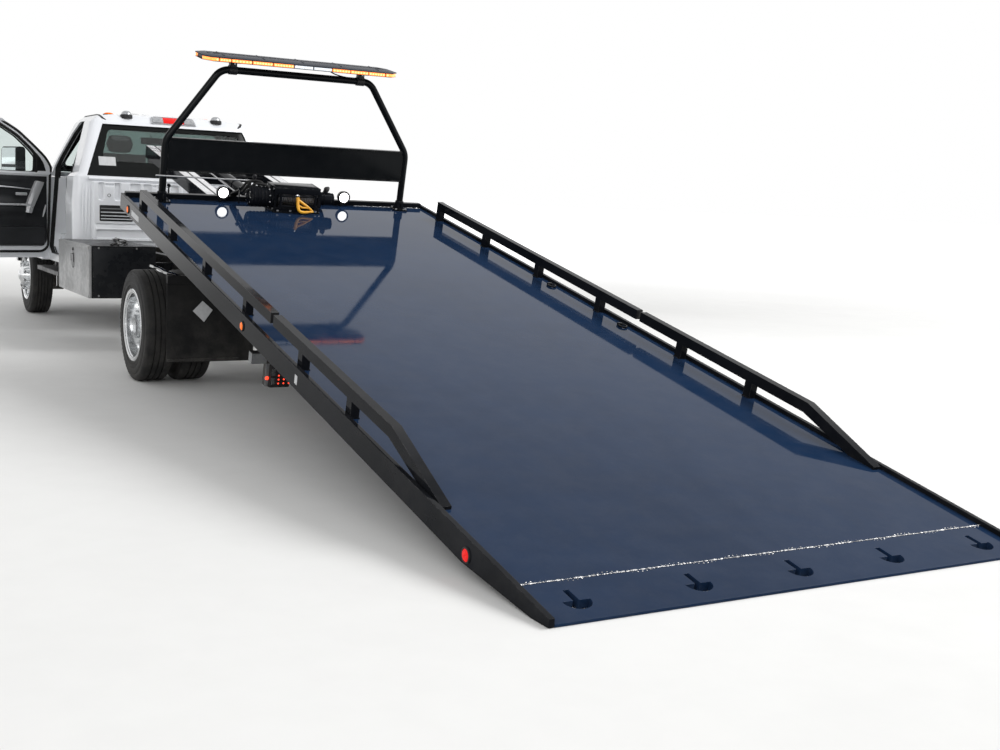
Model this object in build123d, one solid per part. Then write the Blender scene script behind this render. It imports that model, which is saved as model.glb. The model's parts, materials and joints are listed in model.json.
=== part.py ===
from build123d import *
import math
import os

# Flatbed carrier truck, millimetres. +X forward, +Y to the truck's left, +Z up.
# Origin: on the ground at mid width, in the flat under the deck's tail, ORIGIN_IN ahead of its edge.
# Stations along X are given from the tail's edge, and each piece is moved back by ORIGIN_IN as it is
# saved. Rest pose: deck slid back, tilted with its tail on the ground, and the left cab door open.

# Deck
DECK_L = 6215.0
DECK_W = 2438.0
DECK_TILT = 12.27
ORIGIN_IN = 30.0
TAIL_H = 34.0
LIP_H = 22.0
LIP_W = 25.0
CHANNEL_H = 112.0
CHANNEL_FLANGE = 80.0
FLANGE_T = 8.0
PLATE_T = 6.0
TAIL_L = 265.0
TAIL_FLAT = 120.0
TAIL_TAPER_L = 620.0
SLOT_Y = (-1030.0, -495.0, 0.0, 495.0, 1030.0)
SLOT_W = 115.0
SLOT_S = 122.0
SLOT_STEM_W = 24.0
SLOT_STEM_L = 75.0
CROSS_H = 55.0
CROSS_W = 50.0
CROSS_PITCH = 305.0
CROSS_START = 560.0
SILL_T = 16.0
SILL_BACK = 1170.0
SILL_TAPER_L = 260.0
SILL_H = 92.0
SLIDE_TRAVEL = 2610.0
FRONT_RAIL_W = 50.0
FRONT_RAIL_TOP = 15.0

# Side rails on the deck
RAIL_W = 45.0
RAIL_H = 58.0
RAIL_TOP = 122.0
RAIL_GAP = 4.0
RAIL_SPLIT = 2940.0
RAIL_BREAK = 40.0
RAIL_END_GAP = 435.0
RAIL_FRONT_L = 2820.0
RAIL_REAR_L = 1520.0
RAIL_TAPER_L = 520.0
POST_L = 56.0

# Hoop, headboard and light bar
HOOP_BACK = 135.0
HOOP_R = 26.0
HOOP_Y = 955.0
HOOP_KNEE = 430.0
HOOP_TOP = 965.0
HOOP_TOP_Y = 585.0
BOARD_BOTTOM = 213.0
BOARD_TOP = 445.0
BOARD_T = 25.0
BAR_L = 1520.0
BAR_D = 290.0
BAR_T = 46.0
BAR_CORNER = 60.0
BAR_STAND_H = 65.0
BAR_FEET_Y = 500.0
FOOT_T = 12.0

# Winch, hook and work lamps
WINCH_BACK = 275.0
WINCH_Y = 0.0
WINCH_W = 344.0
WINCH_PLATE_H = 190.0
WINCH_PLATE_L = 190.0
WINCH_PLATE_T = 16.0
DRUM_R = 52.0
DRUM_FLANGE_R = 84.0
GEARBOX_L = 168.0
GEARBOX_R = 75.0
MOTOR_L = 124.0
MOTOR_R = 48.0
LEVER_R = 9.0
RELEASE_R = 6.0
HOOK_AHEAD = 105.0
HOOK_N = 85.0
HOOK_LEAN = 62.0
HOOK_T = 20.0
ROPE_R = 7.0
WORK_LAMP_Y = 487.0
WORK_LAMP_R = 50.0
WORK_LAMP_H = 37.0
WORK_LAMP_T = 55.0
MARKER_N = -66.0
MARKER_T = 9.0
MARKER_BACK = 244.0

# Tilt frame
BEAM_Y = 375.0
BEAM_W = 140.0
BEAM_H = 105.0
BEAM_REAR = 3900.0
BEAM_FRONT = 8620.0
BEAM_CLEAR = 5.0
CROSS_TUBE_H = 75.0
CROSS_TUBE_W = 60.0
CROSS_TUBE_Y = 335.0
SLIDE_CYL_R = 48.0
SLIDE_ROD_R = 28.0
SLIDE_CYL_REAR = 5800.0
TAIL_BAR_HALF = 910.0
LAMP_Y = 720.0
LAMP_W = 125.0
LAMP_H = 150.0

# Chassis
TYRE_R = 405.0
TYRE_W = 225.0
RIM_R = 250.0
BEAD_T = 98.0
FLANGE_H = 15.0
HINGE_X = 4600.0
HINGE_Z = 730.0
HINGE_TO_AXLE = 1260.0
WHEELBASE = 5207.0
FRONT_TYRE_Y = 965.0
DUAL_Y = 940.0
DUAL_OFFSET = 139.0
STUD_CIRCLE_R = 138.0
STUD_R = 17.0
STUDS = 10
FRAME_TAIL = 60.0
FRAME_TOP = 810.0
FRAME_H = 190.0
FRAME_HALF = 431.5
FRAME_FLANGE = 76.0
FRAME_WEB = 8.0
CROSS_MEMBER_L = 70.0
PIN_R = 25.0
BORE_CLEAR = 0.5
KINGPIN_Y = 800.0
SPRING_Y = 490.0
SPRING_W = 74.0
AXLE_R = 62.0
BEAM_AXLE_W = 90.0
KINGPIN_HALF_H = 118.0
SHAFT_R = 45.0
PIPE_R = 42.0
MUFFLER_R = 105.0

# Tilt cylinders
CYL_BASE_X = 6750.0
CYL_BASE_Z = 500.0
CYL_EYE_RUN = 3150.0
CYL_EYE_RISE = 50.0
CYL_Y = 215.0
CYL_R = 45.0
CYL_ROD_R = 24.0
CYL_BODY_L = 830.0
EYE_ROOM = 105.0

# Cab and nose
CAB_TO_AXLE = 2159.0
CAB_L = 1732.0
CAB_HALF = 1005.0
CAB_SILL = 620.0
CAB_FLOOR = 830.0
CAB_WALL = 60.0
CAB_SKIN = 50.0
BELT_Z = 1475.0
ROOF_Z = 2115.0
DOOR_FRONT_IN = 378.0
DOOR_REAR_IN = 352.0
DOOR_SILL = 700.0
DOOR_GAP = 6.0
DOOR_HINGE_Y = 1012.0
DOOR_OPEN = 70.0
GLASS_IN = 20.0
GLASS_T = 6.0
NOSE_L = 1260.0
BUMPER_AHEAD = 140.0
BUMPER_T = 55.0
FENDER_IN = 800.0
FENDER_OUT = 1045.0
FENDER_WALL = 45.0
ARCH_CLEAR = 95.0
ARCH_LINER = 25.0
HOOD_EDGE = 38.0
GRILLE_T = 20.0
GRILLE_FRAME = 50.0
GRILLE_PITCH = 75.0
GRILLE_BAR_H = 26.0
FRONT_CLEAR = 6.0
HEADLAMP_T = 35.0
BOARD_STEP_T = 40.0
MIRROR_T = 100.0
MIRROR_OUT = (1105.0, 1400.0)
MIRROR_Z = (1335.0, 1755.0)
MIRROR_BACK = 257.0
SCREEN_R = 4400.0
CORNER_R = 70.0
LAMP_RISE = 12.0
LAMP_DOME_R = 58.0

# Engine and gearbox
ENGINE_L = 860.0
ENGINE_HALF = 300.0
GEARBOX_HALF = 190.0

# Toolboxes, fuel tank and mud flaps
BOX_BACK = 1507.0
BOX_L = 1296.0
BOX_Y = (620.0, 1170.0)
BOX_Z = (464.0, 898.0)
BOX_WALL = 12.0
BOX_DOOR_T = 20.0
BOX_DOOR_CLEAR = 2.0
LATCH_L = 60.0
LATCH_T = 18.0
TANK_L = 1000.0
TANK_ROUND = 50.0
FLAP_BACK = 490.0
FLAP_T = 10.0
FLAP_Y = (437.0, 1065.0)
FLAP_LOW = 190.0
SPRING_NOTCH_LOW = 470.0

HOOP_S = DECK_L - HOOP_BACK
WINCH_S = DECK_L - WINCH_BACK
HOOK_S = WINCH_S - HOOK_AHEAD
REAR_AXLE_X = HINGE_X + HINGE_TO_AXLE
FRONT_AXLE_X = REAR_AXLE_X + WHEELBASE
CAB_BACK = FRONT_AXLE_X - CAB_TO_AXLE
COWL_X = CAB_BACK + CAB_L
NOSE_X = COWL_X + NOSE_L
BUMPER_X = NOSE_X + BUMPER_AHEAD
DOOR_FRONT_X = COWL_X - DOOR_FRONT_IN
DOOR_REAR_X = CAB_BACK + DOOR_REAR_IN
FRAME_REAR_X = HINGE_X - FRAME_TAIL
FRAME_FRONT_X = NOSE_X - 40.0
BOX_X = (CAB_BACK - BOX_BACK, CAB_BACK - BOX_BACK + BOX_L)
PLATE_TOP = -LIP_H
PLATE_BOTTOM = PLATE_TOP - PLATE_T
CROSS_BOTTOM = PLATE_BOTTOM - CROSS_H
BEAM_TOP = CROSS_BOTTOM - BEAM_CLEAR
BEAM_BOTTOM = BEAM_TOP - BEAM_H
TILT = math.radians(DECK_TILT)
SIN = math.sin(TILT)
COS = math.cos(TILT)
HALF = DECK_W / 2
WEB_IN = HALF - LIP_W


def local(x, z):
    """Deck coordinates (along, normal) of a point given in the truck's own frame."""
    return (x * COS + (z - TAIL_H) * SIN, -x * SIN + (z - TAIL_H) * COS)


def tilted(shape):
    """A shape modelled along a level deck, moved to the tilted deck."""
    return Location((0, 0, TAIL_H), (0, -DECK_TILT, 0)) * shape


def block(x0, x1, y0, y1, z0, z1):
    return Pos((x0 + x1) / 2, (y0 + y1) / 2, (z0 + z1) / 2) * Box(abs(x1 - x0), abs(y1 - y0), abs(z1 - z0))


def side_slab(points, y0, y1):
    """Outline in X and Z, between two widths."""
    face = make_face(Polyline([(x, y0, z) for x, z in points], close=True))
    return extrude(face, amount=y1 - y0, dir=(0, 1, 0))


def cross_slab(points, x0, x1):
    """Outline in Y and Z, between two stations."""
    face = make_face(Polyline([(x0, y, z) for y, z in points], close=True))
    return extrude(face, amount=x1 - x0, dir=(1, 0, 0))


def plan_slab(points, z0, z1):
    """Outline in X and Y, between two heights."""
    face = make_face(Polyline([(x, y, z0) for x, y in points], close=True))
    return extrude(face, amount=z1 - z0, dir=(0, 0, 1))


def rod(start, end, radius):
    """Round bar from one point to another."""
    a = Vector(*start)
    b = Vector(*end)
    plane = Plane(origin=a, z_dir=(b - a).normalized())
    return plane * Cylinder(radius, (b - a).length, align=(Align.CENTER, Align.CENTER, Align.MIN))


def turned(points, x, y, z, side):
    """Outline of (radius, outward distance) turned about an axle line at x, z."""
    face = make_face(Polyline([(r, side * t, 0) for r, t in points], close=True))
    return Pos(x, y, z) * revolve(face, Axis.Y, 360)


def both(shape):
    """A shape and its mirror image on the other side of the truck."""
    return [shape, mirror(shape, about=Plane.XZ)]


def symmetric(half_outline):
    """Closed outline from its right half, listed from bottom to top."""
    return half_outline + [(-y, z) for y, z in reversed(half_outline) if y != 0]


def fuse(shapes):
    total = shapes[0]
    for shape in shapes[1:]:
        total = total + shape
    return total


def save(name, *shapes):
    solids = []
    for shape in shapes:
        items = shape if isinstance(shape, (list, tuple)) else [shape]
        for item in items:
            solids += [Pos(-ORIGIN_IN, 0, 0) * solid for solid in item.solids()]
    result = solids[0] if len(solids) == 1 else Compound(children=solids)
    export_step(result, f"parts/{name}.step")


os.makedirs("parts", exist_ok=True)


# Deck plate, tail, side channels and cross members

def tail_line(s):
    """Underside of the tail wedge at a distance from the tail."""
    s0, n0 = local(TAIL_FLAT, 0)
    return n0 + (s - s0) / (TAIL_TAPER_L - s0) * (-CHANNEL_H - n0)


TIP = local(0, 0)
FLAT_END = local(TAIL_FLAT, 0)


def deck_plate():
    return block(TAIL_L, DECK_L - FRONT_RAIL_W, -WEB_IN, WEB_IN, PLATE_BOTTOM, PLATE_TOP)


def deck_tail():
    top_rear = (PLATE_TOP * SIN / COS, PLATE_TOP)
    outline = [top_rear, (TAIL_L, PLATE_TOP), (TAIL_L, tail_line(TAIL_L)), FLAT_END, TIP]
    wedge = side_slab(outline, -WEB_IN, WEB_IN)
    for y in SLOT_Y:
        round_part = Pos(SLOT_S, y, 0) * Cylinder(SLOT_W / 2, 4 * CHANNEL_H)
        half = block(0, SLOT_S, y - SLOT_W, y + SLOT_W, -2 * CHANNEL_H, 0)
        stem = block(SLOT_S - 5, SLOT_S + SLOT_STEM_L, y - SLOT_STEM_W / 2, y + SLOT_STEM_W / 2,
                     -2 * CHANNEL_H, 0)
        wedge = wedge - (round_part & half) - stem
    return wedge


def side_channel():
    section = [(WEB_IN, 0), (HALF, 0), (HALF, -CHANNEL_H), (HALF - CHANNEL_FLANGE, -CHANNEL_H),
               (HALF - CHANNEL_FLANGE, -CHANNEL_H + FLANGE_T), (WEB_IN, -CHANNEL_H + FLANGE_T)]
    bar = cross_slab(section, TIP[0], DECK_L)
    outline = [(0, 0), (DECK_L, 0), (DECK_L, -CHANNEL_H), (TAIL_TAPER_L, -CHANNEL_H), FLAT_END, TIP]
    return bar & side_slab(outline, WEB_IN - CHANNEL_FLANGE, HALF)


def cross_members():
    count = int((DECK_L - FRONT_RAIL_W - CROSS_W - CROSS_START) // CROSS_PITCH) + 1
    stations = [CROSS_START + i * CROSS_PITCH for i in range(count)]
    return [block(s, s + CROSS_W, -WEB_IN, WEB_IN, CROSS_BOTTOM, PLATE_BOTTOM) for s in stations]


def deck_sill(side):
    """Long bearer under the cross members, beside the tilt frame's beam."""
    inner = BEAM_Y + BEAM_W / 2 + BEAM_CLEAR + 1
    front = DECK_L - FRONT_RAIL_W
    outline = [(SILL_BACK, CROSS_BOTTOM), (SILL_BACK, CROSS_BOTTOM - 20),
               (SILL_BACK + SILL_TAPER_L, CROSS_BOTTOM - SILL_H), (front, CROSS_BOTTOM - SILL_H),
               (front, CROSS_BOTTOM)]
    return side_slab(outline, *sorted((side * inner, side * (inner + SILL_T))))


# Centre line of the slide cylinder, below the deck's cross members
SLIDE_N = BEAM_TOP - 4 - SLIDE_CYL_R


def slide_rod():
    """Rod of the slide cylinder with the lug that ties it to the deck plate."""
    start = SLIDE_CYL_REAR - SLIDE_TRAVEL - 135
    lug = block(start, start + 60, -60, 60, SLIDE_N - 45, PLATE_BOTTOM)
    return lug + rod((start + 30, 0, SLIDE_N), (SLIDE_CYL_REAR + 110, 0, SLIDE_N), SLIDE_ROD_R)


def front_rail():
    rail = block(DECK_L - FRONT_RAIL_W, DECK_L, -WEB_IN, WEB_IN, CROSS_BOTTOM, FRONT_RAIL_TOP)
    return rail


def side_rail(side):
    outer = WEB_IN - RAIL_GAP
    inner = outer - RAIL_W
    y0, y1 = (inner, outer) if side > 0 else (-outer, -inner)
    bottom = RAIL_TOP - RAIL_H
    ahead = RAIL_SPLIT + RAIL_BREAK / 2
    behind = RAIL_SPLIT - RAIL_BREAK / 2
    front = block(ahead, ahead + RAIL_FRONT_L, y0, y1, bottom, RAIL_TOP)
    for share in (0.152, 0.432, 0.712, 0.99):
        s = ahead + share * RAIL_FRONT_L
        front = front + block(s - POST_L / 2, s + POST_L / 2, y0, y1, PLATE_TOP, bottom + RAIL_H / 2)
    bend = behind - RAIL_REAR_L
    end = bend - RAIL_TAPER_L
    taper = [(behind, RAIL_TOP), (bend, RAIL_TOP), (end, PLATE_TOP + 14), (end, PLATE_TOP),
             (end + 170, PLATE_TOP), (bend + 20, bottom), (behind, bottom)]
    rear = side_slab(taper, y0, y1)
    for share in (0.303, 0.724):
        s = bend + share * RAIL_REAR_L
        rear = rear + block(s - POST_L / 2, s + POST_L / 2, y0, y1, PLATE_TOP, bottom + RAIL_H / 2)
    return [front, rear]


save("deck_plate", tilted(deck_plate()))
save("deck_tail", tilted(deck_tail()))
save("side_channels", [tilted(c) for c in both(side_channel())])
save("deck_cross_members", [tilted(bar) for bar in cross_members()])
save("deck_sills", [tilted(deck_sill(side)) for side in (1, -1)])
save("slide_rod", tilted(slide_rod()))
save("front_rail", tilted(front_rail()))
save("side_rails", [tilted(r) for side in (1, -1) for r in side_rail(side)])


# Hoop with its headboard, and the light bar on it

def headboard():
    points = [(HOOP_S, HOOP_Y, PLATE_TOP), (HOOP_S, HOOP_Y, HOOP_KNEE), (HOOP_S, HOOP_TOP_Y, HOOP_TOP),
              (HOOP_S, -HOOP_TOP_Y, HOOP_TOP), (HOOP_S, -HOOP_Y, HOOP_KNEE), (HOOP_S, -HOOP_Y, PLATE_TOP)]
    path = FilletPolyline(*points, radius=(150, 120, 120, 150))
    start = Plane(origin=points[0], z_dir=(0, 0, 1))
    hoop = sweep(start * Circle(HOOP_R), path=path)
    board = block(HOOP_S - BOARD_T / 2, HOOP_S + BOARD_T / 2, -HOOP_Y, HOOP_Y, BOARD_BOTTOM, BOARD_TOP)
    feet = [block(HOOP_S - 2 * HOOP_R, HOOP_S + 2 * HOOP_R, y - 2 * HOOP_R, y + 2 * HOOP_R, PLATE_TOP,
                  PLATE_TOP + FOOT_T)
            for y in (HOOP_Y, -HOOP_Y)]
    stands = [block(HOOP_S - 20, HOOP_S + 20, y - 25, y + 25, HOOP_TOP, HOOP_TOP + BAR_STAND_H)
              for y in (BAR_FEET_Y, -BAR_FEET_Y)]
    return fuse([hoop, board] + feet + stands)


def light_bar():
    bottom = HOOP_TOP + BAR_STAND_H
    near, far = HOOP_S - BAR_D / 2, HOOP_S + BAR_D / 2
    end = BAR_L / 2
    c = BAR_CORNER
    outline = [(near, c - end), (near, end - c), (near + c, end), (far - c, end), (far, end - c),
               (far, c - end), (far - c, -end), (near + c, -end)]
    return plan_slab(outline, bottom, bottom + BAR_T)


save("headboard", tilted(headboard()))
save("light_bar", tilted(light_bar()))


# Winch with its drum and gearbox, and the hook on its rope

DRUM_N = PLATE_TOP + FOOT_T + DRUM_FLANGE_R + 1


def winch():
    left = WINCH_Y + WINCH_W / 2
    right = WINCH_Y - WINCH_W / 2
    top = PLATE_TOP + WINCH_PLATE_H
    half = WINCH_PLATE_L / 2
    base = block(WINCH_S - half - 15, WINCH_S + half + 15, right - 10, left + 10, PLATE_TOP,
                 PLATE_TOP + FOOT_T)
    plates = [block(WINCH_S - half, WINCH_S + half, y - WINCH_PLATE_T / 2, y + WINCH_PLATE_T / 2, PLATE_TOP,
                    top) for y in (left, right)]
    bars = [rod((WINCH_S + ds, right, top - 25), (WINCH_S + ds, left, top - 25), 14)
            for ds in (20 - half, half - 20)]
    drum = rod((WINCH_S, right, DRUM_N), (WINCH_S, left, DRUM_N), DRUM_R)
    flanges = [rod((WINCH_S, y - 5, DRUM_N), (WINCH_S, y + 5, DRUM_N), DRUM_FLANGE_R)
               for y in (left - 22, right + 22)]
    gearbox = rod((WINCH_S, left, DRUM_N), (WINCH_S, left + GEARBOX_L, DRUM_N), GEARBOX_R)
    motor = rod((WINCH_S, right, DRUM_N), (WINCH_S, right - MOTOR_L, DRUM_N), MOTOR_R)
    lever_y = left + GEARBOX_L - 40
    lever = rod((WINCH_S + 40, lever_y, DRUM_N + 40), (WINCH_S + 40, lever_y, DRUM_N + 130), LEVER_R)
    return fuse([base, drum, gearbox, motor, lever] + plates + bars + flanges)


def release_rod():
    s = WINCH_S + 40 + LEVER_R + RELEASE_R
    y0 = WINCH_Y + WINCH_W / 2 + GEARBOX_L - 40
    return rod((s, y0, DRUM_N + 105), (s, HOOP_Y + 75, DRUM_N + 110), RELEASE_R)


def tow_hook():
    """Hook that hangs from the drum's rope with its bowl just over the deck, leaning HOOK_LEAN."""
    outline = [(2, 14), (-45, 13), (-86, 8), (-103, -12), (-108, -46), (-103, -80), (-98, -120), (-88, -121),
               (-56, -78), (-24, -44), (2, -14)]
    bowl = [(-50, -16), (-82, -16), (-89, -40), (-84, -68), (-62, -50)]
    flat = plan_slab(outline, -HOOK_T / 2, HOOK_T / 2) - plan_slab(bowl, -HOOK_T, HOOK_T)
    hook = fuse([flat, rod((-4, 0, 0), (24, 0, 0), 13)])
    hook = Location((HOOK_S, 0, HOOK_N), (0, -HOOK_LEAN, 0)) * hook
    rope = rod((HOOK_S + 5, 0, HOOK_N + 16), (WINCH_S - 8, 0, DRUM_N + DRUM_R + ROPE_R - 3), ROPE_R)
    return fuse([hook, rope])


def deck_lamps():
    """Two round work lamps at the front and the side marker lamps."""
    parts = []
    for y in (WORK_LAMP_Y, -WORK_LAMP_Y):
        centre = FRONT_RAIL_TOP + WORK_LAMP_H
        face = DECK_L - FRONT_RAIL_W
        stem = block(face - 20, face, y - 9, y + 9, FRONT_RAIL_TOP - 35, centre)
        lamp = rod((face - WORK_LAMP_T - 4, y, centre), (face - 4, y, centre), WORK_LAMP_R)
        parts.append(fuse([stem, lamp]))
    for s, radius in ((TAIL_TAPER_L - 30, 24), (RAIL_SPLIT + 369, 18), (DECK_L - MARKER_BACK, 18)):
        for side in (1, -1):
            parts.append(rod((s, side * HALF, MARKER_N), (s, side * (HALF + MARKER_T), MARKER_N), radius))
    return parts


save("winch", tilted(winch()))
save("release_rod", tilted(release_rod()))
save("tow_hook", tilted(tow_hook() - winch()))
save("deck_lamps", [tilted(lamp) for lamp in deck_lamps()])


# Tilt frame with its slide cylinder and the tail lamp bar

def tilt_frame():
    parts = []
    hinge = local(HINGE_X, HINGE_Z)
    for side in (1, -1):
        y0, y1 = sorted((side * (BEAM_Y - BEAM_W / 2), side * (BEAM_Y + BEAM_W / 2)))
        parts.append(block(BEAM_REAR, BEAM_FRONT, y0, y1, BEAM_BOTTOM, BEAM_TOP))
        lug_in = side * (FRAME_HALF + 6)
        lug_out = side * (FRAME_HALF + 26)
        outline = [(hinge[0] - 70, BEAM_BOTTOM + 8), (hinge[0] - 45, hinge[1] - 45),
                   (hinge[0] + 45, hinge[1] - 45), (hinge[0] + 70, BEAM_BOTTOM + 8)]
        parts.append(side_slab(outline, min(lug_in, lug_out), max(lug_in, lug_out)))
    tops = BEAM_BOTTOM
    for s in (BEAM_REAR + 40, 5300, 6300, 7300, EYE_LOCAL[0] + EYE_ROOM, BEAM_FRONT - CROSS_TUBE_W):
        parts.append(block(s, s + CROSS_TUBE_W, -CROSS_TUBE_Y, CROSS_TUBE_Y, tops - CROSS_TUBE_H, tops))
    parts.append(block(BEAM_FRONT - CROSS_TUBE_W, BEAM_FRONT, -BEAM_Y, BEAM_Y, BEAM_BOTTOM, BEAM_TOP))
    for side in (1, -1):
        for dy in (-1, 1):
            y = side * CYL_Y + dy * (CYL_R + 12)
            parts.append(block(EYE_LOCAL[0] - 45, EYE_LOCAL[0] + EYE_ROOM + 20, y - 6, y + 6,
                               EYE_LOCAL[1] - 35, tops - 1))
    frame = fuse(parts)
    for side in (1, -1):
        frame = frame - rod((hinge[0], side * (FRAME_HALF - 40), hinge[1]),
                            (hinge[0], side * (FRAME_HALF + 60), hinge[1]), PIN_R + BORE_CLEAR)
    return frame


def slide_cylinder():
    end = BEAM_FRONT - CROSS_TUBE_W
    barrel = rod((SLIDE_CYL_REAR, 0, SLIDE_N), (end, 0, SLIDE_N), SLIDE_CYL_R)
    gland = rod((SLIDE_CYL_REAR - 30, 0, SLIDE_N), (SLIDE_CYL_REAR + 60, 0, SLIDE_N), SLIDE_CYL_R)
    bore = rod((SLIDE_CYL_REAR - 40, 0, SLIDE_N), (end - 20, 0, SLIDE_N), SLIDE_ROD_R + BORE_CLEAR)
    saddles = [block(s, s + CROSS_TUBE_W, -55, 55, BEAM_BOTTOM, SLIDE_N) for s in (6300, 7300)]
    return fuse([barrel, gland] + saddles) - bore


EYE_X = HINGE_X + CYL_EYE_RUN * COS - CYL_EYE_RISE * SIN
EYE_Z = HINGE_Z + CYL_EYE_RUN * SIN + CYL_EYE_RISE * COS
EYE_LOCAL = local(EYE_X, EYE_Z)
TAIL_BAR = local(4020, 395)


def tail_lamp_bar():
    s, n = TAIL_BAR
    bar = block(s - 30, s + 30, -TAIL_BAR_HALF, TAIL_BAR_HALF, n - 35, n + 35)
    arms = [block(s - 25, s + 25, y - 30, y + 30, n, BEAM_BOTTOM) for y in (BEAM_Y, -BEAM_Y)]
    hangers = [block(s - 25, s + 15, y - 12, y + 12, n - 180, n - 20) for y in (LAMP_Y + 85, -LAMP_Y - 85)]
    return fuse([bar] + arms + hangers)


def tail_lamps():
    s, n = TAIL_BAR
    lamps = []
    for side in (1, -1):
        y0, y1 = sorted((side * (LAMP_Y - LAMP_W / 2), side * (LAMP_Y + 73)))
        lamps.append(block(s - 55, s + 15, y0, y1, n - 40 - LAMP_H, n - 35))
    return lamps


save("tilt_frame", tilted(tilt_frame()))
save("slide_cylinder", tilted(slide_cylinder()))
save("tail_lamp_bar", tilted(tail_lamp_bar()))
save("tail_lamps", [tilted(lamp) for lamp in tail_lamps()])


# Tilt cylinders between the chassis and the tilt frame

CYL_DIR = Vector(EYE_X - CYL_BASE_X, 0, EYE_Z - CYL_BASE_Z)
CYL_LEN = CYL_DIR.length
CYL_UNIT = CYL_DIR.normalized()


def along(distance, y):
    return (CYL_BASE_X + CYL_UNIT.X * distance, y, CYL_BASE_Z + CYL_UNIT.Z * distance)


def tilt_barrel(y):
    barrel = rod(along(0, y), along(CYL_BODY_L, y), CYL_R)
    eye = rod((CYL_BASE_X, y - CYL_R, CYL_BASE_Z), (CYL_BASE_X, y + CYL_R, CYL_BASE_Z), 42)
    bore = rod(along(90, y), along(CYL_BODY_L + 5, y), CYL_ROD_R + BORE_CLEAR)
    pin = rod((CYL_BASE_X, y - 99, CYL_BASE_Z), (CYL_BASE_X, y + 99, CYL_BASE_Z), PIN_R + BORE_CLEAR)
    return barrel + eye - bore - pin


def tilt_rod(y):
    bar = rod(along(CYL_LEN - CYL_BODY_L + 100, y), along(CYL_LEN, y), CYL_ROD_R)
    eye = rod((EYE_X, y - CYL_R, EYE_Z), (EYE_X, y + CYL_R, EYE_Z), 34)
    return bar + eye


save("tilt_barrels", [tilt_barrel(y) for y in (CYL_Y, -CYL_Y)])
save("tilt_rods", [tilt_rod(y) for y in (CYL_Y, -CYL_Y)])


# Chassis frame, axles, springs and driveline

def chassis_frame():
    """The two rails with the tilt frame's hinge pins."""
    bottom = FRAME_TOP - FRAME_H
    web_in = FRAME_HALF - FRAME_WEB
    flange_in = FRAME_HALF - FRAME_FLANGE
    section = [(FRAME_HALF, bottom), (FRAME_HALF, FRAME_TOP), (flange_in, FRAME_TOP),
               (flange_in, FRAME_TOP - FRAME_WEB), (web_in, FRAME_TOP - FRAME_WEB),
               (web_in, bottom + FRAME_WEB), (flange_in, bottom + FRAME_WEB), (flange_in, bottom)]
    pin = rod((HINGE_X, web_in - 30, HINGE_Z), (HINGE_X, FRAME_HALF + 40, HINGE_Z), PIN_R)
    return both(cross_slab(section, FRAME_REAR_X, FRAME_FRONT_X) + pin)


def frame_cross_members():
    """Members between the rails' webs; the second one carries the tilt cylinders' brackets and pins."""
    low = FRAME_TOP - FRAME_H + 20
    high = low + 75
    half = FRAME_HALF - FRAME_WEB
    bars = [block(x, x + CROSS_MEMBER_L, -half, half, low, high)
            for x in (HINGE_X + 220, REAR_AXLE_X + 320, CYL_BASE_X + CYL_EYE_RUN - 2040, CAB_BACK - 208,
                      CAB_BACK + 392, FRAME_FRONT_X - 140)]
    base = block(CYL_BASE_X - 35, CYL_BASE_X - 35 + CROSS_MEMBER_L, -half, half, low, high)
    for side in (1, -1):
        for dy in (-1, 1):
            y = side * CYL_Y + dy * (CYL_R + 12)
            base = base + block(CYL_BASE_X - 40, CYL_BASE_X + 40, y - 6, y + 6, CYL_BASE_Z - 45, low + 5)
        base = base + rod((CYL_BASE_X, side * (CYL_Y - CYL_R - 22), CYL_BASE_Z),
                          (CYL_BASE_X, side * (CYL_Y + CYL_R + 22), CYL_BASE_Z), PIN_R)
    return bars + [base]


def leaf_spring(x_mid, length, y, z_mid, z_end, thickness):
    """Leaf pack with its hangers, as one bowed bar beside the frame rail."""
    run = length / 2
    outline = [(x_mid - run, z_end), (x_mid - 120, z_mid), (x_mid + 120, z_mid), (x_mid + run, z_end),
               (x_mid + run, z_end + thickness * 0.5), (x_mid + 120, z_mid + thickness),
               (x_mid - 120, z_mid + thickness), (x_mid - run, z_end + thickness * 0.5)]
    side = 1 if y > 0 else -1
    bar = side_slab(outline, y - SPRING_W / 2, y + SPRING_W / 2)
    hangers = []
    for x in (x_mid - run, x_mid + run):
        y0, y1 = sorted((side * FRAME_HALF, y + side * SPRING_W / 2))
        hangers.append(block(x - 35, x + 35, y0, y1, z_end - 15, z_end + 100))
    return fuse([bar] + hangers)


def leaf_springs():
    end_z = FRAME_TOP - FRAME_H
    springs = []
    for y in (SPRING_Y, -SPRING_Y):
        springs.append(leaf_spring(REAR_AXLE_X, 1400, y, TYRE_R + 80, end_z - 20, 90))
        springs.append(leaf_spring(FRONT_AXLE_X, 1240, y, TYRE_R + 25, end_z - 30, 70))
    return springs


def rear_axle():
    tube = rod((REAR_AXLE_X, -DUAL_Y + 190, TYRE_R), (REAR_AXLE_X, DUAL_Y - 190, TYRE_R), AXLE_R)
    pumpkin = Pos(REAR_AXLE_X, 0, TYRE_R) * Sphere(3 * AXLE_R)
    nose = rod((REAR_AXLE_X, 0, TYRE_R), (REAR_AXLE_X + 330, 0, TYRE_R + 35), 80)
    seats = [block(REAR_AXLE_X - 70, REAR_AXLE_X + 70, y - 45, y + 45, TYRE_R, TYRE_R + 80)
             for y in (SPRING_Y, -SPRING_Y)]
    return fuse([tube, pumpkin, nose] + seats)


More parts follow.
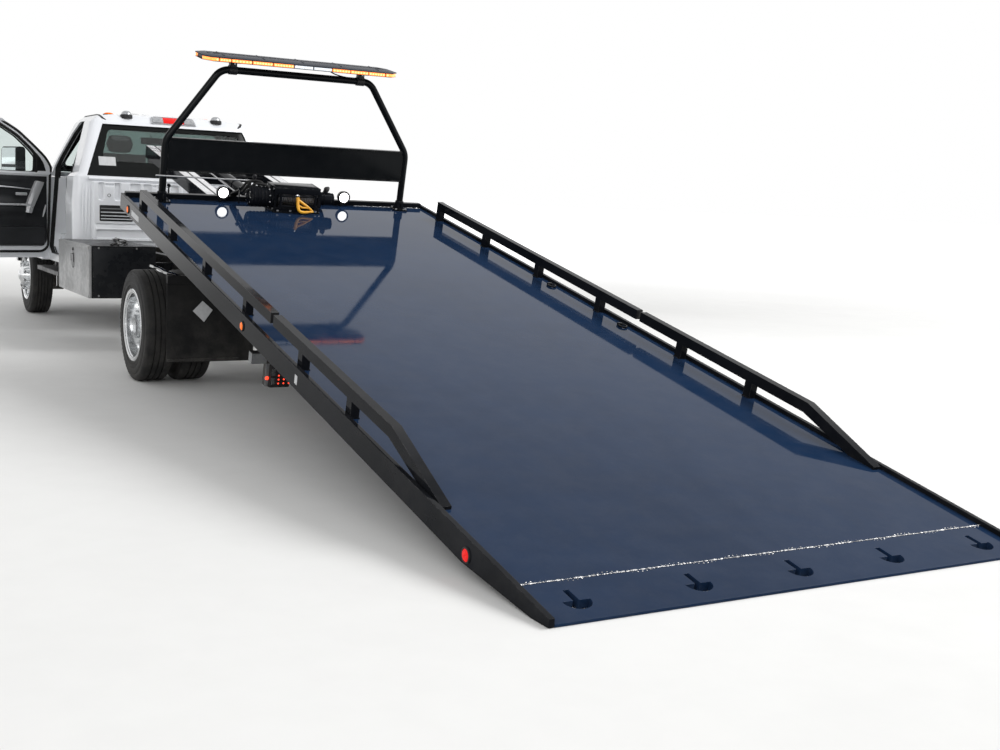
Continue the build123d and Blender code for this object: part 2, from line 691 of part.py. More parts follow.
def front_axle():
    near = FRONT_AXLE_X - BEAM_AXLE_W / 2
    far = FRONT_AXLE_X + BEAM_AXLE_W / 2
    inner = KINGPIN_Y - 55
    beam = block(near, far, -inner, inner, TYRE_R - 75, TYRE_R + 25)
    yokes = []
    for side in (1, -1):
        y0, y1 = sorted((side * (inner - 55), side * (KINGPIN_Y + 38)))
        y2, y3 = sorted((side * (inner - 55), side * inner))
        above = TYRE_R + KINGPIN_HALF_H + 5
        below = TYRE_R - KINGPIN_HALF_H - 5
        yokes.append(block(near, far, y0, y1, above, above + 28))
        yokes.append(block(near, far, y0, y1, below - 28, below))
        yokes.append(block(near, far, y2, y3, below - 28, above + 28))
    return fuse([beam] + yokes)


def knuckle(side):
    post = Pos(FRONT_AXLE_X, side * KINGPIN_Y, TYRE_R) * Cylinder(42, 2 * KINGPIN_HALF_H)
    hub_face = FRONT_TYRE_Y - 96
    stub = rod((FRONT_AXLE_X, side * KINGPIN_Y, TYRE_R), (FRONT_AXLE_X, side * hub_face, TYRE_R), 38)
    arm = block(FRONT_AXLE_X - 190, FRONT_AXLE_X, side * KINGPIN_Y, side * (KINGPIN_Y + 38), TYRE_R - 75,
                TYRE_R - 45)
    return fuse([post, stub, arm])


def driveline():
    """Engine as one plain block with its sump, the gearbox and the shaft to the rear axle."""
    engine_x = COWL_X + 60
    low = FRAME_TOP + 15
    engine = block(engine_x, engine_x + ENGINE_L, -ENGINE_HALF, ENGINE_HALF, low, low + 465)
    sump = block(engine_x + 60, engine_x + 300, 50 - ENGINE_HALF, ENGINE_HALF - 50, FRAME_TOP - 250, low + 5)
    gearbox_x = engine_x - 800
    gearbox = block(gearbox_x, engine_x + 70, -GEARBOX_HALF, GEARBOX_HALF, FRAME_TOP - 290, FRAME_TOP - 10)
    shaft = rod((gearbox_x + 5, 0, FRAME_TOP - 200), (REAR_AXLE_X + 332, 0, TYRE_R + 37), SHAFT_R)
    return fuse([engine, sump, gearbox, shaft])


def exhaust():
    y = -FRAME_HALF - 93
    z = FRAME_TOP - 290
    head = (COWL_X - 210, -GEARBOX_HALF - 0.5, z)
    elbow = (COWL_X - 260, y, z)
    turn = (CYL_BASE_X, y, z)
    tail = (CYL_BASE_X, -DUAL_Y - 120, z - 60)
    muffler = rod((CAB_BACK + 990, y - 55, z), (CAB_BACK + 192, y - 55, z), MUFFLER_R)
    runs = [rod(head, elbow, PIPE_R), rod(elbow, turn, PIPE_R), rod(turn, tail, PIPE_R), muffler]
    bends = [Pos(*corner) * Sphere(PIPE_R) for corner in (elbow, turn)]
    return fuse(runs + bends) - block(COWL_X - 640, COWL_X + 260, -GEARBOX_HALF - 0.5, GEARBOX_HALF, 400, 900)


def fuel_tank():
    x = CAB_BACK + 52
    tank = block(x, x + TANK_L, FRAME_HALF + 13.5, KINGPIN_Y - 20, CAB_SILL - 220, FRAME_TOP - 110)
    return fillet(tank.edges().filter_by(Axis.X), TANK_ROUND)


save("chassis_frame", chassis_frame())
save("frame_cross_members", frame_cross_members())
save("leaf_springs", leaf_springs())
save("rear_axle", rear_axle())
save("front_axle", front_axle())
for name, side in (("left", 1), ("right", -1)):
    save(f"knuckle_{name}", knuckle(side))
save("driveline", driveline() - rear_axle())
save("exhaust", exhaust())
save("fuel_tank", fuel_tank())


# Wheels and tyres

def tyre(x, y, side):
    half = TYRE_W / 2
    outline = [(RIM_R, -BEAD_T), (RIM_R + FLANGE_H, -BEAD_T), (RIM_R + 45, -half), (TYRE_R - 60, -half),
               (TYRE_R - 12, -half + 16), (TYRE_R, -half + 34), (TYRE_R, half - 34),
               (TYRE_R - 12, half - 16), (TYRE_R - 60, half), (RIM_R + 45, half),
               (RIM_R + FLANGE_H, BEAD_T), (RIM_R, BEAD_T)]
    return turned(outline, x, y, TYRE_R, side)


def rim(x, y, side):
    edge = BEAD_T + 8
    outline = [(RIM_R, -BEAD_T), (RIM_R + FLANGE_H, -BEAD_T), (RIM_R + FLANGE_H, -edge), (RIM_R - 12, -edge),
               (RIM_R - 12, edge), (RIM_R + FLANGE_H, edge), (RIM_R + FLANGE_H, BEAD_T), (RIM_R, BEAD_T)]
    return turned(outline, x, y, TYRE_R, side)


def round_row(x, y, radius, reach, size, count, phase=0.0):
    """Rods parallel to the axle on a circle about it, between two outward distances."""
    rods = []
    for i in range(count):
        angle = 2 * math.pi * (i + phase) / count
        px = x + radius * math.cos(angle)
        pz = TYRE_R + radius * math.sin(angle)
        rods.append(rod((px, y + reach[0], pz), (px, y + reach[1], pz), size))
    return rods


def front_wheel(side):
    x, y = FRONT_AXLE_X, side * FRONT_TYRE_Y
    r = RIM_R
    disc = [(r - 6, 20), (r - 6, 44), (r - 60, 84), (r - 85, 92), (r - 138, 92), (r - 154, 150), (r - 180, 168),
            (0, 172), (0, -90), (r - 175, -90), (r - 175, 70), (r - 85, 76), (r - 62, 68), (r - 25, 34),
            (r - 18, 20)]
    wheel = turned(disc, x, y, TYRE_R, side)
    for cut in round_row(x, y, r - 50, (-250, 250), 24, STUDS):
        wheel = wheel - cut
    drum = turned([(r - 190, -90), (r - 75, -90), (r - 75, -60), (r - 190, -60)], x, y, TYRE_R, side)
    nuts = round_row(x, y, STUD_CIRCLE_R, (side * 88, side * 145), STUD_R, STUDS, 0.5)
    return fuse([rim(x, y, side), wheel, drum] + nuts)


def rear_wheels(side):
    x, y = REAR_AXLE_X, side * DUAL_Y
    r = RIM_R
    outer = [(r - 6, 66), (r - 6, 92), (r - 45, 40), (r - 80, 22), (r - 172, 22), (r - 178, 110),
             (r - 200, 126), (0, 128), (0, 2), (r - 75, 2), (r - 35, 22), (r - 14, 60)]
    inner = [(r - 6, -66), (r - 6, -92), (r - 45, -40), (r - 80, -20), (0, -20), (0, 3), (r - 75, 3),
             (r - 35, -22), (r - 14, -60)]
    drum = turned([(0, -184), (r - 60, -184), (r - 60, -40), (r - 100, -15), (0, -15)], x, y, TYRE_R, side)
    discs = turned(outer, x, y, TYRE_R, side) + turned(inner, x, y, TYRE_R, side)
    for cut in round_row(x, y, r - 43, (-250, 250), 22, STUDS):
        discs = discs - cut
    nuts = round_row(x, y, STUD_CIRCLE_R, (side * 15, side * 70), STUD_R, STUDS, 0.5)
    rims = [rim(x, y + side * d, side) for d in (DUAL_OFFSET, -DUAL_OFFSET)]
    return fuse([discs, drum] + nuts + rims)


for name, side in (("left", 1), ("right", -1)):
    save(f"front_tyre_{name}", tyre(FRONT_AXLE_X, side * FRONT_TYRE_Y, side))
    save(f"front_wheel_{name}", front_wheel(side))
    save(f"rear_tyres_{name}",
         [tyre(REAR_AXLE_X, side * (DUAL_Y + d), side) for d in (DUAL_OFFSET, -DUAL_OFFSET)])
    save(f"rear_wheels_{name}", rear_wheels(side))


# Cab: shell, glass, doors

EAVE_Z = ROOF_Z - 105
CAB_SIDE = [(CAB_BACK, CAB_SILL - 20), (CAB_BACK, BELT_Z), (CAB_BACK + 232, EAVE_Z),
            (CAB_BACK + 322, ROOF_Z - 35), (CAB_BACK + 592, ROOF_Z), (COWL_X - 860, ROOF_Z - 8),
            (COWL_X - 740, ROOF_Z - 37), (COWL_X, BELT_Z), (COWL_X, CAB_SILL - 20)]
CAB_SECTION = symmetric([(0, CAB_FLOOR), (CAB_HALF - 205, CAB_FLOOR), (CAB_HALF - 205, CAB_SILL),
                         (CAB_HALF - 35, CAB_SILL), (CAB_HALF - 5, CAB_FLOOR + 50), (CAB_HALF, BELT_Z - 225),
                         (CAB_HALF - 20, BELT_Z), (CAB_HALF - 70, BELT_Z + 45), (CAB_HALF - 215, ROOF_Z - 115),
                         (CAB_HALF - 285, ROOF_Z - 53), (CAB_HALF - 605, ROOF_Z - 11), (0, ROOF_Z)])
DOOR_OUTLINE = [(DOOR_REAR_X, DOOR_SILL), (DOOR_REAR_X, BELT_Z), (DOOR_REAR_X + 192, ROOF_Z - 111),
                (DOOR_FRONT_X - 622, ROOF_Z - 111), (DOOR_FRONT_X - 418, ROOF_Z - 210),
                (DOOR_FRONT_X - 220, ROOF_Z - 350), (DOOR_FRONT_X - 83, BELT_Z + 185),
                (DOOR_FRONT_X, BELT_Z + 85), (DOOR_FRONT_X, DOOR_SILL + 60), (DOOR_FRONT_X - 72, DOOR_SILL)]
DOOR_IN = CAB_HALF - 145
DOOR_ZONE = [(DOOR_IN, CAB_SILL - 120), (CAB_HALF + 295, CAB_SILL - 120), (CAB_HALF + 295, ROOF_Z),
             (CAB_HALF - 405, ROOF_Z), (CAB_HALF - 405, BELT_Z), (DOOR_IN, BELT_Z)]
DOOR_WINDOW = [(DOOR_REAR_X + 85, BELT_Z + 30), (DOOR_REAR_X + 230, ROOF_Z - 163),
               (DOOR_FRONT_X - 637, ROOF_Z - 163), (DOOR_FRONT_X - 432, ROOF_Z - 267),
               (DOOR_FRONT_X - 277, ROOF_Z - 380), (DOOR_FRONT_X - 187, BELT_Z + 180),
               (DOOR_FRONT_X - 172, BELT_Z + 30)]
WINDSCREEN = symmetric([(CAB_HALF - 125, BELT_Z + 45), (CAB_HALF - 305, ROOF_Z - 90)])
REAR_WINDOW = symmetric([(CAB_HALF - 132, BELT_Z + 13), (CAB_HALF - 319, ROOF_Z - 132)])
WINDOW_REACH = 400


def cab_solid(inset_side, inset_section):
    side_face = make_face(Polyline([(x, -CAB_HALF - 200, z) for x, z in CAB_SIDE], close=True))
    section_face = make_face(Polyline([(CAB_BACK - 100, y, z) for y, z in CAB_SECTION], close=True))
    if inset_side:
        side_face = offset(side_face, amount=-inset_side, kind=Kind.INTERSECTION)
        section_face = offset(section_face, amount=-inset_section, kind=Kind.INTERSECTION)
    across = extrude(side_face, amount=2 * CAB_HALF + 400, dir=(0, 1, 0))
    body = across & extrude(section_face, amount=CAB_L + 300, dir=(1, 0, 0))
    return body & screen_round(SCREEN_R - inset_side)


def screen_round(radius):
    """Long cylinder that the windscreen's glass and pillars are curved on, lying along its slope."""
    top, foot = Vector(COWL_X - 740, 0, ROOF_Z - 37), Vector(COWL_X, 0, BELT_Z)
    along = (foot - top).normalized()
    outward = Vector(-along.Z, 0, along.X)
    centre = foot - outward * SCREEN_R
    reach = 4 * CAB_L
    plane = Plane(origin=centre - along * reach, z_dir=along)
    return plane * Cylinder(radius, 2 * reach, align=(Align.CENTER, Align.CENTER, Align.MIN))


def rear_rounded(body):
    """The cab's solid with its two rear corners rounded from the sill to the roof."""
    corners = []
    for edge in body.edges():
        spot = edge.center()
        behind = spot.X < CAB_BACK + 330 and abs(edge.tangent_at(0.5).Z) > 0.5
        outside = abs(spot.Y) > CAB_HALF - 300 and (spot.Z > CAB_FLOOR or abs(spot.Y) > CAB_HALF - 100)
        if behind and outside:
            corners.append(edge)
    return fillet(corners, CORNER_R)


CAB_OUTER = rear_rounded(cab_solid(0, 0))
CAB_INNER = cab_solid(CAB_SKIN, CAB_WALL)
SHELL = CAB_OUTER - CAB_INNER


def cab_shell():
    shell = SHELL
    door_hole = make_face(Polyline([(x, DOOR_IN - 360, z) for x, z in DOOR_OUTLINE], close=True))
    door_hole = extrude(offset(door_hole, amount=DOOR_GAP, kind=Kind.INTERSECTION), amount=800, dir=(0, 1, 0))
    door_hole = door_hole & cross_slab(DOOR_ZONE, CAB_BACK, COWL_X)
    for cut in both(door_hole):
        shell = shell - cut
    shell = shell - cross_slab(REAR_WINDOW, CAB_BACK - 50, CAB_BACK + WINDOW_REACH)
    shell = shell - cross_slab(WINDSCREEN, COWL_X - 2 * WINDOW_REACH, COWL_X + 20)
    nose_in = FENDER_IN - 5
    kick_x = DOOR_FRONT_X + DOOR_GAP
    for cut in both(block(kick_x, COWL_X + 50, nose_in, CAB_HALF + 295, CAB_SILL - 120, BELT_Z)):
        shell = shell - cut
    for kick in both(block(kick_x, COWL_X, nose_in - CAB_WALL, nose_in, CAB_FLOOR, BELT_Z)):
        shell = shell + kick
    return shell


def side_zone(side):
    """Widths from inside the cab wall to well outside it."""
    return sorted((side * (CAB_HALF - 505), side * (CAB_HALF + 195)))


def door(side):
    y0, y1 = side_zone(side)
    zone = cross_slab([(side * y, z) for y, z in DOOR_ZONE], CAB_BACK, COWL_X)
    panel = SHELL & side_slab(DOOR_OUTLINE, y0, y1) & zone
    return panel - side_slab(DOOR_WINDOW, y0, y1)


PANE = cab_solid(GLASS_IN, GLASS_IN) - cab_solid(GLASS_IN + GLASS_T, GLASS_IN + GLASS_T)


def door_glass(side):
    y0, y1 = side_zone(side)
    return PANE & side_slab(DOOR_WINDOW, y0, y1)


def hinged(shape):
    """Left door pieces, swung open about the hinge line."""
    axis = Axis((DOOR_FRONT_X + 4, DOOR_HINGE_Y, 0), (0, 0, 1))
    return shape.rotate(axis, -DOOR_OPEN)


def mirror_head(side):
    x = DOOR_FRONT_X - MIRROR_BACK
    out0, out1 = MIRROR_OUT
    head = block(x, x + MIRROR_T, side * out0, side * out1, *MIRROR_Z)
    head = fillet(head.edges().filter_by(Axis.Y), 35)
    foot = CAB_HALF - 30
    arms = [rod((x + 65, side * foot, z), (x + 55, side * (out0 + 10), z), 14)
            for z in (BELT_Z - 35, BELT_Z + 15)]
    base = block(x + 25, x + 125, side * (foot - 35), side * (foot + 25), BELT_Z - 60, BELT_Z + 15)
    return fuse([head] + arms + [base]) - door(side)


save("cab_shell", cab_shell())
save("cab_glass", PANE & cross_slab(REAR_WINDOW, CAB_BACK - 50, CAB_BACK + WINDOW_REACH),
     PANE & cross_slab(WINDSCREEN, COWL_X - 2 * WINDOW_REACH, COWL_X + 20))
save("door_left", hinged(door(1)))
save("door_glass_left", hinged(door_glass(1)))
save("door_right", door(-1))
save("door_glass_right", door_glass(-1))
save("mirror_left", hinged(mirror_head(1)))
save("mirror_right", mirror_head(-1))


# Front end

def fender(side):
    y0, y1 = sorted((side * FENDER_IN, side * FENDER_OUT))
    rear = DOOR_FRONT_X + DOOR_GAP
    outline = [(rear, CAB_SILL), (rear, BELT_Z - 7), (COWL_X, BELT_Z - 13), (NOSE_X - 400, BELT_Z - 75),
               (NOSE_X - 60, BELT_Z - 145), (NOSE_X, BELT_Z - 225), (NOSE_X, CAB_FLOOR - 30),
               (NOSE_X - 200, CAB_SILL)]
    panel = side_slab(outline, y0, y1)
    arch_r = TYRE_R + ARCH_CLEAR
    arch_z = TYRE_R + 35
    arch = rod((FRONT_AXLE_X, -FENDER_OUT - 200, arch_z), (FRONT_AXLE_X, FENDER_OUT + 200, arch_z), arch_r)
    room = side_slab([(rear + 54, CAB_SILL - 20), (rear + 54, BELT_Z - 55), (COWL_X, BELT_Z - 61),
                      (NOSE_X - 420, BELT_Z - 123), (NOSE_X - 110, BELT_Z - 185), (NOSE_X - 90, CAB_SILL - 20)],
                     *sorted((side * (FENDER_IN - 10), side * (FENDER_OUT - FENDER_WALL))))
    liner = panel & rod((FRONT_AXLE_X, side * FENDER_IN, arch_z), (FRONT_AXLE_X, side * FENDER_OUT, arch_z),
                        arch_r + ARCH_LINER)
    return (panel - room + liner) - arch


def hood():
    rear = COWL_X + 20
    top = BELT_Z + 3
    mid = (COWL_X + NOSE_X) / 2 + 30
    front = BELT_Z - 185
    outline = [(rear, top - HOOD_EDGE), (rear, top), (mid, top - 26), (NOSE_X - 200, top - 78),
               (NOSE_X - 30, front + 40), (NOSE_X, front), (NOSE_X - 60, front + 10), (NOSE_X - 210, top - 113),
               (mid - 10, top - 64)]
    return side_slab(outline, -FENDER_IN + DOOR_GAP, FENDER_IN - DOOR_GAP)


def grille():
    low = FRAME_TOP + FRONT_CLEAR
    high = BELT_Z - 195
    half = FENDER_IN - 160
    edge = GRILLE_FRAME
    back = NOSE_X - 90
    panel = block(back - GRILLE_T, back, -FENDER_IN, FENDER_IN, low, high - 25)
    frame = block(back, NOSE_X + 40, -half, half, low, high)
    frame = frame - block(back, NOSE_X + 50, edge - half, half - edge, low + 34, high - edge)
    bars = []
    z = low + 109
    while z + GRILLE_BAR_H < high - edge - 20:
        bars.append(block(back - 5, NOSE_X + 25, edge - half - 10, half - edge + 10, z, z + GRILLE_BAR_H))
        z += GRILLE_PITCH
    return fuse([frame, panel] + bars)


def headlamps():
    return both(block(NOSE_X, NOSE_X + HEADLAMP_T, FENDER_IN - 140, FENDER_OUT - 35, FRAME_TOP + 200,
                      BELT_Z - 235))


def bumper():
    half = FENDER_OUT - 20
    face = block(BUMPER_X - BUMPER_T, BUMPER_X, -half, half, FRAME_TOP - 310, FRAME_TOP - 45)
    stays = [block(FRAME_FRONT_X, BUMPER_X - BUMPER_T + 5, y - 40, y + 40, FRAME_TOP - 170, FRAME_TOP - 70)
             for y in (390, -390)]
    return fuse([face] + stays)


def dashboard():
    x = COWL_X - 520
    high = BELT_Z - 35
    section = [(x, high - 260), (x + 40, high), (x + 300, high + 15), (x + 380, high - 60), (x + 380, high - 290)]
    panel = side_slab(section, 285 - CAB_HALF, CAB_HALF - 285) & CAB_INNER
    hub = (x - 135, 400, high - 63)
    column = rod((x + 80, 400, high - 150), (x - 130, 400, high - 65), 26)
    facing = Plane(origin=hub, z_dir=(-0.93, 0, 0.37))
    return fuse([panel, column, facing * Torus(195, 15), facing * Box(24, 380, 18)])


def bench_seat():
    x = CAB_BACK + 152
    z = CAB_FLOOR + 70
    half = CAB_HALF - 205
    cushion = side_slab([(x + 50, z), (x + 620, z), (x + 630, z + 300), (x + 140, z + 270)], -half, half)
    back = side_slab([(x, z + 250), (x + 160, z + 250), (x + 70, z + 820), (x + 60, z + 860), (x, z + 860),
                      (x + 20, z + 700)], 40 - half, half - 40)
    return (cushion + back) & CAB_INNER


def running_boards():
    inner = CAB_HALF - 105
    low = CAB_SILL - 100
    high = low + BOARD_STEP_T
    board = block(DOOR_REAR_X - 30, DOOR_FRONT_X + 68, inner, inner + 180, low, high)
    stays = [block(x, x + 50, inner - 70, inner + 40, high, CAB_SILL)
             for x in (DOOR_REAR_X + 140, DOOR_FRONT_X - 162)]
    return both(fuse([board] + stays))


def cab_lamps():
    """Five roof lamps above the windscreen, two at the roof's rear, and the high brake lamp."""
    parts = []
    for x, ys in ((COWL_X - 890, (-490, -250, 0, 250, 490)), (CAB_BACK + 310, (-440, 440))):
        for y in ys:
            dome = rod((x, y, ROOF_Z - 80), (x, y, ROOF_Z + LAMP_RISE), LAMP_DOME_R)
            dome = dome & block(x - 50, x + 50, y - 60, y + 60, ROOF_Z - 80, ROOF_Z + LAMP_RISE)
            parts.append(dome - CAB_OUTER)
    z = EAVE_Z - 6
    brake = [(CAB_BACK + 230, z), (CAB_BACK + 222, z + 10), (CAB_BACK + 306, z + 79), (CAB_BACK + 318, z + 65)]
    parts.append(side_slab(brake, -218, 218) - CAB_OUTER)
    return parts


save("fenders", [fender(1), fender(-1)])
save("hood", hood())
save("grille", grille())
save("headlamps", headlamps())
save("front_bumper", bumper())
save("dashboard", dashboard())
save("bench_seat", bench_seat())
save("running_boards", running_boards())
save("cab_lamps", cab_lamps())


# Toolboxes and mud flaps

def toolbox(side):
    w = BOX_WALL
    front, rear = BOX_X
    body = block(front, rear, side * BOX_Y[0], side * (BOX_Y[1] - BOX_DOOR_T - BOX_DOOR_CLEAR), *BOX_Z)
    cavity = block(front + w, rear - w, side * (BOX_Y[0] + w), side * BOX_Y[1], BOX_Z[0] + w, BOX_Z[1] - w)
    brackets = [block(x, x + 60, side * FRAME_HALF, side * BOX_Y[0], FRAME_TOP - 160, FRAME_TOP - 50)
                for x in (front + 149, rear - 247)]
    return fuse([body - cavity] + brackets)


def toolbox_door(side):
    outer = BOX_Y[1]
    middle = (BOX_X[0] + BOX_X[1]) / 2
    handle_z = (BOX_Z[0] + BOX_Z[1]) / 2 + 9
    panel = block(*BOX_X, side * (outer - BOX_DOOR_T), side * outer, *BOX_Z)
    latch = block(middle - LATCH_L / 2, middle + LATCH_L / 2, side * outer, side * (outer + LATCH_T),
                  handle_z, handle_z + 140)
    return panel + latch


def mud_flap(side):
    x = REAR_AXLE_X - FLAP_BACK
    top = FRAME_TOP - 10
    flap = block(x, x + FLAP_T, side * FLAP_Y[0], side * FLAP_Y[1], FLAP_LOW, top)
    flap = flap - block(x - 5, x + FLAP_T + 5, side * (FLAP_Y[0] - 5), side * (SPRING_Y + SPRING_W / 2 + 8),
                        SPRING_NOTCH_LOW, top - 55)
    bar = block(x - 20, x + 30, side * FRAME_HALF, side * FLAP_Y[1], top - 55, top)
    return fuse([flap, bar])


save("toolboxes", [toolbox(1), toolbox(-1)])
save("toolbox_door_left", toolbox_door(1))
save("toolbox_door_right", toolbox_door(-1))
save("mud_flaps", [mud_flap(1), mud_flap(-1)])
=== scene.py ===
"""Looks of a flatbed carrier truck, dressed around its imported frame.

Metres throughout: +X runs from the deck's tail to the front bumper, +Y to the truck's left, +Z up.
"""
from __future__ import annotations

import json
import logging
import math
from dataclasses import dataclass
from enum import Enum
from typing import Callable, Sequence

import bmesh
import bpy
from mathutils import Matrix, Vector

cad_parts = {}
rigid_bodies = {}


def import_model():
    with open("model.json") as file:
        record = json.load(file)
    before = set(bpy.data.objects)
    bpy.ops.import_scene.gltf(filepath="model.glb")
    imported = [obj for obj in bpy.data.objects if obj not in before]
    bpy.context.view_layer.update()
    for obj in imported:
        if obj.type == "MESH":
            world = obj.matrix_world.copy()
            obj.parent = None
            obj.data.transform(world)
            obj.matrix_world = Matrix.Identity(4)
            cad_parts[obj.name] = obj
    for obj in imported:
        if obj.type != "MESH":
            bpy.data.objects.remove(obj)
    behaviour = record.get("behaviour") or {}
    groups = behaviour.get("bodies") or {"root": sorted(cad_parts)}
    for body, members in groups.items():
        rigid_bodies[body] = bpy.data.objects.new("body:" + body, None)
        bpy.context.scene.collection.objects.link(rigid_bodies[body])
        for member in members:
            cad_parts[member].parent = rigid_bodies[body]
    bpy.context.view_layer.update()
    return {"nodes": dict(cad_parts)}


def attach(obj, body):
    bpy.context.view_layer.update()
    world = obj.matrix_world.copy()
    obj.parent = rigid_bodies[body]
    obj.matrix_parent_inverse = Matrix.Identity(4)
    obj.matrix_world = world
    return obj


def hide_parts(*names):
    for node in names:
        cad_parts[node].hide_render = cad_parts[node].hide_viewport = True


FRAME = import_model()
LOG = logging.getLogger("carrier_truck")

Rgb = tuple[float, float, float]
Point = Sequence[float]
Pair = tuple[float, float]

# Truck stations are given from the tail's edge; the model's origin lies this far ahead of it.
ORIGIN_IN = 0.030
DECK_TILT = 12.27
DECK_LIFT = 0.034
DOOR_HINGE = (10.266, 1.012)
DOOR_OPEN = 70.0


class Body(str, Enum):
    """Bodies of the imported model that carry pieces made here."""

    CHASSIS = "chassis"
    DECK = "deck"
    TILT = "tilting_frame"
    LEFT_DOOR = "left_door"
    RIGHT_DOOR = "right_door"
    HOOD = "hood_lid"
    LEFT_BOX = "left_box_door"
    RIGHT_BOX = "right_box_door"
    FRONT_LEFT = "front_left_wheel"
    FRONT_RIGHT = "front_right_wheel"
    REAR_LEFT = "rear_left_wheels"
    REAR_RIGHT = "rear_right_wheels"


class Slot(str, Enum):
    """Material slots of the record."""

    WHITE = "white_paint"
    GLOSS_BLACK = "gloss_black"
    FRAME_BLACK = "frame_black"
    TYRE = "tyre"
    ALLOY = "polished_alloy"
    CHROME = "chrome"
    BRUSHED = "brushed_alloy"
    GLASS = "glass"
    RUBBER = "rubber"
    CAST = "cast_metal"
    STEEL = "bare_steel"
    PLASTIC = "black_plastic"
    TRIM = "grey_trim"
    CLOTH = "seat_cloth"
    CLEAR = "clear_lamp"
    AMBER = "amber_lamp"
    RED = "red_lamp"
    YELLOW = "yellow_paint"


@dataclass(frozen=True)
class Placing:
    """A frame of reference that a sub-assembly is modelled in.

    Attributes:
        matrix: from the sub-assembly's own metres to the model's.
    """

    matrix: Matrix

    @staticmethod
    def level() -> "Placing":
        """Truck stations, level, from the tail's edge."""
        return Placing(Matrix.Translation((-ORIGIN_IN, 0.0, 0.0)))

    @staticmethod
    def deck() -> "Placing":
        """Along the tilted deck, across it, and normal to it from the lips' top."""
        turn = Matrix.Rotation(-math.radians(DECK_TILT), 4, "Y")
        return Placing(Matrix.Translation((-ORIGIN_IN, 0.0, DECK_LIFT)) @ turn)

    @staticmethod
    def open_door() -> "Placing":
        """The left door as if shut, turned with it about its hinge line.

        Returns:
            The placing.
        """
        hinge = Vector((DOOR_HINGE[0] - ORIGIN_IN, DOOR_HINGE[1], 0.0))
        turn = Matrix.Rotation(math.radians(-DOOR_OPEN), 4, "Z")
        swing = Matrix.Translation(hinge) @ turn @ Matrix.Translation(-hinge)
        return Placing(swing @ Matrix.Translation((-ORIGIN_IN, 0.0, 0.0)))

    def mirrored(self) -> "Placing":
        """The same frame with its sides exchanged."""
        return Placing(self.matrix @ Matrix.Scale(-1.0, 4, (0.0, 1.0, 0.0)))


LEVEL = Placing.level()
ON_DECK = Placing.deck()
ON_DOOR = Placing.open_door()


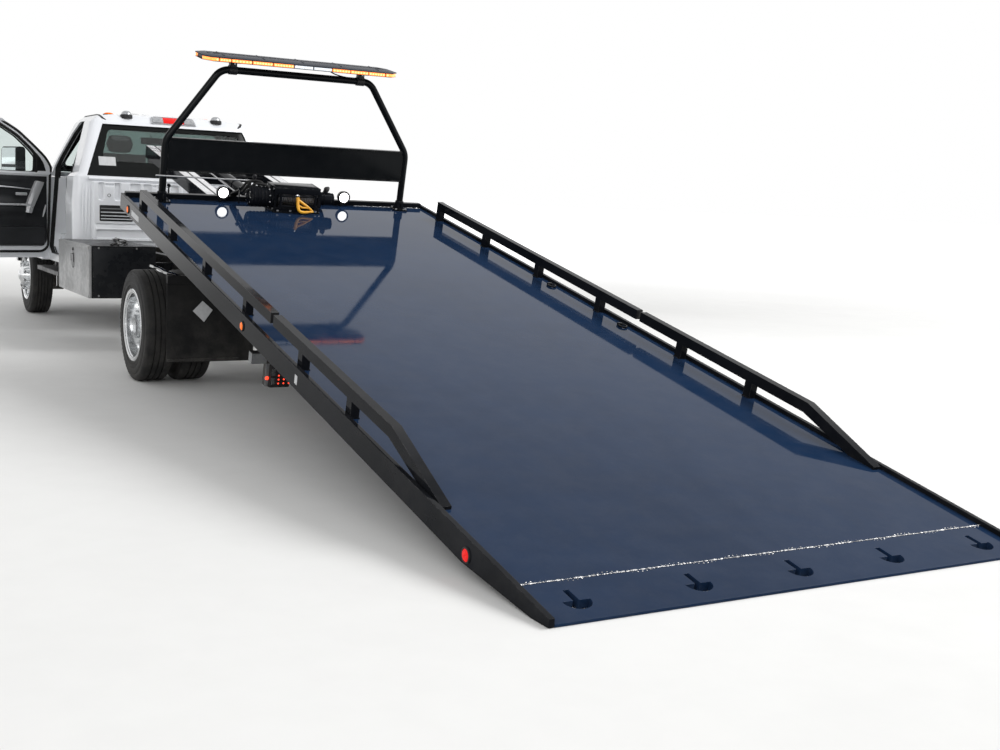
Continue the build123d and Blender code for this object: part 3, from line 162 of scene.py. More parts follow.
class Form:
    """A mesh under construction, in the metres of its placing."""

    def __init__(self, placing: Placing = LEVEL) -> None:
        """Starts an empty mesh.

        Args:
            placing: the frame of reference that its points are given in.
        """
        self.placing = placing
        self.bm = bmesh.new()

    def box(self, lo: Point, hi: Point, bevel: float = 0.0, steps: int = 2) -> "Form":
        """Adds a box between two corners, with rounded edges.

        Args:
            lo: one corner.
            hi: the opposite corner.
            bevel: radius of the edges.
            steps: faces across each edge.

        Returns:
            The form itself.
        """
        low = [min(a, b) for a, b in zip(lo, hi)]
        high = [max(a, b) for a, b in zip(lo, hi)]
        size = [max(b - a, 1e-4) for a, b in zip(low, high)]
        spot = Matrix.Translation([(a + b) / 2 for a, b in zip(low, high)])
        made = bmesh.ops.create_cube(self.bm, size=1.0, matrix=spot @ Matrix.Diagonal((*size, 1.0)))
        if bevel > 0:
            edges = list({e for v in made["verts"] for e in v.link_edges})
            reach = min(bevel, min(size) * 0.49)
            bmesh.ops.bevel(self.bm, geom=edges, offset=reach, segments=steps, profile=0.6,
                            affect="EDGES")
        return self

    def rings(self, loops: Sequence[Sequence[Point]], cap: bool = True, closed: bool = True,
              round_trip: bool = False) -> "Form":
        """Skins a row of loops that have equally many points.

        Args:
            loops: the loops, each a list of points.
            cap: whether the first and last loop are closed with a face.
            closed: whether each loop joins its own ends.
            round_trip: whether the last loop joins the first.

        Returns:
            The form itself.
        """
        rows = [[self.bm.verts.new(Vector(p)) for p in loop] for loop in loops]
        pairs = list(zip(rows, rows[1:])) + ([(rows[-1], rows[0])] if round_trip else [])
        count = len(rows[0])
        for one, two in pairs:
            for i in range(count if closed else count - 1):
                j = (i + 1) % count
                self.bm.faces.new((one[i], one[j], two[j], two[i]))
        if cap and closed and not round_trip:
            self.bm.faces.new(list(reversed(rows[0])))
            self.bm.faces.new(rows[-1])
        return self

    def tube(self, path: Sequence[Point], radius: float | Sequence[float], sides: int = 14,
             cap: bool = True) -> "Form":
        """Sweeps a circle along a path.

        Args:
            path: the points of its centre line.
            radius: one radius, or one for each point.
            sides: faces round it.
            cap: whether its ends are closed.

        Returns:
            The form itself.
        """
        pts = [Vector(p) for p in path]
        radii = [radius] * len(pts) if isinstance(radius, (int, float)) else list(radius)
        heading = (pts[1] - pts[0]).normalized()
        across = heading.orthogonal().normalized()
        loops = []
        for i, spot in enumerate(pts):
            before = (spot - pts[i - 1]).normalized() if i else heading
            after = (pts[i + 1] - spot).normalized() if i + 1 < len(pts) else before
            tangent = (before + after).normalized()
            across = (across - tangent * across.dot(tangent)).normalized()
            up = tangent.cross(across)
            widen = 1.0 / max(0.5, tangent.dot(before))
            loops.append([spot + (across * math.cos(t) + up * math.sin(t) * widen) * radii[i]
                          for t in angles(sides)])
        return self.rings(loops, cap=cap)

    def lathe(self, profile: Sequence[Point], centre: Point, axis: Point = (0, 1, 0),
              sides: int = 48, close: bool = True) -> "Form":
        """Turns a profile about an axis.

        Args:
            profile: points of (radius, distance along the axis).
            centre: a point on the axis, where the distance is nought.
            axis: direction of the axis.
            sides: faces round it.
            close: whether the profile is a closed outline.

        Returns:
            The form itself.
        """
        way = Vector(axis).normalized()
        across = way.orthogonal().normalized()
        up = way.cross(across)
        loops = []
        for t in angles(sides):
            out = across * math.cos(t) + up * math.sin(t)
            loops.append([Vector(centre) + out * max(r, 1e-5) + way * d for r, d in profile])
        return self.rings(loops, cap=False, closed=close, round_trip=True)

    def prism(self, outline: Sequence[tuple[float, float]], lift: Callable[[float, float, float], Point],
              start: float, end: float, bevel: float = 0.0) -> "Form":
        """Stretches a flat outline between two depths.

        Args:
            outline: points of the outline.
            lift: gives the place of (first, second, depth).
            start: first depth.
            end: last depth.
            bevel: radius of the edges round both ends.

        Returns:
            The form itself.
        """
        before = set(self.bm.edges)
        self.rings([[lift(a, b, d) for a, b in outline] for d in (start, end)])
        if bevel > 0:
            fresh = [e for e in self.bm.edges if e not in before]
            bmesh.ops.bevel(self.bm, geom=fresh, offset=bevel, segments=2, profile=0.6, affect="EDGES")
        return self

    def slab(self, spot: Callable[[float, float], Point], columns: int, rows: int,
             thickness: float = 0.0) -> "Form":
        """Adds a sheet from a rule for its points, with a thickness if one is given.

        Args:
            spot: gives the place for two values from 0 to 1.
            columns: faces along the first value.
            rows: faces along the second value.
            thickness: distance of its back from its front.

        Returns:
            The form itself.
        """
        net = [[self.bm.verts.new(Vector(spot(i / columns, j / rows))) for j in range(rows + 1)]
               for i in range(columns + 1)]
        faces = [self.bm.faces.new((net[i][j], net[i + 1][j], net[i + 1][j + 1], net[i][j + 1]))
                 for i in range(columns) for j in range(rows)]
        if thickness:
            for face in faces:
                face.normal_update()
            bmesh.ops.solidify(self.bm, geom=faces, thickness=thickness)
        return self

    def object(self, name: str, fold: float = 32.0) -> bpy.types.Object:
        """Turns the form into a scene object with smooth faces and sharp folds.

        Args:
            name: the object's name.
            fold: angle in degrees past which an edge stays sharp.

        Returns:
            The object, at the origin, with its place in its mesh.
        """
        bmesh.ops.remove_doubles(self.bm, verts=self.bm.verts, dist=2e-6)
        self.bm.transform(self.placing.matrix)
        bmesh.ops.recalc_face_normals(self.bm, faces=self.bm.faces)
        smooth_faces(self.bm, fold)
        mesh = bpy.data.meshes.new(name)
        self.bm.to_mesh(mesh)
        self.bm.free()
        item = bpy.data.objects.new(name, mesh)
        bpy.context.collection.objects.link(item)
        return item


def smooth_faces(bm: bmesh.types.BMesh, fold: float) -> None:
    """Smooths all faces and keeps the folds between them past an angle sharp.

    Args:
        bm: the mesh under construction.
        fold: the angle, in degrees.
    """
    limit = math.radians(fold)
    for face in bm.faces:
        face.smooth = True
    for edge in bm.edges:
        edge.smooth = len(edge.link_faces) == 2 and edge.calc_face_angle(0.0) < limit


def rounded(before: Vector, corner: Vector, after: Vector, radius: float, steps: int) -> list[Vector]:
    """Points of a round in place of one corner.

    Args:
        before: the point ahead of the corner.
        corner: the corner.
        after: the point past it.
        radius: how far the corner is cut back, short of half of either side.
        steps: faces on the round.

    Returns:
        The points, from the side of the first one.
    """
    one, two = (corner + (end - corner).normalized() * min(radius, (end - corner).length * 0.49)
                for end in (before, after))
    return [one.lerp(corner, t).lerp(corner.lerp(two, t), t) for t in (k / steps for k in range(steps + 1))]


def bent(points: Sequence[Point], radius: float, steps: int = 6) -> list[Vector]:
    """Rounds the corners of a path.

    Args:
        points: its corners and ends.
        radius: how far each corner is cut back.
        steps: points on each round.

    Returns:
        The points of the rounded path.
    """
    pts = [Vector(p) for p in points]
    path = [pts[0]]
    for before, corner, after in zip(pts, pts[1:], pts[2:]):
        path += rounded(before, corner, after, radius, steps)
    return path + [pts[-1]]


def offset(outline: Sequence[Pair], by: float) -> list[Pair]:
    """Moves a closed outline out on all sides.

    Args:
        outline: its corners.
        by: how far, or inwards if it is less than nought.

    Returns:
        The corners of the moved outline.
    """
    count = len(outline)
    area = sum(outline[i - 1][0] * outline[i][1] - outline[i][0] * outline[i - 1][1] for i in range(count))
    turn = math.copysign(1.0, area)
    moved = []
    for i in range(count):
        before, corner, after = (Vector(outline[(i + d) % count]) for d in (-1, 0, 1))
        one, two = (corner - before).normalized(), (after - corner).normalized()
        way = Vector((one.y + two.y, -one.x - two.x)).normalized()
        reach = by / max(0.4, way.dot(Vector((one.y, -one.x))))
        moved.append((corner.x + way.x * reach * turn, corner.y + way.y * reach * turn))
    return moved


def angles(count: int, first: float = 0.0) -> list[float]:
    """Angles that share a full turn evenly, from a first one given in shares."""
    return [2 * math.pi * (k + first) / count for k in range(count)]


def ellipse(wide: float, high: float, count: int) -> list[Pair]:
    """Points of an ellipse with its two radii."""
    return [(wide * math.cos(t), high * math.sin(t)) for t in angles(count)]


def trapezium(low_half: float, low: float, high_half: float, high: float) -> list[Pair]:
    """Corners of (y, z) of a symmetric window-like outline."""
    return [(-low_half, low), (low_half, low), (high_half, high), (-high_half, high)]


def closed(outline: Sequence[Pair]) -> list[Pair]:
    """An outline with its first corner again at its end."""
    return [*outline, outline[0]]


def flat_xz(a: float, b: float, d: float) -> Point:
    """Puts an outline of (x, z) at a depth along Y."""
    return (a, d, b)


def flat_yz(a: float, b: float, d: float) -> Point:
    """Puts an outline of (y, z) at a depth along X."""
    return (d, a, b)


class Graph:
    """Short ways to add and link shader nodes in one tree."""

    def __init__(self, tree: bpy.types.NodeTree) -> None:
        """Keeps the tree that the nodes go into."""
        self.tree = tree

    def add(self, kind: str, **settings: object) -> bpy.types.Node:
        """Adds a node of a kind with its settings.

        Args:
            kind: the node's type.
            settings: the node's properties.

        Returns:
            The node.
        """
        node = self.tree.nodes.new(kind)
        for key, value in settings.items():
            setattr(node, key, value)
        return node

    def put(self, socket: bpy.types.NodeSocket, value: object) -> None:
        """Links a socket to another, or writes a constant on it.

        Args:
            socket: the input that takes it.
            value: a socket, or a constant.
        """
        if isinstance(value, bpy.types.NodeSocket):
            self.tree.links.new(value, socket)
        elif isinstance(value, tuple) and len(value) == 3 and socket.type == "RGBA":
            socket.default_value = (*value, 1.0)
        else:
            socket.default_value = value

    def calc(self, operation: str, a: object, b: object = 0.0, clamp: bool = False) -> bpy.types.NodeSocket:
        """Result of a Math node.

        Args:
            operation: the operation's name.
            a: first operand.
            b: second operand.
            clamp: whether the result is kept from 0 to 1.

        Returns:
            The node's output.
        """
        node = self.add("ShaderNodeMath", operation=operation, use_clamp=clamp)
        self.put(node.inputs[0], a)
        self.put(node.inputs[1], b)
        return node.outputs[0]

    def span(self, value: object, low: float, high: float, to_low: object = 0.0,
             to_high: object = 1.0) -> bpy.types.NodeSocket:
        """Smooth step of a value between two limits.

        Args:
            value: a socket, or a constant.
            low: the lower limit.
            high: the upper limit.
            to_low: result at the lower limit.
            to_high: result at the upper limit.

        Returns:
            The node's output.
        """
        node = self.add("ShaderNodeMapRange", interpolation_type="SMOOTHSTEP")
        for i, item in enumerate((value, low, high, to_low, to_high)):
            self.put(node.inputs[i], item)
        return node.outputs[0]

    def mix(self, share: object, one: object, two: object) -> bpy.types.NodeSocket:
        """Colour between two colours.

        Args:
            share: share of the second colour.
            one: first colour.
            two: second colour.

        Returns:
            The node's output.
        """
        node = self.add("ShaderNodeMix", data_type="RGBA")
        self.put(node.inputs[0], share)
        self.put(node.inputs[6], one)
        self.put(node.inputs[7], two)
        return node.outputs[2]

    def noise(self, vector: object, scale: object, detail: float = 4.0,
              roughness: float = 0.55) -> bpy.types.NodeSocket:
        """Fractal noise from 0 to 1.

        Args:
            vector: the place that it is worked out at.
            scale: its scale, per metre.
            detail: number of finer layers.
            roughness: strength of the finer layers.

        Returns:
            The node's output.
        """
        node = self.add("ShaderNodeTexNoise")
        self.put(node.inputs["Vector"], vector)
        self.put(node.inputs["Scale"], scale)
        node.inputs["Detail"].default_value = detail
        node.inputs["Roughness"].default_value = roughness
        return node.outputs["Fac"]

    def stretch(self, vector: object, factors: object) -> bpy.types.NodeSocket:
        """A vector multiplied part by part.

        Args:
            vector: the place that it is worked out at.
            factors: a factor for each part.

        Returns:
            The node's output.
        """
        node = self.add("ShaderNodeVectorMath", operation="MULTIPLY")
        self.put(node.inputs[0], vector)
        self.put(node.inputs[1], factors)
        return node.outputs[0]


def shader_group(name: str, takes: dict[str, object], gives: Sequence[str],
                 build: Callable[[Graph, dict, dict], None]) -> bpy.types.NodeTree:
    """Makes a shader node group.

    Args:
        name: its name.
        takes: input names with a default number, or a tuple for a vector.
        gives: names of the number outputs.
        build: fills the group from its input sockets and output sockets.

    Returns:
        The group's node tree.
    """
    tree = bpy.data.node_groups.new(name, "ShaderNodeTree")
    for key, value in takes.items():
        kind = "NodeSocketVector" if isinstance(value, tuple) else "NodeSocketFloat"
        tree.interface.new_socket(name=key, in_out="INPUT", socket_type=kind).default_value = value
    for key in gives:
        tree.interface.new_socket(name=key, in_out="OUTPUT", socket_type="NodeSocketFloat")
    graph = Graph(tree)
    start = graph.add("NodeGroupInput")
    end = graph.add("NodeGroupOutput")
    build(graph, {k: start.outputs[k] for k in takes}, {k: end.inputs[k] for k in gives})
    return tree


def _mottle(g: Graph, i: dict, o: dict) -> None:
    """Large soft patches broken by smaller ones.

    Args:
        g: the graph of the tree.
        i: the group's input sockets by name.
        o: the group's output sockets by name.
    """
    wide = g.noise(i["Vector"], i["Scale"], 3.0)
    fine = g.noise(i["Vector"], g.calc("MULTIPLY", i["Scale"], 9.0), 5.0)
    blend = g.calc("ADD", g.calc("MULTIPLY", wide, 0.65), g.calc("MULTIPLY", fine, 0.35))
    g.put(o["Patches"], g.span(blend, 0.36, 0.66))


def _dust(g: Graph, i: dict, o: dict) -> None:
    """Settled on faces that look up, and thrown up low on the truck.

    Args:
        g: the graph of the tree.
        i: the group's input sockets by name.
        o: the group's output sockets by name.
    """
    split = g.add("ShaderNodeSeparateXYZ")
    g.put(split.inputs[0], g.add("ShaderNodeNewGeometry").outputs["Normal"])
    up = g.span(split.outputs[2], 0.2, 0.95)
    place = g.add("ShaderNodeSeparateXYZ")
    g.put(place.inputs[0], i["Vector"])
    low = g.span(place.outputs[2], 0.1, 0.9, 1.0, 0.0)
    reach = g.calc("MAXIMUM", g.calc("MULTIPLY", up, 0.7), g.calc("MULTIPLY", low, 0.8))
    cloud = g.noise(i["Vector"], 7.0, 7.0, 0.62)
    speck = g.noise(i["Vector"], 60.0, 3.0)
    veil = g.calc("MULTIPLY", g.span(cloud, 0.3, 0.75), g.span(speck, 0.2, 0.6, 0.6, 1.0))
    g.put(o["Mask"], g.calc("MULTIPLY", g.calc("MULTIPLY", veil, reach), i["Amount"], clamp=True))


def _wear(g: Graph, i: dict, o: dict) -> None:
    """Rubbed corners, broken up by noise.

    Args:
        g: the graph of the tree.
        i: the group's input sockets by name.
        o: the group's output sockets by name.
    """
    round_off = g.add("ShaderNodeBevel", samples=4)
    g.put(round_off.inputs["Radius"], i["Radius"])
    dot = g.add("ShaderNodeVectorMath", operation="DOT_PRODUCT")
    g.put(dot.inputs[0], round_off.outputs[0])
    g.put(dot.inputs[1], g.add("ShaderNodeNewGeometry").outputs["Normal"])
    edge = g.span(dot.outputs["Value"], 0.80, 0.985, 1.0, 0.0)
    broken = g.span(g.noise(i["Vector"], 22.0, 6.0, 0.65), 0.42, 0.62)
    g.put(o["Mask"], g.calc("MULTIPLY", g.calc("MULTIPLY", edge, broken), i["Amount"], clamp=True))


def _scratches(g: Graph, i: dict, o: dict) -> None:
    """Fine lines drawn out along the stretched direction.

    Args:
        g: the graph of the tree.
        i: the group's input sockets by name.
        o: the group's output sockets by name.
    """
    lines = g.noise(g.stretch(i["Vector"], i["Stretch"]), 1.0, 2.0)
    patches = g.span(g.noise(i["Vector"], 2.2, 3.0), 0.45, 0.7)
    thin = g.span(lines, 0.66, 0.70)
    g.put(o["Mask"], g.calc("MULTIPLY", g.calc("MULTIPLY", thin, patches), i["Amount"], clamp=True))


def _grain(g: Graph, i: dict, o: dict) -> None:
    """Height of a fine skin, such as moulded plastic, cast metal or brushing."""
    coarse = g.noise(g.stretch(i["Vector"], i["Stretch"]), i["Scale"], 3.0)
    g.put(o["Height"], g.calc("MULTIPLY", coarse, i["Depth"]))


GROUPS = {
    "mottle": shader_group("mottle", {"Vector": (0.0, 0.0, 0.0), "Scale": 3.0}, ("Patches",), _mottle),
    "dust": shader_group("dust_film", {"Vector": (0.0, 0.0, 0.0), "Amount": 0.5}, ("Mask",), _dust),
    "wear": shader_group("edge_wear", {"Vector": (0.0, 0.0, 0.0), "Radius": 0.004, "Amount": 0.5},
                         ("Mask",), _wear),
    "scratches": shader_group("scratches", {"Vector": (0.0, 0.0, 0.0), "Stretch": (4.0, 200.0, 200.0),
                                            "Amount": 0.5}, ("Mask",), _scratches),
    "grain": shader_group("skin_grain", {"Vector": (0.0, 0.0, 0.0), "Stretch": (1.0, 1.0, 1.0),
                                         "Scale": 400.0, "Depth": 1.0}, ("Height",), _grain),
}


class Weave(Enum):
    """Pattern that a finish carries besides its grain."""

    NONE = 0
    CLOTH = 1
    CHECKER_TREAD = 2
    STRANDS = 3


@dataclass(frozen=True)
class Finish:
    """One finish of the truck: its colours, gloss, texture, dust and wear.

    Attributes:
        name: the material's name.
        slot: the record's slot for this finish; not used.
        base: main colour.
        shade: colour that it drifts to in patches.
        rough: roughness.
        metal: how metallic it is.
        ior: index of refraction of its surface.
        coat: weight of a clear coat.
        mottle: size of the patches, per metre.
        spread: change of roughness between patches.
        grain: size of the fine texture, per metre.
        depth: height of the fine texture, in metres.
        lay: stretch of the fine texture along X, Y and Z.
        dust: amount of settled dust.
        wear: amount of rubbed edges.
        wear_rgb: colour under the rubbed edges.
        scuffs: amount of fine scratches.
        clear: share of light that goes through.
        glow: strength of its own light.
        weave: pattern that it carries.
    """

    name: str
    slot: Slot
    base: Rgb
    shade: Rgb
    rough: float
    metal: float = 0.0
    ior: float = 1.5
    coat: float = 0.0
    mottle: float = 3.0
    spread: float = 0.06
    grain: float = 0.0
    depth: float = 0.0
    lay: Rgb = (1.0, 1.0, 1.0)
    dust: float = 0.0
    wear: float = 0.0
    wear_rgb: Rgb = (0.32, 0.30, 0.28)
    scuffs: float = 0.0
    clear: float = 0.0
    glow: float = 0.0
    weave: Weave = Weave.NONE

    def material(self) -> bpy.types.Material:
        """The finish as a material, made once."""
        done = bpy.data.materials.get(self.name)
        return done if done else self._make()

    def _group(self, g: Graph, key: str, vector: bpy.types.NodeSocket,
               **values: object) -> bpy.types.NodeSocket:
        """Places a shared effect with this finish's own values.

        Args:
            g: the graph of the tree.
            key: the effect's name.
            vector: the place that it is worked out at.
            values: the effect's own inputs.

        Returns:
            The effect's output.
        """
        node = g.add("ShaderNodeGroup")
        node.node_tree = GROUPS[key]
        g.put(node.inputs["Vector"], vector)
        for name, value in values.items():
            g.put(node.inputs[name], value)
        return node.outputs[0]

    def _height(self, g: Graph, spot: bpy.types.NodeSocket) -> bpy.types.NodeSocket | None:
        """Height of the fine texture and of the pattern, in metres.

        Args:
            g: the graph of the tree.
            spot: the place in Object coordinates.

        Returns:
            The height, or None where the finish is smooth.
        """
        if self.weave is Weave.CLOTH:
            waves = []
            for way in ("X", "Y"):
                wave = g.add("ShaderNodeTexWave", bands_direction=way)
                g.put(wave.inputs["Vector"], spot)
                wave.inputs["Scale"].default_value = self.grain
                waves.append(wave.outputs["Fac"])
            return g.calc("MULTIPLY", g.calc("MULTIPLY", waves[0], waves[1]), self.depth)
        if self.weave is Weave.STRANDS:
            wave = g.add("ShaderNodeTexWave", bands_direction="DIAGONAL")
            g.put(wave.inputs["Vector"], spot)
            wave.inputs["Scale"].default_value = self.grain
            return g.calc("MULTIPLY", wave.outputs["Fac"], self.depth)
        if self.weave is Weave.CHECKER_TREAD:
            cells = g.add("ShaderNodeTexVoronoi")
            g.put(cells.inputs["Vector"], spot)
            cells.inputs["Scale"].default_value = self.grain
            return g.calc("MULTIPLY", g.span(cells.outputs["Distance"], 0.2, 0.5, 1.0, 0.0), self.depth)
        if self.grain:
            return self._group(g, "grain", spot, Stretch=self.lay, Scale=self.grain, Depth=self.depth)
        return None

    def _make(self) -> bpy.types.Material:
        """Builds the material's nodes.

        Returns:
            The material.
        """
        material = bpy.data.materials.new(self.name)
        material.use_nodes = True
        material.diffuse_color = (*self.base, 1.0)
        tree = material.node_tree
        g = Graph(tree)
        shader = next(n for n in tree.nodes if n.type == "BSDF_PRINCIPLED")
        spot = g.add("ShaderNodeTexCoord").outputs["Object"]
        patches = self._group(g, "mottle", spot, Scale=self.mottle)
        colour = g.mix(patches, self.base, self.shade)
        rough = g.span(patches, 0.0, 1.0, max(0.0, self.rough - self.spread / 2),
                       self.rough + self.spread / 2)
        metal: object = self.metal
        if self.scuffs:
            mask = self._group(g, "scratches", spot, Amount=self.scuffs)
            rough = g.calc("ADD", rough, g.calc("MULTIPLY", mask, 0.25), clamp=True)
            colour = g.mix(g.calc("MULTIPLY", mask, 0.35), colour, (0.30, 0.31, 0.33))
        if self.wear:
            mask = self._group(g, "wear", spot, Amount=self.wear)
            colour = g.mix(mask, colour, self.wear_rgb)
            rough = g.calc("ADD", rough, g.calc("MULTIPLY", mask, 0.3), clamp=True)
        if self.dust:
            mask = self._group(g, "dust", spot, Amount=self.dust)
            colour = g.mix(mask, colour, (0.36, 0.34, 0.31))
            rough = g.calc("ADD", rough, g.calc("MULTIPLY", mask, 0.5), clamp=True)
            if self.metal:
                metal = g.calc("SUBTRACT", self.metal, mask, clamp=True)
        g.put(shader.inputs["Base Color"], colour)
        g.put(shader.inputs["Roughness"], rough)
        g.put(shader.inputs["Metallic"], metal)
        shader.inputs["IOR"].default_value = self.ior
        shader.inputs["Coat Weight"].default_value = self.coat
        shader.inputs["Coat Roughness"].default_value = 0.04
        shader.inputs["Transmission Weight"].default_value = self.clear
        height = self._height(g, spot)
        if height is not None:
            bump = g.add("ShaderNodeBump")
            bump.inputs["Distance"].default_value = 1.0
            g.put(bump.inputs["Height"], height)
            g.put(shader.inputs["Normal"], bump.outputs["Normal"])
        if self.glow:
            g.put(shader.inputs["Emission Color"], g.mix(patches, self.base, self.shade))
            shader.inputs["Emission Strength"].default_value = self.glow
        return material


# Gloss black deck paint whose base is tinted navy as a painted reflection of a blue sky.
DECK_PAINT_WITH_SKY = Finish("deck_black_painted_sky_reflection", Slot.GLOSS_BLACK, (0.008, 0.022, 0.056), (0.010, 0.027, 0.068), 0.040,
                    ior=1.13, mottle=0.7, spread=0.03, scuffs=0.10, dust=0.03)
BLACK_PAINT = Finish("rail_gloss_black", Slot.GLOSS_BLACK, (0.006, 0.007, 0.009), (0.009, 0.010, 0.013),
                     0.070, ior=1.12, mottle=2.0, wear=0.45, wear_rgb=(0.16, 0.16, 0.16), dust=0.03,
                     scuffs=0.08)
BOARD_PAINT = Finish("board_black", Slot.GLOSS_BLACK, (0.004, 0.005, 0.006), (0.007, 0.008, 0.009), 0.14,
                     ior=1.20, mottle=1.4, wear=0.35, dust=0.03)
FRAME_PAINT = Finish("frame_black_paint", Slot.FRAME_BLACK, (0.010, 0.010, 0.011), (0.018, 0.018, 0.018),
                     0.34, ior=1.30, mottle=2.6, spread=0.14, wear=0.5, dust=0.20, grain=260.0,
                     depth=0.00006)
BOX_PAINT = Finish("box_black", Slot.FRAME_BLACK, (0.008, 0.009, 0.011), (0.013, 0.014, 0.016), 0.30,
                   ior=1.30, mottle=2.2, spread=0.12, wear=0.4, dust=0.08, grain=420.0, depth=0.00004)
WHITE_PAINT = Finish("cab_white", Slot.WHITE, (0.83, 0.85, 0.88), (0.79, 0.81, 0.85), 0.22,
                     coat=0.6, mottle=1.2, spread=0.05, dust=0.10)
TYRE_RUBBER = Finish("tyre_rubber", Slot.TYRE, (0.009, 0.009, 0.010), (0.016, 0.016, 0.016), 0.66,
                     ior=1.34, mottle=5.0, spread=0.12, grain=500.0, depth=0.00012, dust=0.14)
ALLOY = Finish("polished_alloy", Slot.ALLOY, (0.50, 0.51, 0.53), (0.40, 0.41, 0.43), 0.09, metal=1.0,
               mottle=8.0, spread=0.07, grain=900.0, depth=0.000012, dust=0.10)
CHROME = Finish("chrome_plate", Slot.CHROME, (0.74, 0.75, 0.76), (0.66, 0.67, 0.68), 0.045, metal=1.0,
                mottle=5.0, spread=0.03, dust=0.05)
BRUSHED = Finish("brushed_alloy_sheet", Slot.BRUSHED, (0.60, 0.61, 0.63), (0.50, 0.51, 0.53), 0.34, metal=1.0,
                 mottle=2.8, spread=0.14, grain=2.0, depth=0.00006, lay=(6.0, 300.0, 420.0), scuffs=0.5,
                 dust=0.18)
GLASS = Finish("window_glass", Slot.GLASS, (0.72, 0.80, 0.78), (0.68, 0.76, 0.74), 0.0, ior=1.45,
               clear=1.0, mottle=0.8, spread=0.0)
# Dark tint for a sheet inside the rear pane: painted shade of the cab's inside seen through the glass.
REAR_SHADE_TINT = Finish("rear_window_painted_shade_tint", Slot.GLASS, (0.17, 0.23, 0.22), (0.15, 0.21, 0.20), 0.0, ior=1.02,
                    clear=1.0, mottle=0.8, spread=0.0)
RUBBER = Finish("black_rubber", Slot.RUBBER, (0.007, 0.007, 0.008), (0.012, 0.012, 0.012), 0.55,
                ior=1.34, mottle=6.0, grain=700.0, depth=0.00008, dust=0.08)
FLAP_RUBBER = Finish("flap_rubber", Slot.RUBBER, (0.008, 0.008, 0.009), (0.013, 0.013, 0.013), 0.50,
                     ior=1.30, mottle=3.0, grain=300.0, depth=0.0001, dust=0.12)
CAST = Finish("cast_iron_parts", Slot.CAST, (0.050, 0.048, 0.046), (0.095, 0.080, 0.066), 0.66, metal=0.35,
              mottle=6.0, spread=0.2, grain=220.0, depth=0.0003, dust=0.4)
STEEL = Finish("bare_steel", Slot.STEEL, (0.34, 0.34, 0.35), (0.22, 0.22, 0.22), 0.33, metal=1.0,
               mottle=9.0, spread=0.16, grain=400.0, depth=0.00004, dust=0.15)
WELD = Finish("weld_metal", Slot.STEEL, (0.78, 0.78, 0.78), (0.10, 0.10, 0.11), 0.26, metal=1.0,
              mottle=90.0, spread=0.25, grain=600.0, depth=0.0004)
ROPE = Finish("wire_rope", Slot.STEEL, (0.30, 0.30, 0.31), (0.16, 0.15, 0.14), 0.42, metal=0.9,
              mottle=14.0, spread=0.2, grain=160.0, depth=0.0008, weave=Weave.STRANDS)
PLASTIC = Finish("black_moulding", Slot.PLASTIC, (0.009, 0.009, 0.010), (0.014, 0.014, 0.016), 0.44,
                 ior=1.36, mottle=4.0, grain=900.0, depth=0.0001, dust=0.05)
TRIM = Finish("cab_trim_dark", Slot.TRIM, (0.014, 0.015, 0.017), (0.022, 0.023, 0.026), 0.50,
              ior=1.38, mottle=4.0, grain=700.0, depth=0.00018)
TRIM_GREY = Finish("cab_trim_grey", Slot.TRIM, (0.16, 0.165, 0.17), (0.20, 0.205, 0.21), 0.55,
                   mottle=3.0, grain=700.0, depth=0.00015)
SILVER_TRIM = Finish("satin_silver_trim", Slot.TRIM, (0.62, 0.63, 0.65), (0.55, 0.56, 0.58), 0.30, metal=0.35,
                     mottle=4.0, grain=1200.0, depth=0.00002)
CLOTH = Finish("seat_weave", Slot.CLOTH, (0.045, 0.046, 0.050), (0.075, 0.076, 0.080), 0.88, mottle=10.0,
               grain=420.0, depth=0.0006, weave=Weave.CLOTH)
MAT = Finish("floor_mat", Slot.RUBBER, (0.020, 0.020, 0.021), (0.030, 0.030, 0.030), 0.8, mottle=5.0,
             grain=90.0, depth=0.0012, weave=Weave.CHECKER_TREAD, dust=0.2)
STEP_GRIP = Finish("step_grip", Slot.BRUSHED, (0.10, 0.10, 0.105), (0.07, 0.07, 0.075), 0.45, metal=0.5,
                   mottle=6.0, spread=0.15, grain=70.0, depth=0.0015, weave=Weave.CHECKER_TREAD, dust=0.2)
CLEAR_LENS = Finish("clear_lens", Slot.CLEAR, (0.92, 0.94, 0.95), (0.88, 0.90, 0.92), 0.03, clear=0.92,
                    mottle=3.0, spread=0.0)
RED_LENS = Finish("red_lens", Slot.RED, (0.62, 0.008, 0.006), (0.40, 0.004, 0.004), 0.16, ior=1.25,
                  mottle=110.0, glow=0.75, grain=260.0, depth=0.0002)
RED_LED = Finish("red_led", Slot.RED, (1.0, 0.035, 0.012), (1.0, 0.07, 0.03), 0.2, mottle=40.0, glow=2.2)
AMBER_LENS = Finish("amber_lens", Slot.AMBER, (0.88, 0.17, 0.006), (0.60, 0.09, 0.004), 0.16, ior=1.25,
                    mottle=110.0, glow=0.65, grain=260.0, depth=0.0002)
AMBER_LED = Finish("amber_led", Slot.AMBER, (1.0, 0.19, 0.035), (1.0, 0.28, 0.07), 0.2, mottle=60.0, glow=2.2)
AMBER_HOT = Finish("amber_led_core", Slot.AMBER, (1.0, 0.36, 0.13), (1.0, 0.44, 0.20), 0.2, mottle=60.0,
                   glow=2.4)
WHITE_LED = Finish("white_led", Slot.CLEAR, (0.80, 0.84, 0.88), (0.70, 0.75, 0.80), 0.2, mottle=60.0,
                   glow=0.5)
WORK_LIGHT = Finish("work_light", Slot.CLEAR, (1.0, 1.0, 0.98), (1.0, 0.98, 0.94), 0.2, mottle=60.0, glow=6.0)
SMOKED = Finish("dark_cover", Slot.PLASTIC, (0.040, 0.044, 0.055), (0.055, 0.060, 0.072), 0.30, ior=1.06,
                mottle=3.0, dust=0.05)
HOOK_PAINT = Finish("hook_yellow", Slot.YELLOW, (0.86, 0.44, 0.02), (0.78, 0.36, 0.02), 0.36, mottle=24.0,
                    spread=0.2, wear=0.9, wear_rgb=(0.33, 0.31, 0.29), grain=500.0, depth=0.0001)
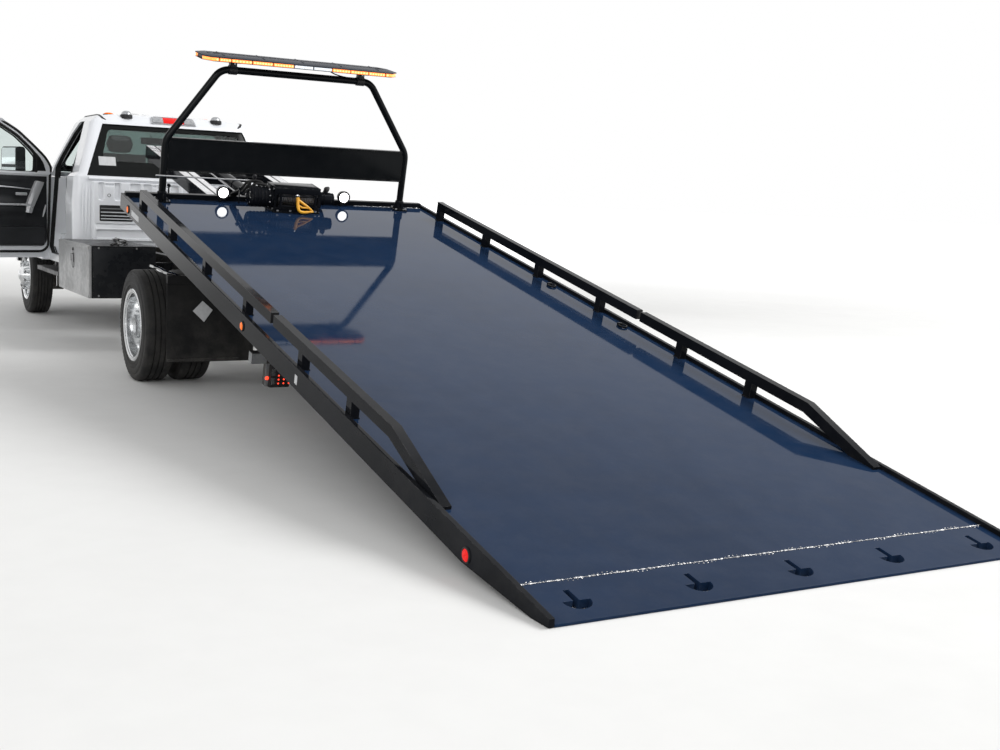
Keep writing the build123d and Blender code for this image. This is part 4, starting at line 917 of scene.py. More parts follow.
MIRROR = Finish("mirror_glass", Slot.CHROME, (0.86, 0.88, 0.90), (0.84, 0.86, 0.88), 0.01, metal=1.0,
                mottle=1.0, spread=0.0)
LABEL = Finish("blank_label", Slot.CLEAR, (0.58, 0.59, 0.60), (0.50, 0.51, 0.52), 0.55, mottle=40.0)
FRIT = Finish("black_glass_band", Slot.GLASS, (0.004, 0.005, 0.005), (0.006, 0.007, 0.007), 0.04, ior=1.24,
              mottle=2.0, spread=0.02)
WELD_BAND = Finish("rubbed_bright_band", Slot.STEEL, (0.86, 0.86, 0.87), (0.66, 0.66, 0.68), 0.30, metal=0.7,
                   mottle=10.0, spread=0.2, grain=2.0, depth=0.00003, lay=(8.0, 500.0, 500.0))
STEEL_GREY = Finish("grey_zinc_steel", Slot.STEEL, (0.30, 0.31, 0.32), (0.22, 0.23, 0.24), 0.42, metal=0.6,
                    mottle=12.0, spread=0.15, grain=300.0, depth=0.00004, dust=0.2)
VENT_WHITE = Finish("vent_pale_slats", Slot.WHITE, (0.70, 0.72, 0.75), (0.62, 0.64, 0.67), 0.35, mottle=6.0,
                    dust=0.1)
LAMP_GLASS = Finish("lamp_glass_over_chrome", Slot.CLEAR, (0.26, 0.27, 0.29), (0.46, 0.47, 0.48), 0.10,
                    metal=0.55, coat=1.0, mottle=38.0, spread=0.08, grain=220.0, depth=0.0006)
DOOR_SHEET = Finish("box_door_sheet", Slot.BRUSHED, (0.42, 0.425, 0.43), (0.28, 0.285, 0.29), 0.40,
                    metal=0.45, mottle=3.2, spread=0.16, grain=2.0, depth=0.00005, lay=(5.0, 260.0, 320.0),
                    scuffs=0.7, dust=0.25, wear=0.6, wear_rgb=(0.55, 0.55, 0.56))
TANK_SHEET = Finish("tank_black_sheet", Slot.FRAME_BLACK, (0.022, 0.022, 0.024), (0.034, 0.034, 0.036), 0.42,
                    mottle=2.4, spread=0.15, grain=300.0, depth=0.00008, dust=0.4)
EXHAUST_STEEL = Finish("heat_tinted_steel", Slot.STEEL, (0.30, 0.27, 0.24), (0.20, 0.17, 0.14), 0.48,
                       metal=0.9, mottle=5.0, spread=0.2, grain=240.0, depth=0.00012, dust=0.35)
FLOOR = Finish("pale_floor", Slot.WHITE, (0.80, 0.80, 0.79), (0.77, 0.77, 0.76), 0.75, mottle=0.5)


def finish_piece(item: bpy.types.Object, body: Body, finish: Finish,
                 stands_for: Sequence[str] = ()) -> bpy.types.Object:
    """Gives a piece its finish and the body that it rides on.

    Args:
        item: the piece.
        body: the body that carries it.
        finish: its finish.
        stands_for: CAD nodes that it is shown in place of.

    Returns:
        The piece.
    """
    if not item.data.materials:
        item.data.materials.append(finish.material())
    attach(item, body.value)
    if stands_for:
        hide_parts(*stands_for)
    LOG.info("piece %s on %s", item.name, body.value)
    return item


def place(form: Form, name: str, body: Body, finish: Finish, stands_for: Sequence[str] = (),
          fold: float = 32.0) -> bpy.types.Object:
    """Turns a form into a finished piece on its body."""
    return finish_piece(form.object(name, fold), body, finish, stands_for)


class Unit(Enum):
    """Small solid that a repeat puts on each of its points."""

    HEX = "hex"
    ROUND = "round"
    BEAD = "bead"


class Repeat:
    """A geometry node tree that puts one small solid on each vertex of its mesh."""

    def __init__(self, unit: Unit) -> None:
        """Builds the tree.

        Args:
            unit: the solid that is repeated.
        """
        self.unit = unit
        self.tree = bpy.data.node_groups.new(f"repeat_{unit.value}", "GeometryNodeTree")
        face = self.tree.interface
        face.new_socket(name="Points", in_out="INPUT", socket_type="NodeSocketGeometry")
        self.ids = {}
        for name, kind, value in (("Size", "NodeSocketVector", (0.01, 0.01, 0.01)),
                                  ("Turn", "NodeSocketVector", (0.0, 0.0, 0.0)),
                                  ("Jitter", "NodeSocketFloat", 0.0), ("Seed", "NodeSocketInt", 1)):
            socket = face.new_socket(name=name, in_out="INPUT", socket_type=kind)
            socket.default_value = value
            self.ids[name] = socket.identifier
        face.new_socket(name="Solids", in_out="OUTPUT", socket_type="NodeSocketGeometry")
        g = Graph(self.tree)
        start = g.add("NodeGroupInput")
        self.paint = g.add("GeometryNodeSetMaterial")
        solid = self._solid(g)
        spread = g.add("FunctionNodeRandomValue", data_type="FLOAT")
        g.put(spread.inputs[2], g.calc("SUBTRACT", 1.0, start.outputs["Jitter"]))
        g.put(spread.inputs[3], g.calc("ADD", 1.0, start.outputs["Jitter"]))
        g.put(spread.inputs["Seed"], start.outputs["Seed"])
        scale = g.add("ShaderNodeVectorMath", operation="SCALE")
        g.put(scale.inputs[0], start.outputs["Size"])
        g.put(scale.inputs["Scale"], spread.outputs[1])
        copies = g.add("GeometryNodeInstanceOnPoints")
        g.put(copies.inputs["Points"], start.outputs["Points"])
        g.put(copies.inputs["Instance"], solid)
        g.put(copies.inputs["Rotation"], start.outputs["Turn"])
        g.put(copies.inputs["Scale"], scale.outputs[0])
        real = g.add("GeometryNodeRealizeInstances")
        g.put(real.inputs[0], copies.outputs[0])
        g.put(self.paint.inputs["Geometry"], real.outputs[0])
        g.put(g.add("NodeGroupOutput").inputs[0], self.paint.outputs[0])

    def _solid(self, g: Graph) -> bpy.types.NodeSocket:
        """The unit solid, one metre across each way.

        Args:
            g: the graph of the tree.

        Returns:
            The solid's geometry.
        """
        if self.unit is Unit.BEAD:
            ball = g.add("GeometryNodeMeshIcoSphere")
            ball.inputs["Radius"].default_value = 0.5
            ball.inputs["Subdivisions"].default_value = 2
            return ball.outputs[0]
        bar = g.add("GeometryNodeMeshCylinder")
        bar.inputs["Vertices"].default_value = 6 if self.unit is Unit.HEX else 18
        bar.inputs["Radius"].default_value = 0.5
        bar.inputs["Depth"].default_value = 1.0
        return bar.outputs[0]

    def at(self, name: str, points: Sequence[Point], size: Point, body: Body, finish: Finish,
           placing: Placing = LEVEL, aim: Point | None = None, jitter: float = 0.0,
           seed: int = 1) -> bpy.types.Object:
        """Makes one piece of solids at points.

        Args:
            name: the piece's name.
            points: centres of the solids, in the placing's metres.
            size: size of each solid, its last number along its own axis.
            body: the body that carries it.
            finish: its finish.
            placing: the frame of reference of the points.
            aim: direction of the solids' axis in the placing, straight up if left out.
            jitter: share by which sizes differ.
            seed: seed of the differences.

        Returns:
            The finished piece.
        """
        base = bpy.data.meshes.new(name + "_points")
        base.from_pydata([placing.matrix @ Vector(p) for p in points], [], [])
        holder = bpy.data.objects.new(name + "_points", base)
        bpy.context.collection.objects.link(holder)
        self.paint.inputs["Material"].default_value = finish.material()
        turn = placing.matrix.to_3x3().normalized()
        if aim is not None:
            way = (turn @ Vector(aim)).normalized()
            turn = way.to_track_quat("Z", "Y").to_matrix()
        elif turn.determinant() < 0:
            turn = turn @ Matrix.Diagonal((1.0, -1.0, 1.0))
        modifier = holder.modifiers.new("repeat", "NODES")
        modifier.node_group = self.tree
        modifier[self.ids["Size"]] = tuple(size)
        modifier[self.ids["Turn"]] = tuple(turn.to_euler())
        modifier[self.ids["Jitter"]] = jitter
        modifier[self.ids["Seed"]] = seed
        graph = bpy.context.evaluated_depsgraph_get()
        mesh = bpy.data.meshes.new_from_object(holder.evaluated_get(graph), depsgraph=graph)
        holder.modifiers.remove(modifier)
        bpy.data.objects.remove(holder)
        soften(mesh)
        mesh.name = name
        item = bpy.data.objects.new(name, mesh)
        bpy.context.collection.objects.link(item)
        return finish_piece(item, body, finish)


def soften(mesh: bpy.types.Mesh, fold: float = 38.0) -> None:
    """Smooths a mesh's faces and keeps its folds past an angle sharp.

    Args:
        mesh: the mesh.
        fold: angle in degrees past which an edge stays sharp.
    """
    bm = bmesh.new()
    bm.from_mesh(mesh)
    smooth_faces(bm, fold)
    bm.to_mesh(mesh)
    bm.free()


HEXES = Repeat(Unit.HEX)
ROUNDS = Repeat(Unit.ROUND)
BEADS = Repeat(Unit.BEAD)


def line(start: Point, end: Point, count: int) -> list[Vector]:
    """Evenly spaced points from one place to another, both ends included."""
    a, b = Vector(start), Vector(end)
    return [a.lerp(b, i / (count - 1)) for i in range(count)]


def smooth_tree() -> bpy.types.NodeTree:
    """Geometry nodes that join a CAD node's loose triangles and smooth its round faces.

    Returns:
        The tree.
    """
    tree = bpy.data.node_groups.new("smooth_cad_faces", "GeometryNodeTree")
    tree.interface.new_socket(name="Mesh", in_out="INPUT", socket_type="NodeSocketGeometry")
    fold = tree.interface.new_socket(name="Fold", in_out="INPUT", socket_type="NodeSocketFloat")
    fold.default_value = 0.6
    tree.interface.new_socket(name="Mesh", in_out="OUTPUT", socket_type="NodeSocketGeometry")
    g = Graph(tree)
    start = g.add("NodeGroupInput")
    weld = g.add("GeometryNodeMergeByDistance")
    g.put(weld.inputs["Geometry"], start.outputs["Mesh"])
    weld.inputs["Distance"].default_value = 0.00002
    angle = g.add("GeometryNodeInputMeshEdgeAngle")
    faces = g.add("GeometryNodeSetShadeSmooth", domain="FACE")
    g.put(faces.inputs["Geometry"], weld.outputs[0])
    faces.inputs["Shade Smooth"].default_value = True
    edges = g.add("GeometryNodeSetShadeSmooth", domain="EDGE")
    g.put(edges.inputs["Geometry"], faces.outputs[0])
    compare = g.add("FunctionNodeCompare", data_type="FLOAT", operation="LESS_THAN")
    g.put(compare.inputs[0], angle.outputs["Unsigned Angle"])
    g.put(compare.inputs[1], start.outputs["Fold"])
    g.put(edges.inputs["Shade Smooth"], compare.outputs[0])
    g.put(g.add("NodeGroupOutput").inputs[0], edges.outputs[0])
    return tree


SMOOTH = smooth_tree()


def dress(node: str, finish: Finish, edge: float = 0.0) -> None:
    """Gives a CAD node its finish, smooth round faces and eased edges.

    Args:
        node: the node's name.
        finish: its finish.
        edge: radius that its edges are eased by.
    """
    item = FRAME["nodes"][node]
    if item.data.materials:
        for slot in item.material_slots:
            slot.material = finish.material()
    else:
        item.data.materials.append(finish.material())
    join = item.modifiers.new("join", "WELD")
    join.merge_threshold = 0.00002
    if edge:
        ease = item.modifiers.new("ease", "BEVEL")
        ease.width = edge
        ease.segments = 2
        ease.limit_method = "ANGLE"
        ease.angle_limit = math.radians(28.0)
    item.modifiers.new("smooth", "NODES").node_group = SMOOTH
    if edge:
        flat = item.modifiers.new("flat", "WEIGHTED_NORMAL")
        flat.weight = 100
        flat.keep_sharp = True
    LOG.info("node %s in %s", node, finish.name)


@dataclass
class DeckDress:
    """The sliding deck: plate, tail, channels, rails and their lamps."""

    length: float = 6.215
    half: float = 1.219
    plate: float = -0.022
    weld_s: float = 0.265
    rail_in: float = 1.145
    lamp_y: float = 0.487
    ring_y: float = -1.140
    ring_s: Pair = (3.07, 3.94)
    post_s: tuple[float, ...] = (3.389, 4.178, 4.968, 5.752, 1.861, 2.501)
    markers: tuple[Pair, ...] = ((0.590, 0.025), (3.309, 0.022), (5.971, 0.023))

    def build(self) -> None:
        """Finishes the deck's nodes and adds its pieces."""
        for node, finish, edge in (("deck_plate", DECK_PAINT_WITH_SKY, 0.0), ("deck_tail", DECK_PAINT_WITH_SKY, 0.002),
                                   ("side_channels", BLACK_PAINT, 0.003), ("side_rails", BLACK_PAINT, 0.004),
                                   ("front_rail", BLACK_PAINT, 0.004),
                                   ("deck_cross_members", FRAME_PAINT, 0.002),
                                   ("deck_sills", FRAME_PAINT, 0.002), ("slide_rod", CHROME, 0.0),
                                   ("release_rod", STEEL, 0.0)):
            dress(node, finish, edge)
        self.welds()
        self.lamps()
        self.rings()
        self.small_parts()

    def welds(self) -> None:
        """The bright bead across the tail with its spatter, the beads along the front rail, and the welds
        round the rail posts.
        """
        wide = self.half - 0.030
        top = self.plate + 0.001
        BEADS.at("tail_weld_bead", line((self.weld_s, wide, top), (self.weld_s, -wide, top), 330),
                 (0.0085, 0.0062, 0.0045), Body.DECK, WELD, ON_DECK, jitter=0.55, seed=3)
        stray = [(self.weld_s + 0.014 * math.sin(i * 12.9898), wide - i * 0.0205, top)
                 for i in range(116)]
        BEADS.at("tail_weld_spatter", stray, (0.0050, 0.0050, 0.003), Body.DECK, WELD, ON_DECK,
                 jitter=0.6, seed=9)
        front = self.length - 0.056
        BEADS.at("front_weld_right", line((front, -0.60, top), (front, -1.17, top), 90),
                 (0.010, 0.008, 0.007), Body.DECK, WELD, ON_DECK, jitter=0.4, seed=5)
        BEADS.at("front_weld_black", line((front, 1.17, top), (front, -0.58, top), 240),
                 (0.009, 0.009, 0.007), Body.DECK, BLACK_PAINT, ON_DECK, jitter=0.2, seed=6)
        posts = [(s, side * (self.rail_in + x), self.plate + 0.001)
                 for side in (1, -1) for s in self.post_s
                 for x in (-0.001, 0.046)]
        marks = [(s + ds, y, n) for s, y, n in posts for ds in (-0.024, -0.012, 0.0, 0.012, 0.024)]
        BEADS.at("post_welds", marks, (0.014, 0.010, 0.010), Body.DECK, BLACK_PAINT, ON_DECK,
                 jitter=0.2, seed=7)

    def lamps(self) -> None:
        """Side markers in their grommets, and the two work lamps on the front rail."""
        grommets, amber, red = Form(ON_DECK), Form(ON_DECK), Form(ON_DECK)
        for s, r in self.markers:
            for side in (1, -1):
                spot = (s, side * self.half, -0.066)
                way = (0, side, 0)
                grommets.lathe([(r + 0.001, 0.0), (r + 0.008, 0.0), (r + 0.007, 0.0055),
                                (r + 0.001, 0.0065)], spot, way, 32)
                lens = red if s < 1.0 else amber
                lens.lathe([(0.0, 0.0), (r + 0.001, 0.0), (r + 0.001, 0.004), (r * 0.86, 0.0078),
                            (r * 0.45, 0.0092), (0.0, 0.0096)], spot, way, 32, close=False)
        place(grommets, "marker_grommets", Body.DECK, RUBBER)
        place(amber, "marker_lenses_amber", Body.DECK, AMBER_LENS, ("deck_lamps",))
        place(red, "marker_lenses_red", Body.DECK, RED_LENS, ("deck_lamps",))
        shells, faces, rims = Form(ON_DECK), Form(ON_DECK), Form(ON_DECK)
        for y in (self.lamp_y, -self.lamp_y):
            spot = (self.length - 0.053, y, 0.052)
            shells.lathe([(0.0, 0.0), (0.022, 0.0), (0.044, 0.012), (0.049, 0.034), (0.049, 0.053),
                          (0.047, 0.054), (0.0, 0.045)], spot, (-1, 0, 0), 40, close=False)
            faces.lathe([(0.0, 0.0545), (0.030, 0.0535), (0.0470, 0.0505), (0.0475, 0.047), (0.0, 0.046)],
                        spot, (-1, 0, 0), 40, close=False)
            rims.lathe([(0.0475, 0.046), (0.050, 0.046), (0.050, 0.055), (0.0475, 0.055)], spot, (-1, 0, 0),
                       40)
            shells.box((6.146, y - 0.011, -0.021), (6.1645, y + 0.011, 0.040), 0.002)
        place(shells, "work_lamp_housings", Body.DECK, PLASTIC, ("deck_lamps",))
        place(faces, "work_lamp_faces", Body.DECK, WORK_LIGHT, ("deck_lamps",))
        place(rims, "work_lamp_rims", Body.DECK, PLASTIC)

    def rings(self) -> None:
        """Tie-down rings that lie beside the right rail, each in its strap."""
        loops, straps = Form(ON_DECK), Form(ON_DECK)
        y, n = self.ring_y, self.plate + 0.007
        turns = angles(24)
        around = angles(10)
        for s in self.ring_s:
            loops.rings([[(s + (0.030 + 0.0055 * math.cos(u)) * math.cos(t),
                           y + (0.024 + 0.0055 * math.cos(u)) * math.sin(t),
                           n + 0.001 + 0.0055 * math.sin(u)) for u in around] for t in turns],
                        cap=False, round_trip=True)
            straps.box((s + 0.022, y - 0.016, self.plate), (s + 0.044, y + 0.016, n + 0.010), 0.003)
        place(loops, "tie_down_rings", Body.DECK, BLACK_PAINT)
        place(straps, "tie_down_straps", Body.DECK, BLACK_PAINT)

    def small_parts(self) -> None:
        """Blank labels, rail end caps and the release rod's guides."""
        label = Form(ON_DECK)
        label.box((2.435, self.half, -0.083), (2.470, self.half + 0.0008, -0.037))
        label.box((5.66, self.half, -0.085), (5.87, self.half + 0.0008, -0.045))
        place(label, "blank_labels", Body.DECK, LABEL)
        caps = Form(ON_DECK)
        for side in (1, -1):
            y = side * (self.rail_in + 0.0225)
            for s, way in ((2.960, -1), (5.780, 1), (2.920, 1)):
                caps.box((s, y - 0.020, 0.068), (s + way * 0.003, y + 0.020, 0.118), 0.001)
        place(caps, "rail_end_caps", Body.DECK, PLASTIC)
        guides = Form(ON_DECK)
        for y in (0.40, 0.93):
            guides.tube([(5.990, y, 0.115), (6.012, y, 0.115)], 0.012, 14)
            guides.box((5.992, y - 0.004, 0.0), (6.010, y + 0.004, 0.110), 0.001)
        place(guides, "release_rod_guides", Body.DECK, BLACK_PAINT)


@dataclass
class HeadboardDress:
    """The tube hoop, its blank board and the beacon bar on top."""

    station: float = 6.080
    bar_low: float = 1.030
    bar_half: float = 0.760
    bar_depth: float = 0.145
    bar_corner: float = 0.060
    post_y: float = 0.955
    foot_y: float = 0.500
    board: Pair = (0.213, 0.445)
    modules: tuple[tuple[float, float, bool], ...] = (
        (0.006, 0.072, True), (0.079, 0.131, True), (0.138, 0.232, True), (0.240, 0.335, True),
        (0.343, 0.440, True), (0.448, 0.539, False), (0.547, 0.636, False), (0.644, 0.733, True),
        (0.740, 0.829, True), (0.836, 0.920, True), (0.928, 0.992, True))

    def build(self) -> None:
        """Finishes the hoop and adds the board's folds, sockets and beacon bar."""
        dress("headboard", BOARD_PAINT, 0.003)
        folds = Form(ON_DECK)
        for n in self.board:
            folds.box((self.station - 0.019, -0.930, n - 0.006), (self.station + 0.019, 0.930, n + 0.006),
                      0.003)
        for y in (0.44, -0.44, 0.0):
            folds.box((self.station + 0.012, y - 0.020, 0.216), (self.station + 0.030, y + 0.020, 0.442),
                      0.003)
        place(folds, "board_folds", Body.DECK, BOARD_PAINT)
        sockets = Form(ON_DECK)
        for y in (self.post_y, -self.post_y):
            sockets.lathe([(0.0265, 0.0), (0.036, 0.0), (0.034, 0.060), (0.0265, 0.064)],
                          (self.station, y, -0.010), (0, 0, 1), 28)
            for k in (-1, 1):
                sockets.box((self.station + k * 0.030, y - 0.004, -0.010),
                            (self.station + k * 0.050, y + 0.004, 0.042), 0.001)
        place(sockets, "hoop_sockets", Body.DECK, BLACK_PAINT)
        HEXES.at("hoop_foot_bolts", [(self.station + a * 0.041, y + b * 0.041, -0.006)
                                     for y in (self.post_y, -self.post_y) for a in (1, -1) for b in (1, -1)],
                 (0.018, 0.018, 0.009), Body.DECK, STEEL, ON_DECK)
        self.bar()

    def outline(self, inset: float) -> list[tuple[float, float]]:
        """The bar's plan outline, moved in by an inset.

        Args:
            inset: how far in from the bar's edge.

        Returns:
            The outline's corners.
        """
        d, h, c = self.bar_depth - inset, self.bar_half - inset, self.bar_corner
        half = [(-d, h - c), (-d + c, h), (d - c, h), (d, h - c)]
        return [(self.station + s, y) for s, y in half] + \
            [(self.station + s, -y) for s, y in reversed(half)]

    def edge(self, y: float, way: int) -> float:
        """Station of the lens band's face at a width, at the rear if the way is -1."""
        past = max(0.0, abs(y) - self.bar_half + self.bar_corner)
        return self.station + way * (self.bar_depth - 0.003 - past)

    def module(self, form: Form, y0: float, y1: float, way: int) -> None:
        """Adds one lit module that follows the bar's outline.

        Args:
            form: the form that takes it.
            y0: its left end.
            y1: its right end.
            way: -1 for the rear of the bar, 1 for its front.
        """
        bends = [c for c in (self.bar_half - self.bar_corner, self.bar_corner - self.bar_half) if y1 < c < y0]
        cuts = [y0, *bends, y1]
        for a, b in zip(cuts, cuts[1:]):
            plan = [(self.edge(a, way), a), (self.edge(b, way), b), (self.edge(b, way) - way * 0.012, b),
                    (self.edge(a, way) - way * 0.012, a)]
            form.rings([[(s, y, self.bar_low + n) for s, y in plan] for n in (0.007, 0.026)])

    def bar(self) -> None:
        """Tray, core and dark cover of the bar, and all that is on them."""
        low = self.bar_low
        tray, cover, core = (Form(ON_DECK) for _ in range(3))
        tray.rings([[(s, y, n) for s, y in self.outline(i)] for n, i in
                    ((low, 0.018), (low + 0.002, 0.006), (low + 0.004, 0.002), (low + 0.006, 0.006))])
        cover.rings([[(s, y, n) for s, y in self.outline(i)] for n, i in
                     ((low + 0.029, 0.006), (low + 0.030, 0.001), (low + 0.037, 0.002), (low + 0.0415, 0.022),
                      (low + 0.044, 0.060), (low + 0.046, 0.110))])
        core.rings([[(s, y, n) for s, y in self.outline(0.016)] for n in (low + 0.004, low + 0.031)])
        place(tray, "beacon_tray", Body.DECK, PLASTIC, ("light_bar",))
        place(cover, "beacon_cover", Body.DECK, SMOKED, ("light_bar",), fold=45.0)
        place(core, "beacon_core", Body.DECK, PLASTIC)
        self.lit_modules()
        self.bar_fittings()

    def lit_modules(self) -> None:
        """The band's amber and white modules, and the rows of optics in them."""
        low = self.bar_low
        amber, white = Form(ON_DECK), Form(ON_DECK)
        dots: dict[int, list[Point]] = {0: [], 1: []}
        for a, b, both in self.modules:
            y0, y1 = (self.bar_half * (1 - 2 * t) for t in (a, b))
            for way in (-1, 1):
                lit = 1 if both or way > 0 else 0
                self.module(amber if lit else white, y0, y1, way)
                count = max(3, round(abs(y1 - y0) / 0.022))
                dots[lit] += line((self.edge(y0, way), y0 - 0.010, low + 0.0165),
                                  (self.edge(y1, way), y1 + 0.010, low + 0.0165), count)
        place(amber, "beacon_modules_amber", Body.DECK, AMBER_LED, ("light_bar",))
        place(white, "beacon_modules_white", Body.DECK, WHITE_LED, ("light_bar",))
        for kind, finish in ((1, AMBER_HOT), (0, WHITE_LED)):
            ROUNDS.at(f"beacon_optics_{kind}", dots[kind], (0.013, 0.013, 0.003), Body.DECK, finish,
                      ON_DECK, aim=(-1, 0, 0))

    def bar_fittings(self) -> None:
        """The bar's lead, the ribs on its cover, and its feet with their bolts."""
        low = self.bar_low
        lead = Form(ON_DECK)
        lead.tube(bent([(self.station - 0.010, -0.223, low + 0.002), (self.station, -0.285, low - 0.026),
                        (self.station, -0.345, low - 0.039), (self.station, -0.410, low - 0.045)], 0.02, 4),
                  0.0045, 8)
        place(lead, "beacon_lead", Body.DECK, RUBBER)
        ribs = Form(ON_DECK)
        for y in (0.30, 0.0, -0.30, 0.60, -0.60):
            ribs.box((self.station - 0.10, y - 0.004, low + 0.0445),
                     (self.station + 0.10, y + 0.004, low + 0.047), 0.001)
        place(ribs, "beacon_cover_ribs", Body.DECK, SMOKED)
        feet = Form(ON_DECK)
        for y in (self.foot_y, -self.foot_y):
            feet.box((self.station - 0.055, y - 0.045, low - 0.010), (self.station + 0.055, y + 0.045, low),
                     0.003)
            feet.box((self.station - 0.026, y - 0.022, low - 0.045),
                     (self.station + 0.026, y + 0.022, low - 0.010), 0.006)
            feet.lathe([(0.0265, -0.030), (0.033, -0.030), (0.033, 0.030), (0.0265, 0.030)],
                       (self.station, y, 0.965), (0, 1, 0), 24)
        place(feet, "beacon_feet", Body.DECK, PLASTIC)
        HEXES.at("beacon_foot_bolts", [(self.station + a * 0.044, y, low - 0.013)
                                       for y in (self.foot_y, -self.foot_y) for a in (1, -1)],
                 (0.014, 0.014, 0.008), Body.DECK, STEEL, ON_DECK)


@dataclass
class WinchDress:
    """Winch on the deck's front: rope wraps, gearbox, motor, rollers, rope and hook."""

    s: float = 5.940
    half: float = 0.172
    gearbox: float = 0.168
    motor: float = 0.124
    drum_n: float = 0.075
    drum_r: float = 0.052
    rope_r: float = 0.007
    hook_s: float = 5.835
    hook_n: float = 0.085
    hook_lean: float = 62.0

    def build(self) -> None:
        """Finishes the winch and adds its pieces."""
        dress("winch", BLACK_PAINT, 0.0025)
        self.wraps()
        self.housings()
        self.frame()
        self.hook()

    def wraps(self) -> None:
        """Rope wound on the drum, a full layer and part of a second."""
        coil = Form(ON_DECK)
        for y0, turns, r in ((0.018 - self.half, 22, self.drum_r + self.rope_r),
                            (0.024 - self.half, 8, self.drum_r + 2.8 * self.rope_r)):
            path = []
            for k in range(turns * 22 + 1):
                t = 2 * math.pi * k / 22
                path.append((self.s + r * math.cos(t), y0 + 2 * self.rope_r * k / 22,
                             self.drum_n + r * math.sin(t)))
            coil.tube(path, self.rope_r * 0.98, 7)
        place(coil, "drum_rope_wraps", Body.DECK, ROPE, fold=60.0)

    def housings(self) -> None:
        """Ribbed gearbox and flanged motor."""
        ribs = Form(ON_DECK)
        for k in range(5):
            y = self.half + 0.036 + 0.028 * k
            ribs.lathe([(0.072, -0.004), (0.0795, -0.003), (0.0795, 0.003), (0.072, 0.004)],
                       (self.s, y, self.drum_n), (0, 1, 0), 40)
        end = self.half + self.gearbox
        ribs.lathe([(0.0, 0.0), (0.070, 0.0), (0.070, 0.006), (0.060, 0.012), (0.030, 0.014), (0.024, 0.022),
                    (0.0, 0.022)], (self.s, end, self.drum_n), (0, 1, 0), 40, close=False)
        ribs.lathe([(0.074, -0.022), (0.088, -0.020), (0.088, -0.004), (0.074, -0.002)],
                   (self.s, self.half + 0.024, self.drum_n), (0, 1, 0), 40)
        motor = -self.half - self.motor
        ribs.box((self.s - 0.062, -self.half - 0.034, self.drum_n - 0.062),
                 (self.s + 0.062, -self.half - 0.014, self.drum_n + 0.062), 0.006)
        ribs.lathe([(0.0, 0.0), (0.040, 0.0), (0.044, 0.008), (0.044, 0.022), (0.0, 0.022)],
                   (self.s, motor, self.drum_n), (0, -1, 0), 32, close=False)
        ribs.lathe([(0.047, 0.0), (0.052, 0.002), (0.052, 0.012), (0.047, 0.014)],
                   (self.s, -self.half - 0.060, self.drum_n), (0, -1, 0), 32)
        place(ribs, "winch_housings", Body.DECK, BLACK_PAINT)
        self.housing_bolts(end)
        self.pipes()

    def housing_bolts(self, end: float) -> None:
        """Bolts round the gearbox's flange and cap, and at the motor's corners.

        Args:
            end: where the gearbox's outer end is across the deck.
        """
        bolts = [(self.s + 0.080 * math.cos(t), self.half + 0.036, self.drum_n + 0.080 * math.sin(t))
                 for t in angles(10, 0.5)]
        HEXES.at("gearbox_flange_bolts", bolts, (0.011, 0.011, 0.008), Body.DECK, STEEL, ON_DECK,
                 aim=(0, 1, 0))
        caps = [(self.s + 0.056 * math.cos(t), end + 0.009, self.drum_n + 0.056 * math.sin(t))
                for t in angles(8)]
        HEXES.at("gearbox_cap_bolts", caps, (0.010, 0.010, 0.008), Body.DECK, STEEL, ON_DECK, aim=(0, 1, 0))
        corner = [(self.s + a * 0.050, -self.half - 0.012, self.drum_n + b * 0.050)
                  for a in (1, -1) for b in (1, -1)]
        HEXES.at("motor_bolts", corner, (0.015, 0.015, 0.010), Body.DECK, STEEL, ON_DECK, aim=(0, -1, 0))

    def pipes(self) -> None:
        """The motor's ports, the pipes down to the deck's front, and the release lever's knob."""
        ports = Form(ON_DECK)
        for ds in (-0.018, 0.018):
            ports.lathe([(0.0, 0.0), (0.013, 0.0), (0.013, 0.012), (0.010, 0.014), (0.010, 0.020),
                         (0.0, 0.022)], (self.s + ds, -self.half - 0.085, self.drum_n + 0.044), (0, 0, 1),
                        14, close=False)
        place(ports, "motor_ports", Body.DECK, BLACK_PAINT)
        pipes = Form(ON_DECK)
        for ds, y in ((-0.018, -0.300), (0.018, -0.320)):
            pipes.tube(bent([(self.s + ds, -self.half - 0.085, self.drum_n + 0.060),
                             (self.s + ds, -self.half - 0.085, self.drum_n + 0.080),
                             (self.s + ds + 0.07, y, self.drum_n + 0.070), (6.120, y, 0.030),
                             (6.196, y, 0.006)], 0.03, 7), 0.0085, 10)
        for k, (y, out, top) in enumerate(((0.200, 0.355, 0.168), (0.232, 0.372, 0.186),
                                           (0.262, 0.390, 0.176))):
            pipes.tube(bent([(self.s - 0.030 + 0.020 * k, y, self.drum_n + 0.060),
                             (self.s - 0.020 + 0.020 * k, y + 0.02, top),
                             (self.s + 0.020 * k, out - 0.04, top + 0.004),
                             (self.s + 0.030 * k, out, 0.110), (6.190, out + 0.010, 0.030),
                             (6.190, out + 0.010, 0.012)], 0.035, 7), 0.0095, 10)
        place(pipes, "motor_pipes", Body.DECK, RUBBER)
        knob = Form(ON_DECK)
        knob.lathe([(0.0, 0.0), (0.010, 0.002), (0.016, 0.012), (0.016, 0.024), (0.009, 0.033),
                    (0.0, 0.035)], (self.s + 0.040, self.half + self.gearbox - 0.040, self.drum_n + 0.122),
                   (0, 0, 1), 20, close=False)
        place(knob, "release_knob", Body.DECK, PLASTIC)

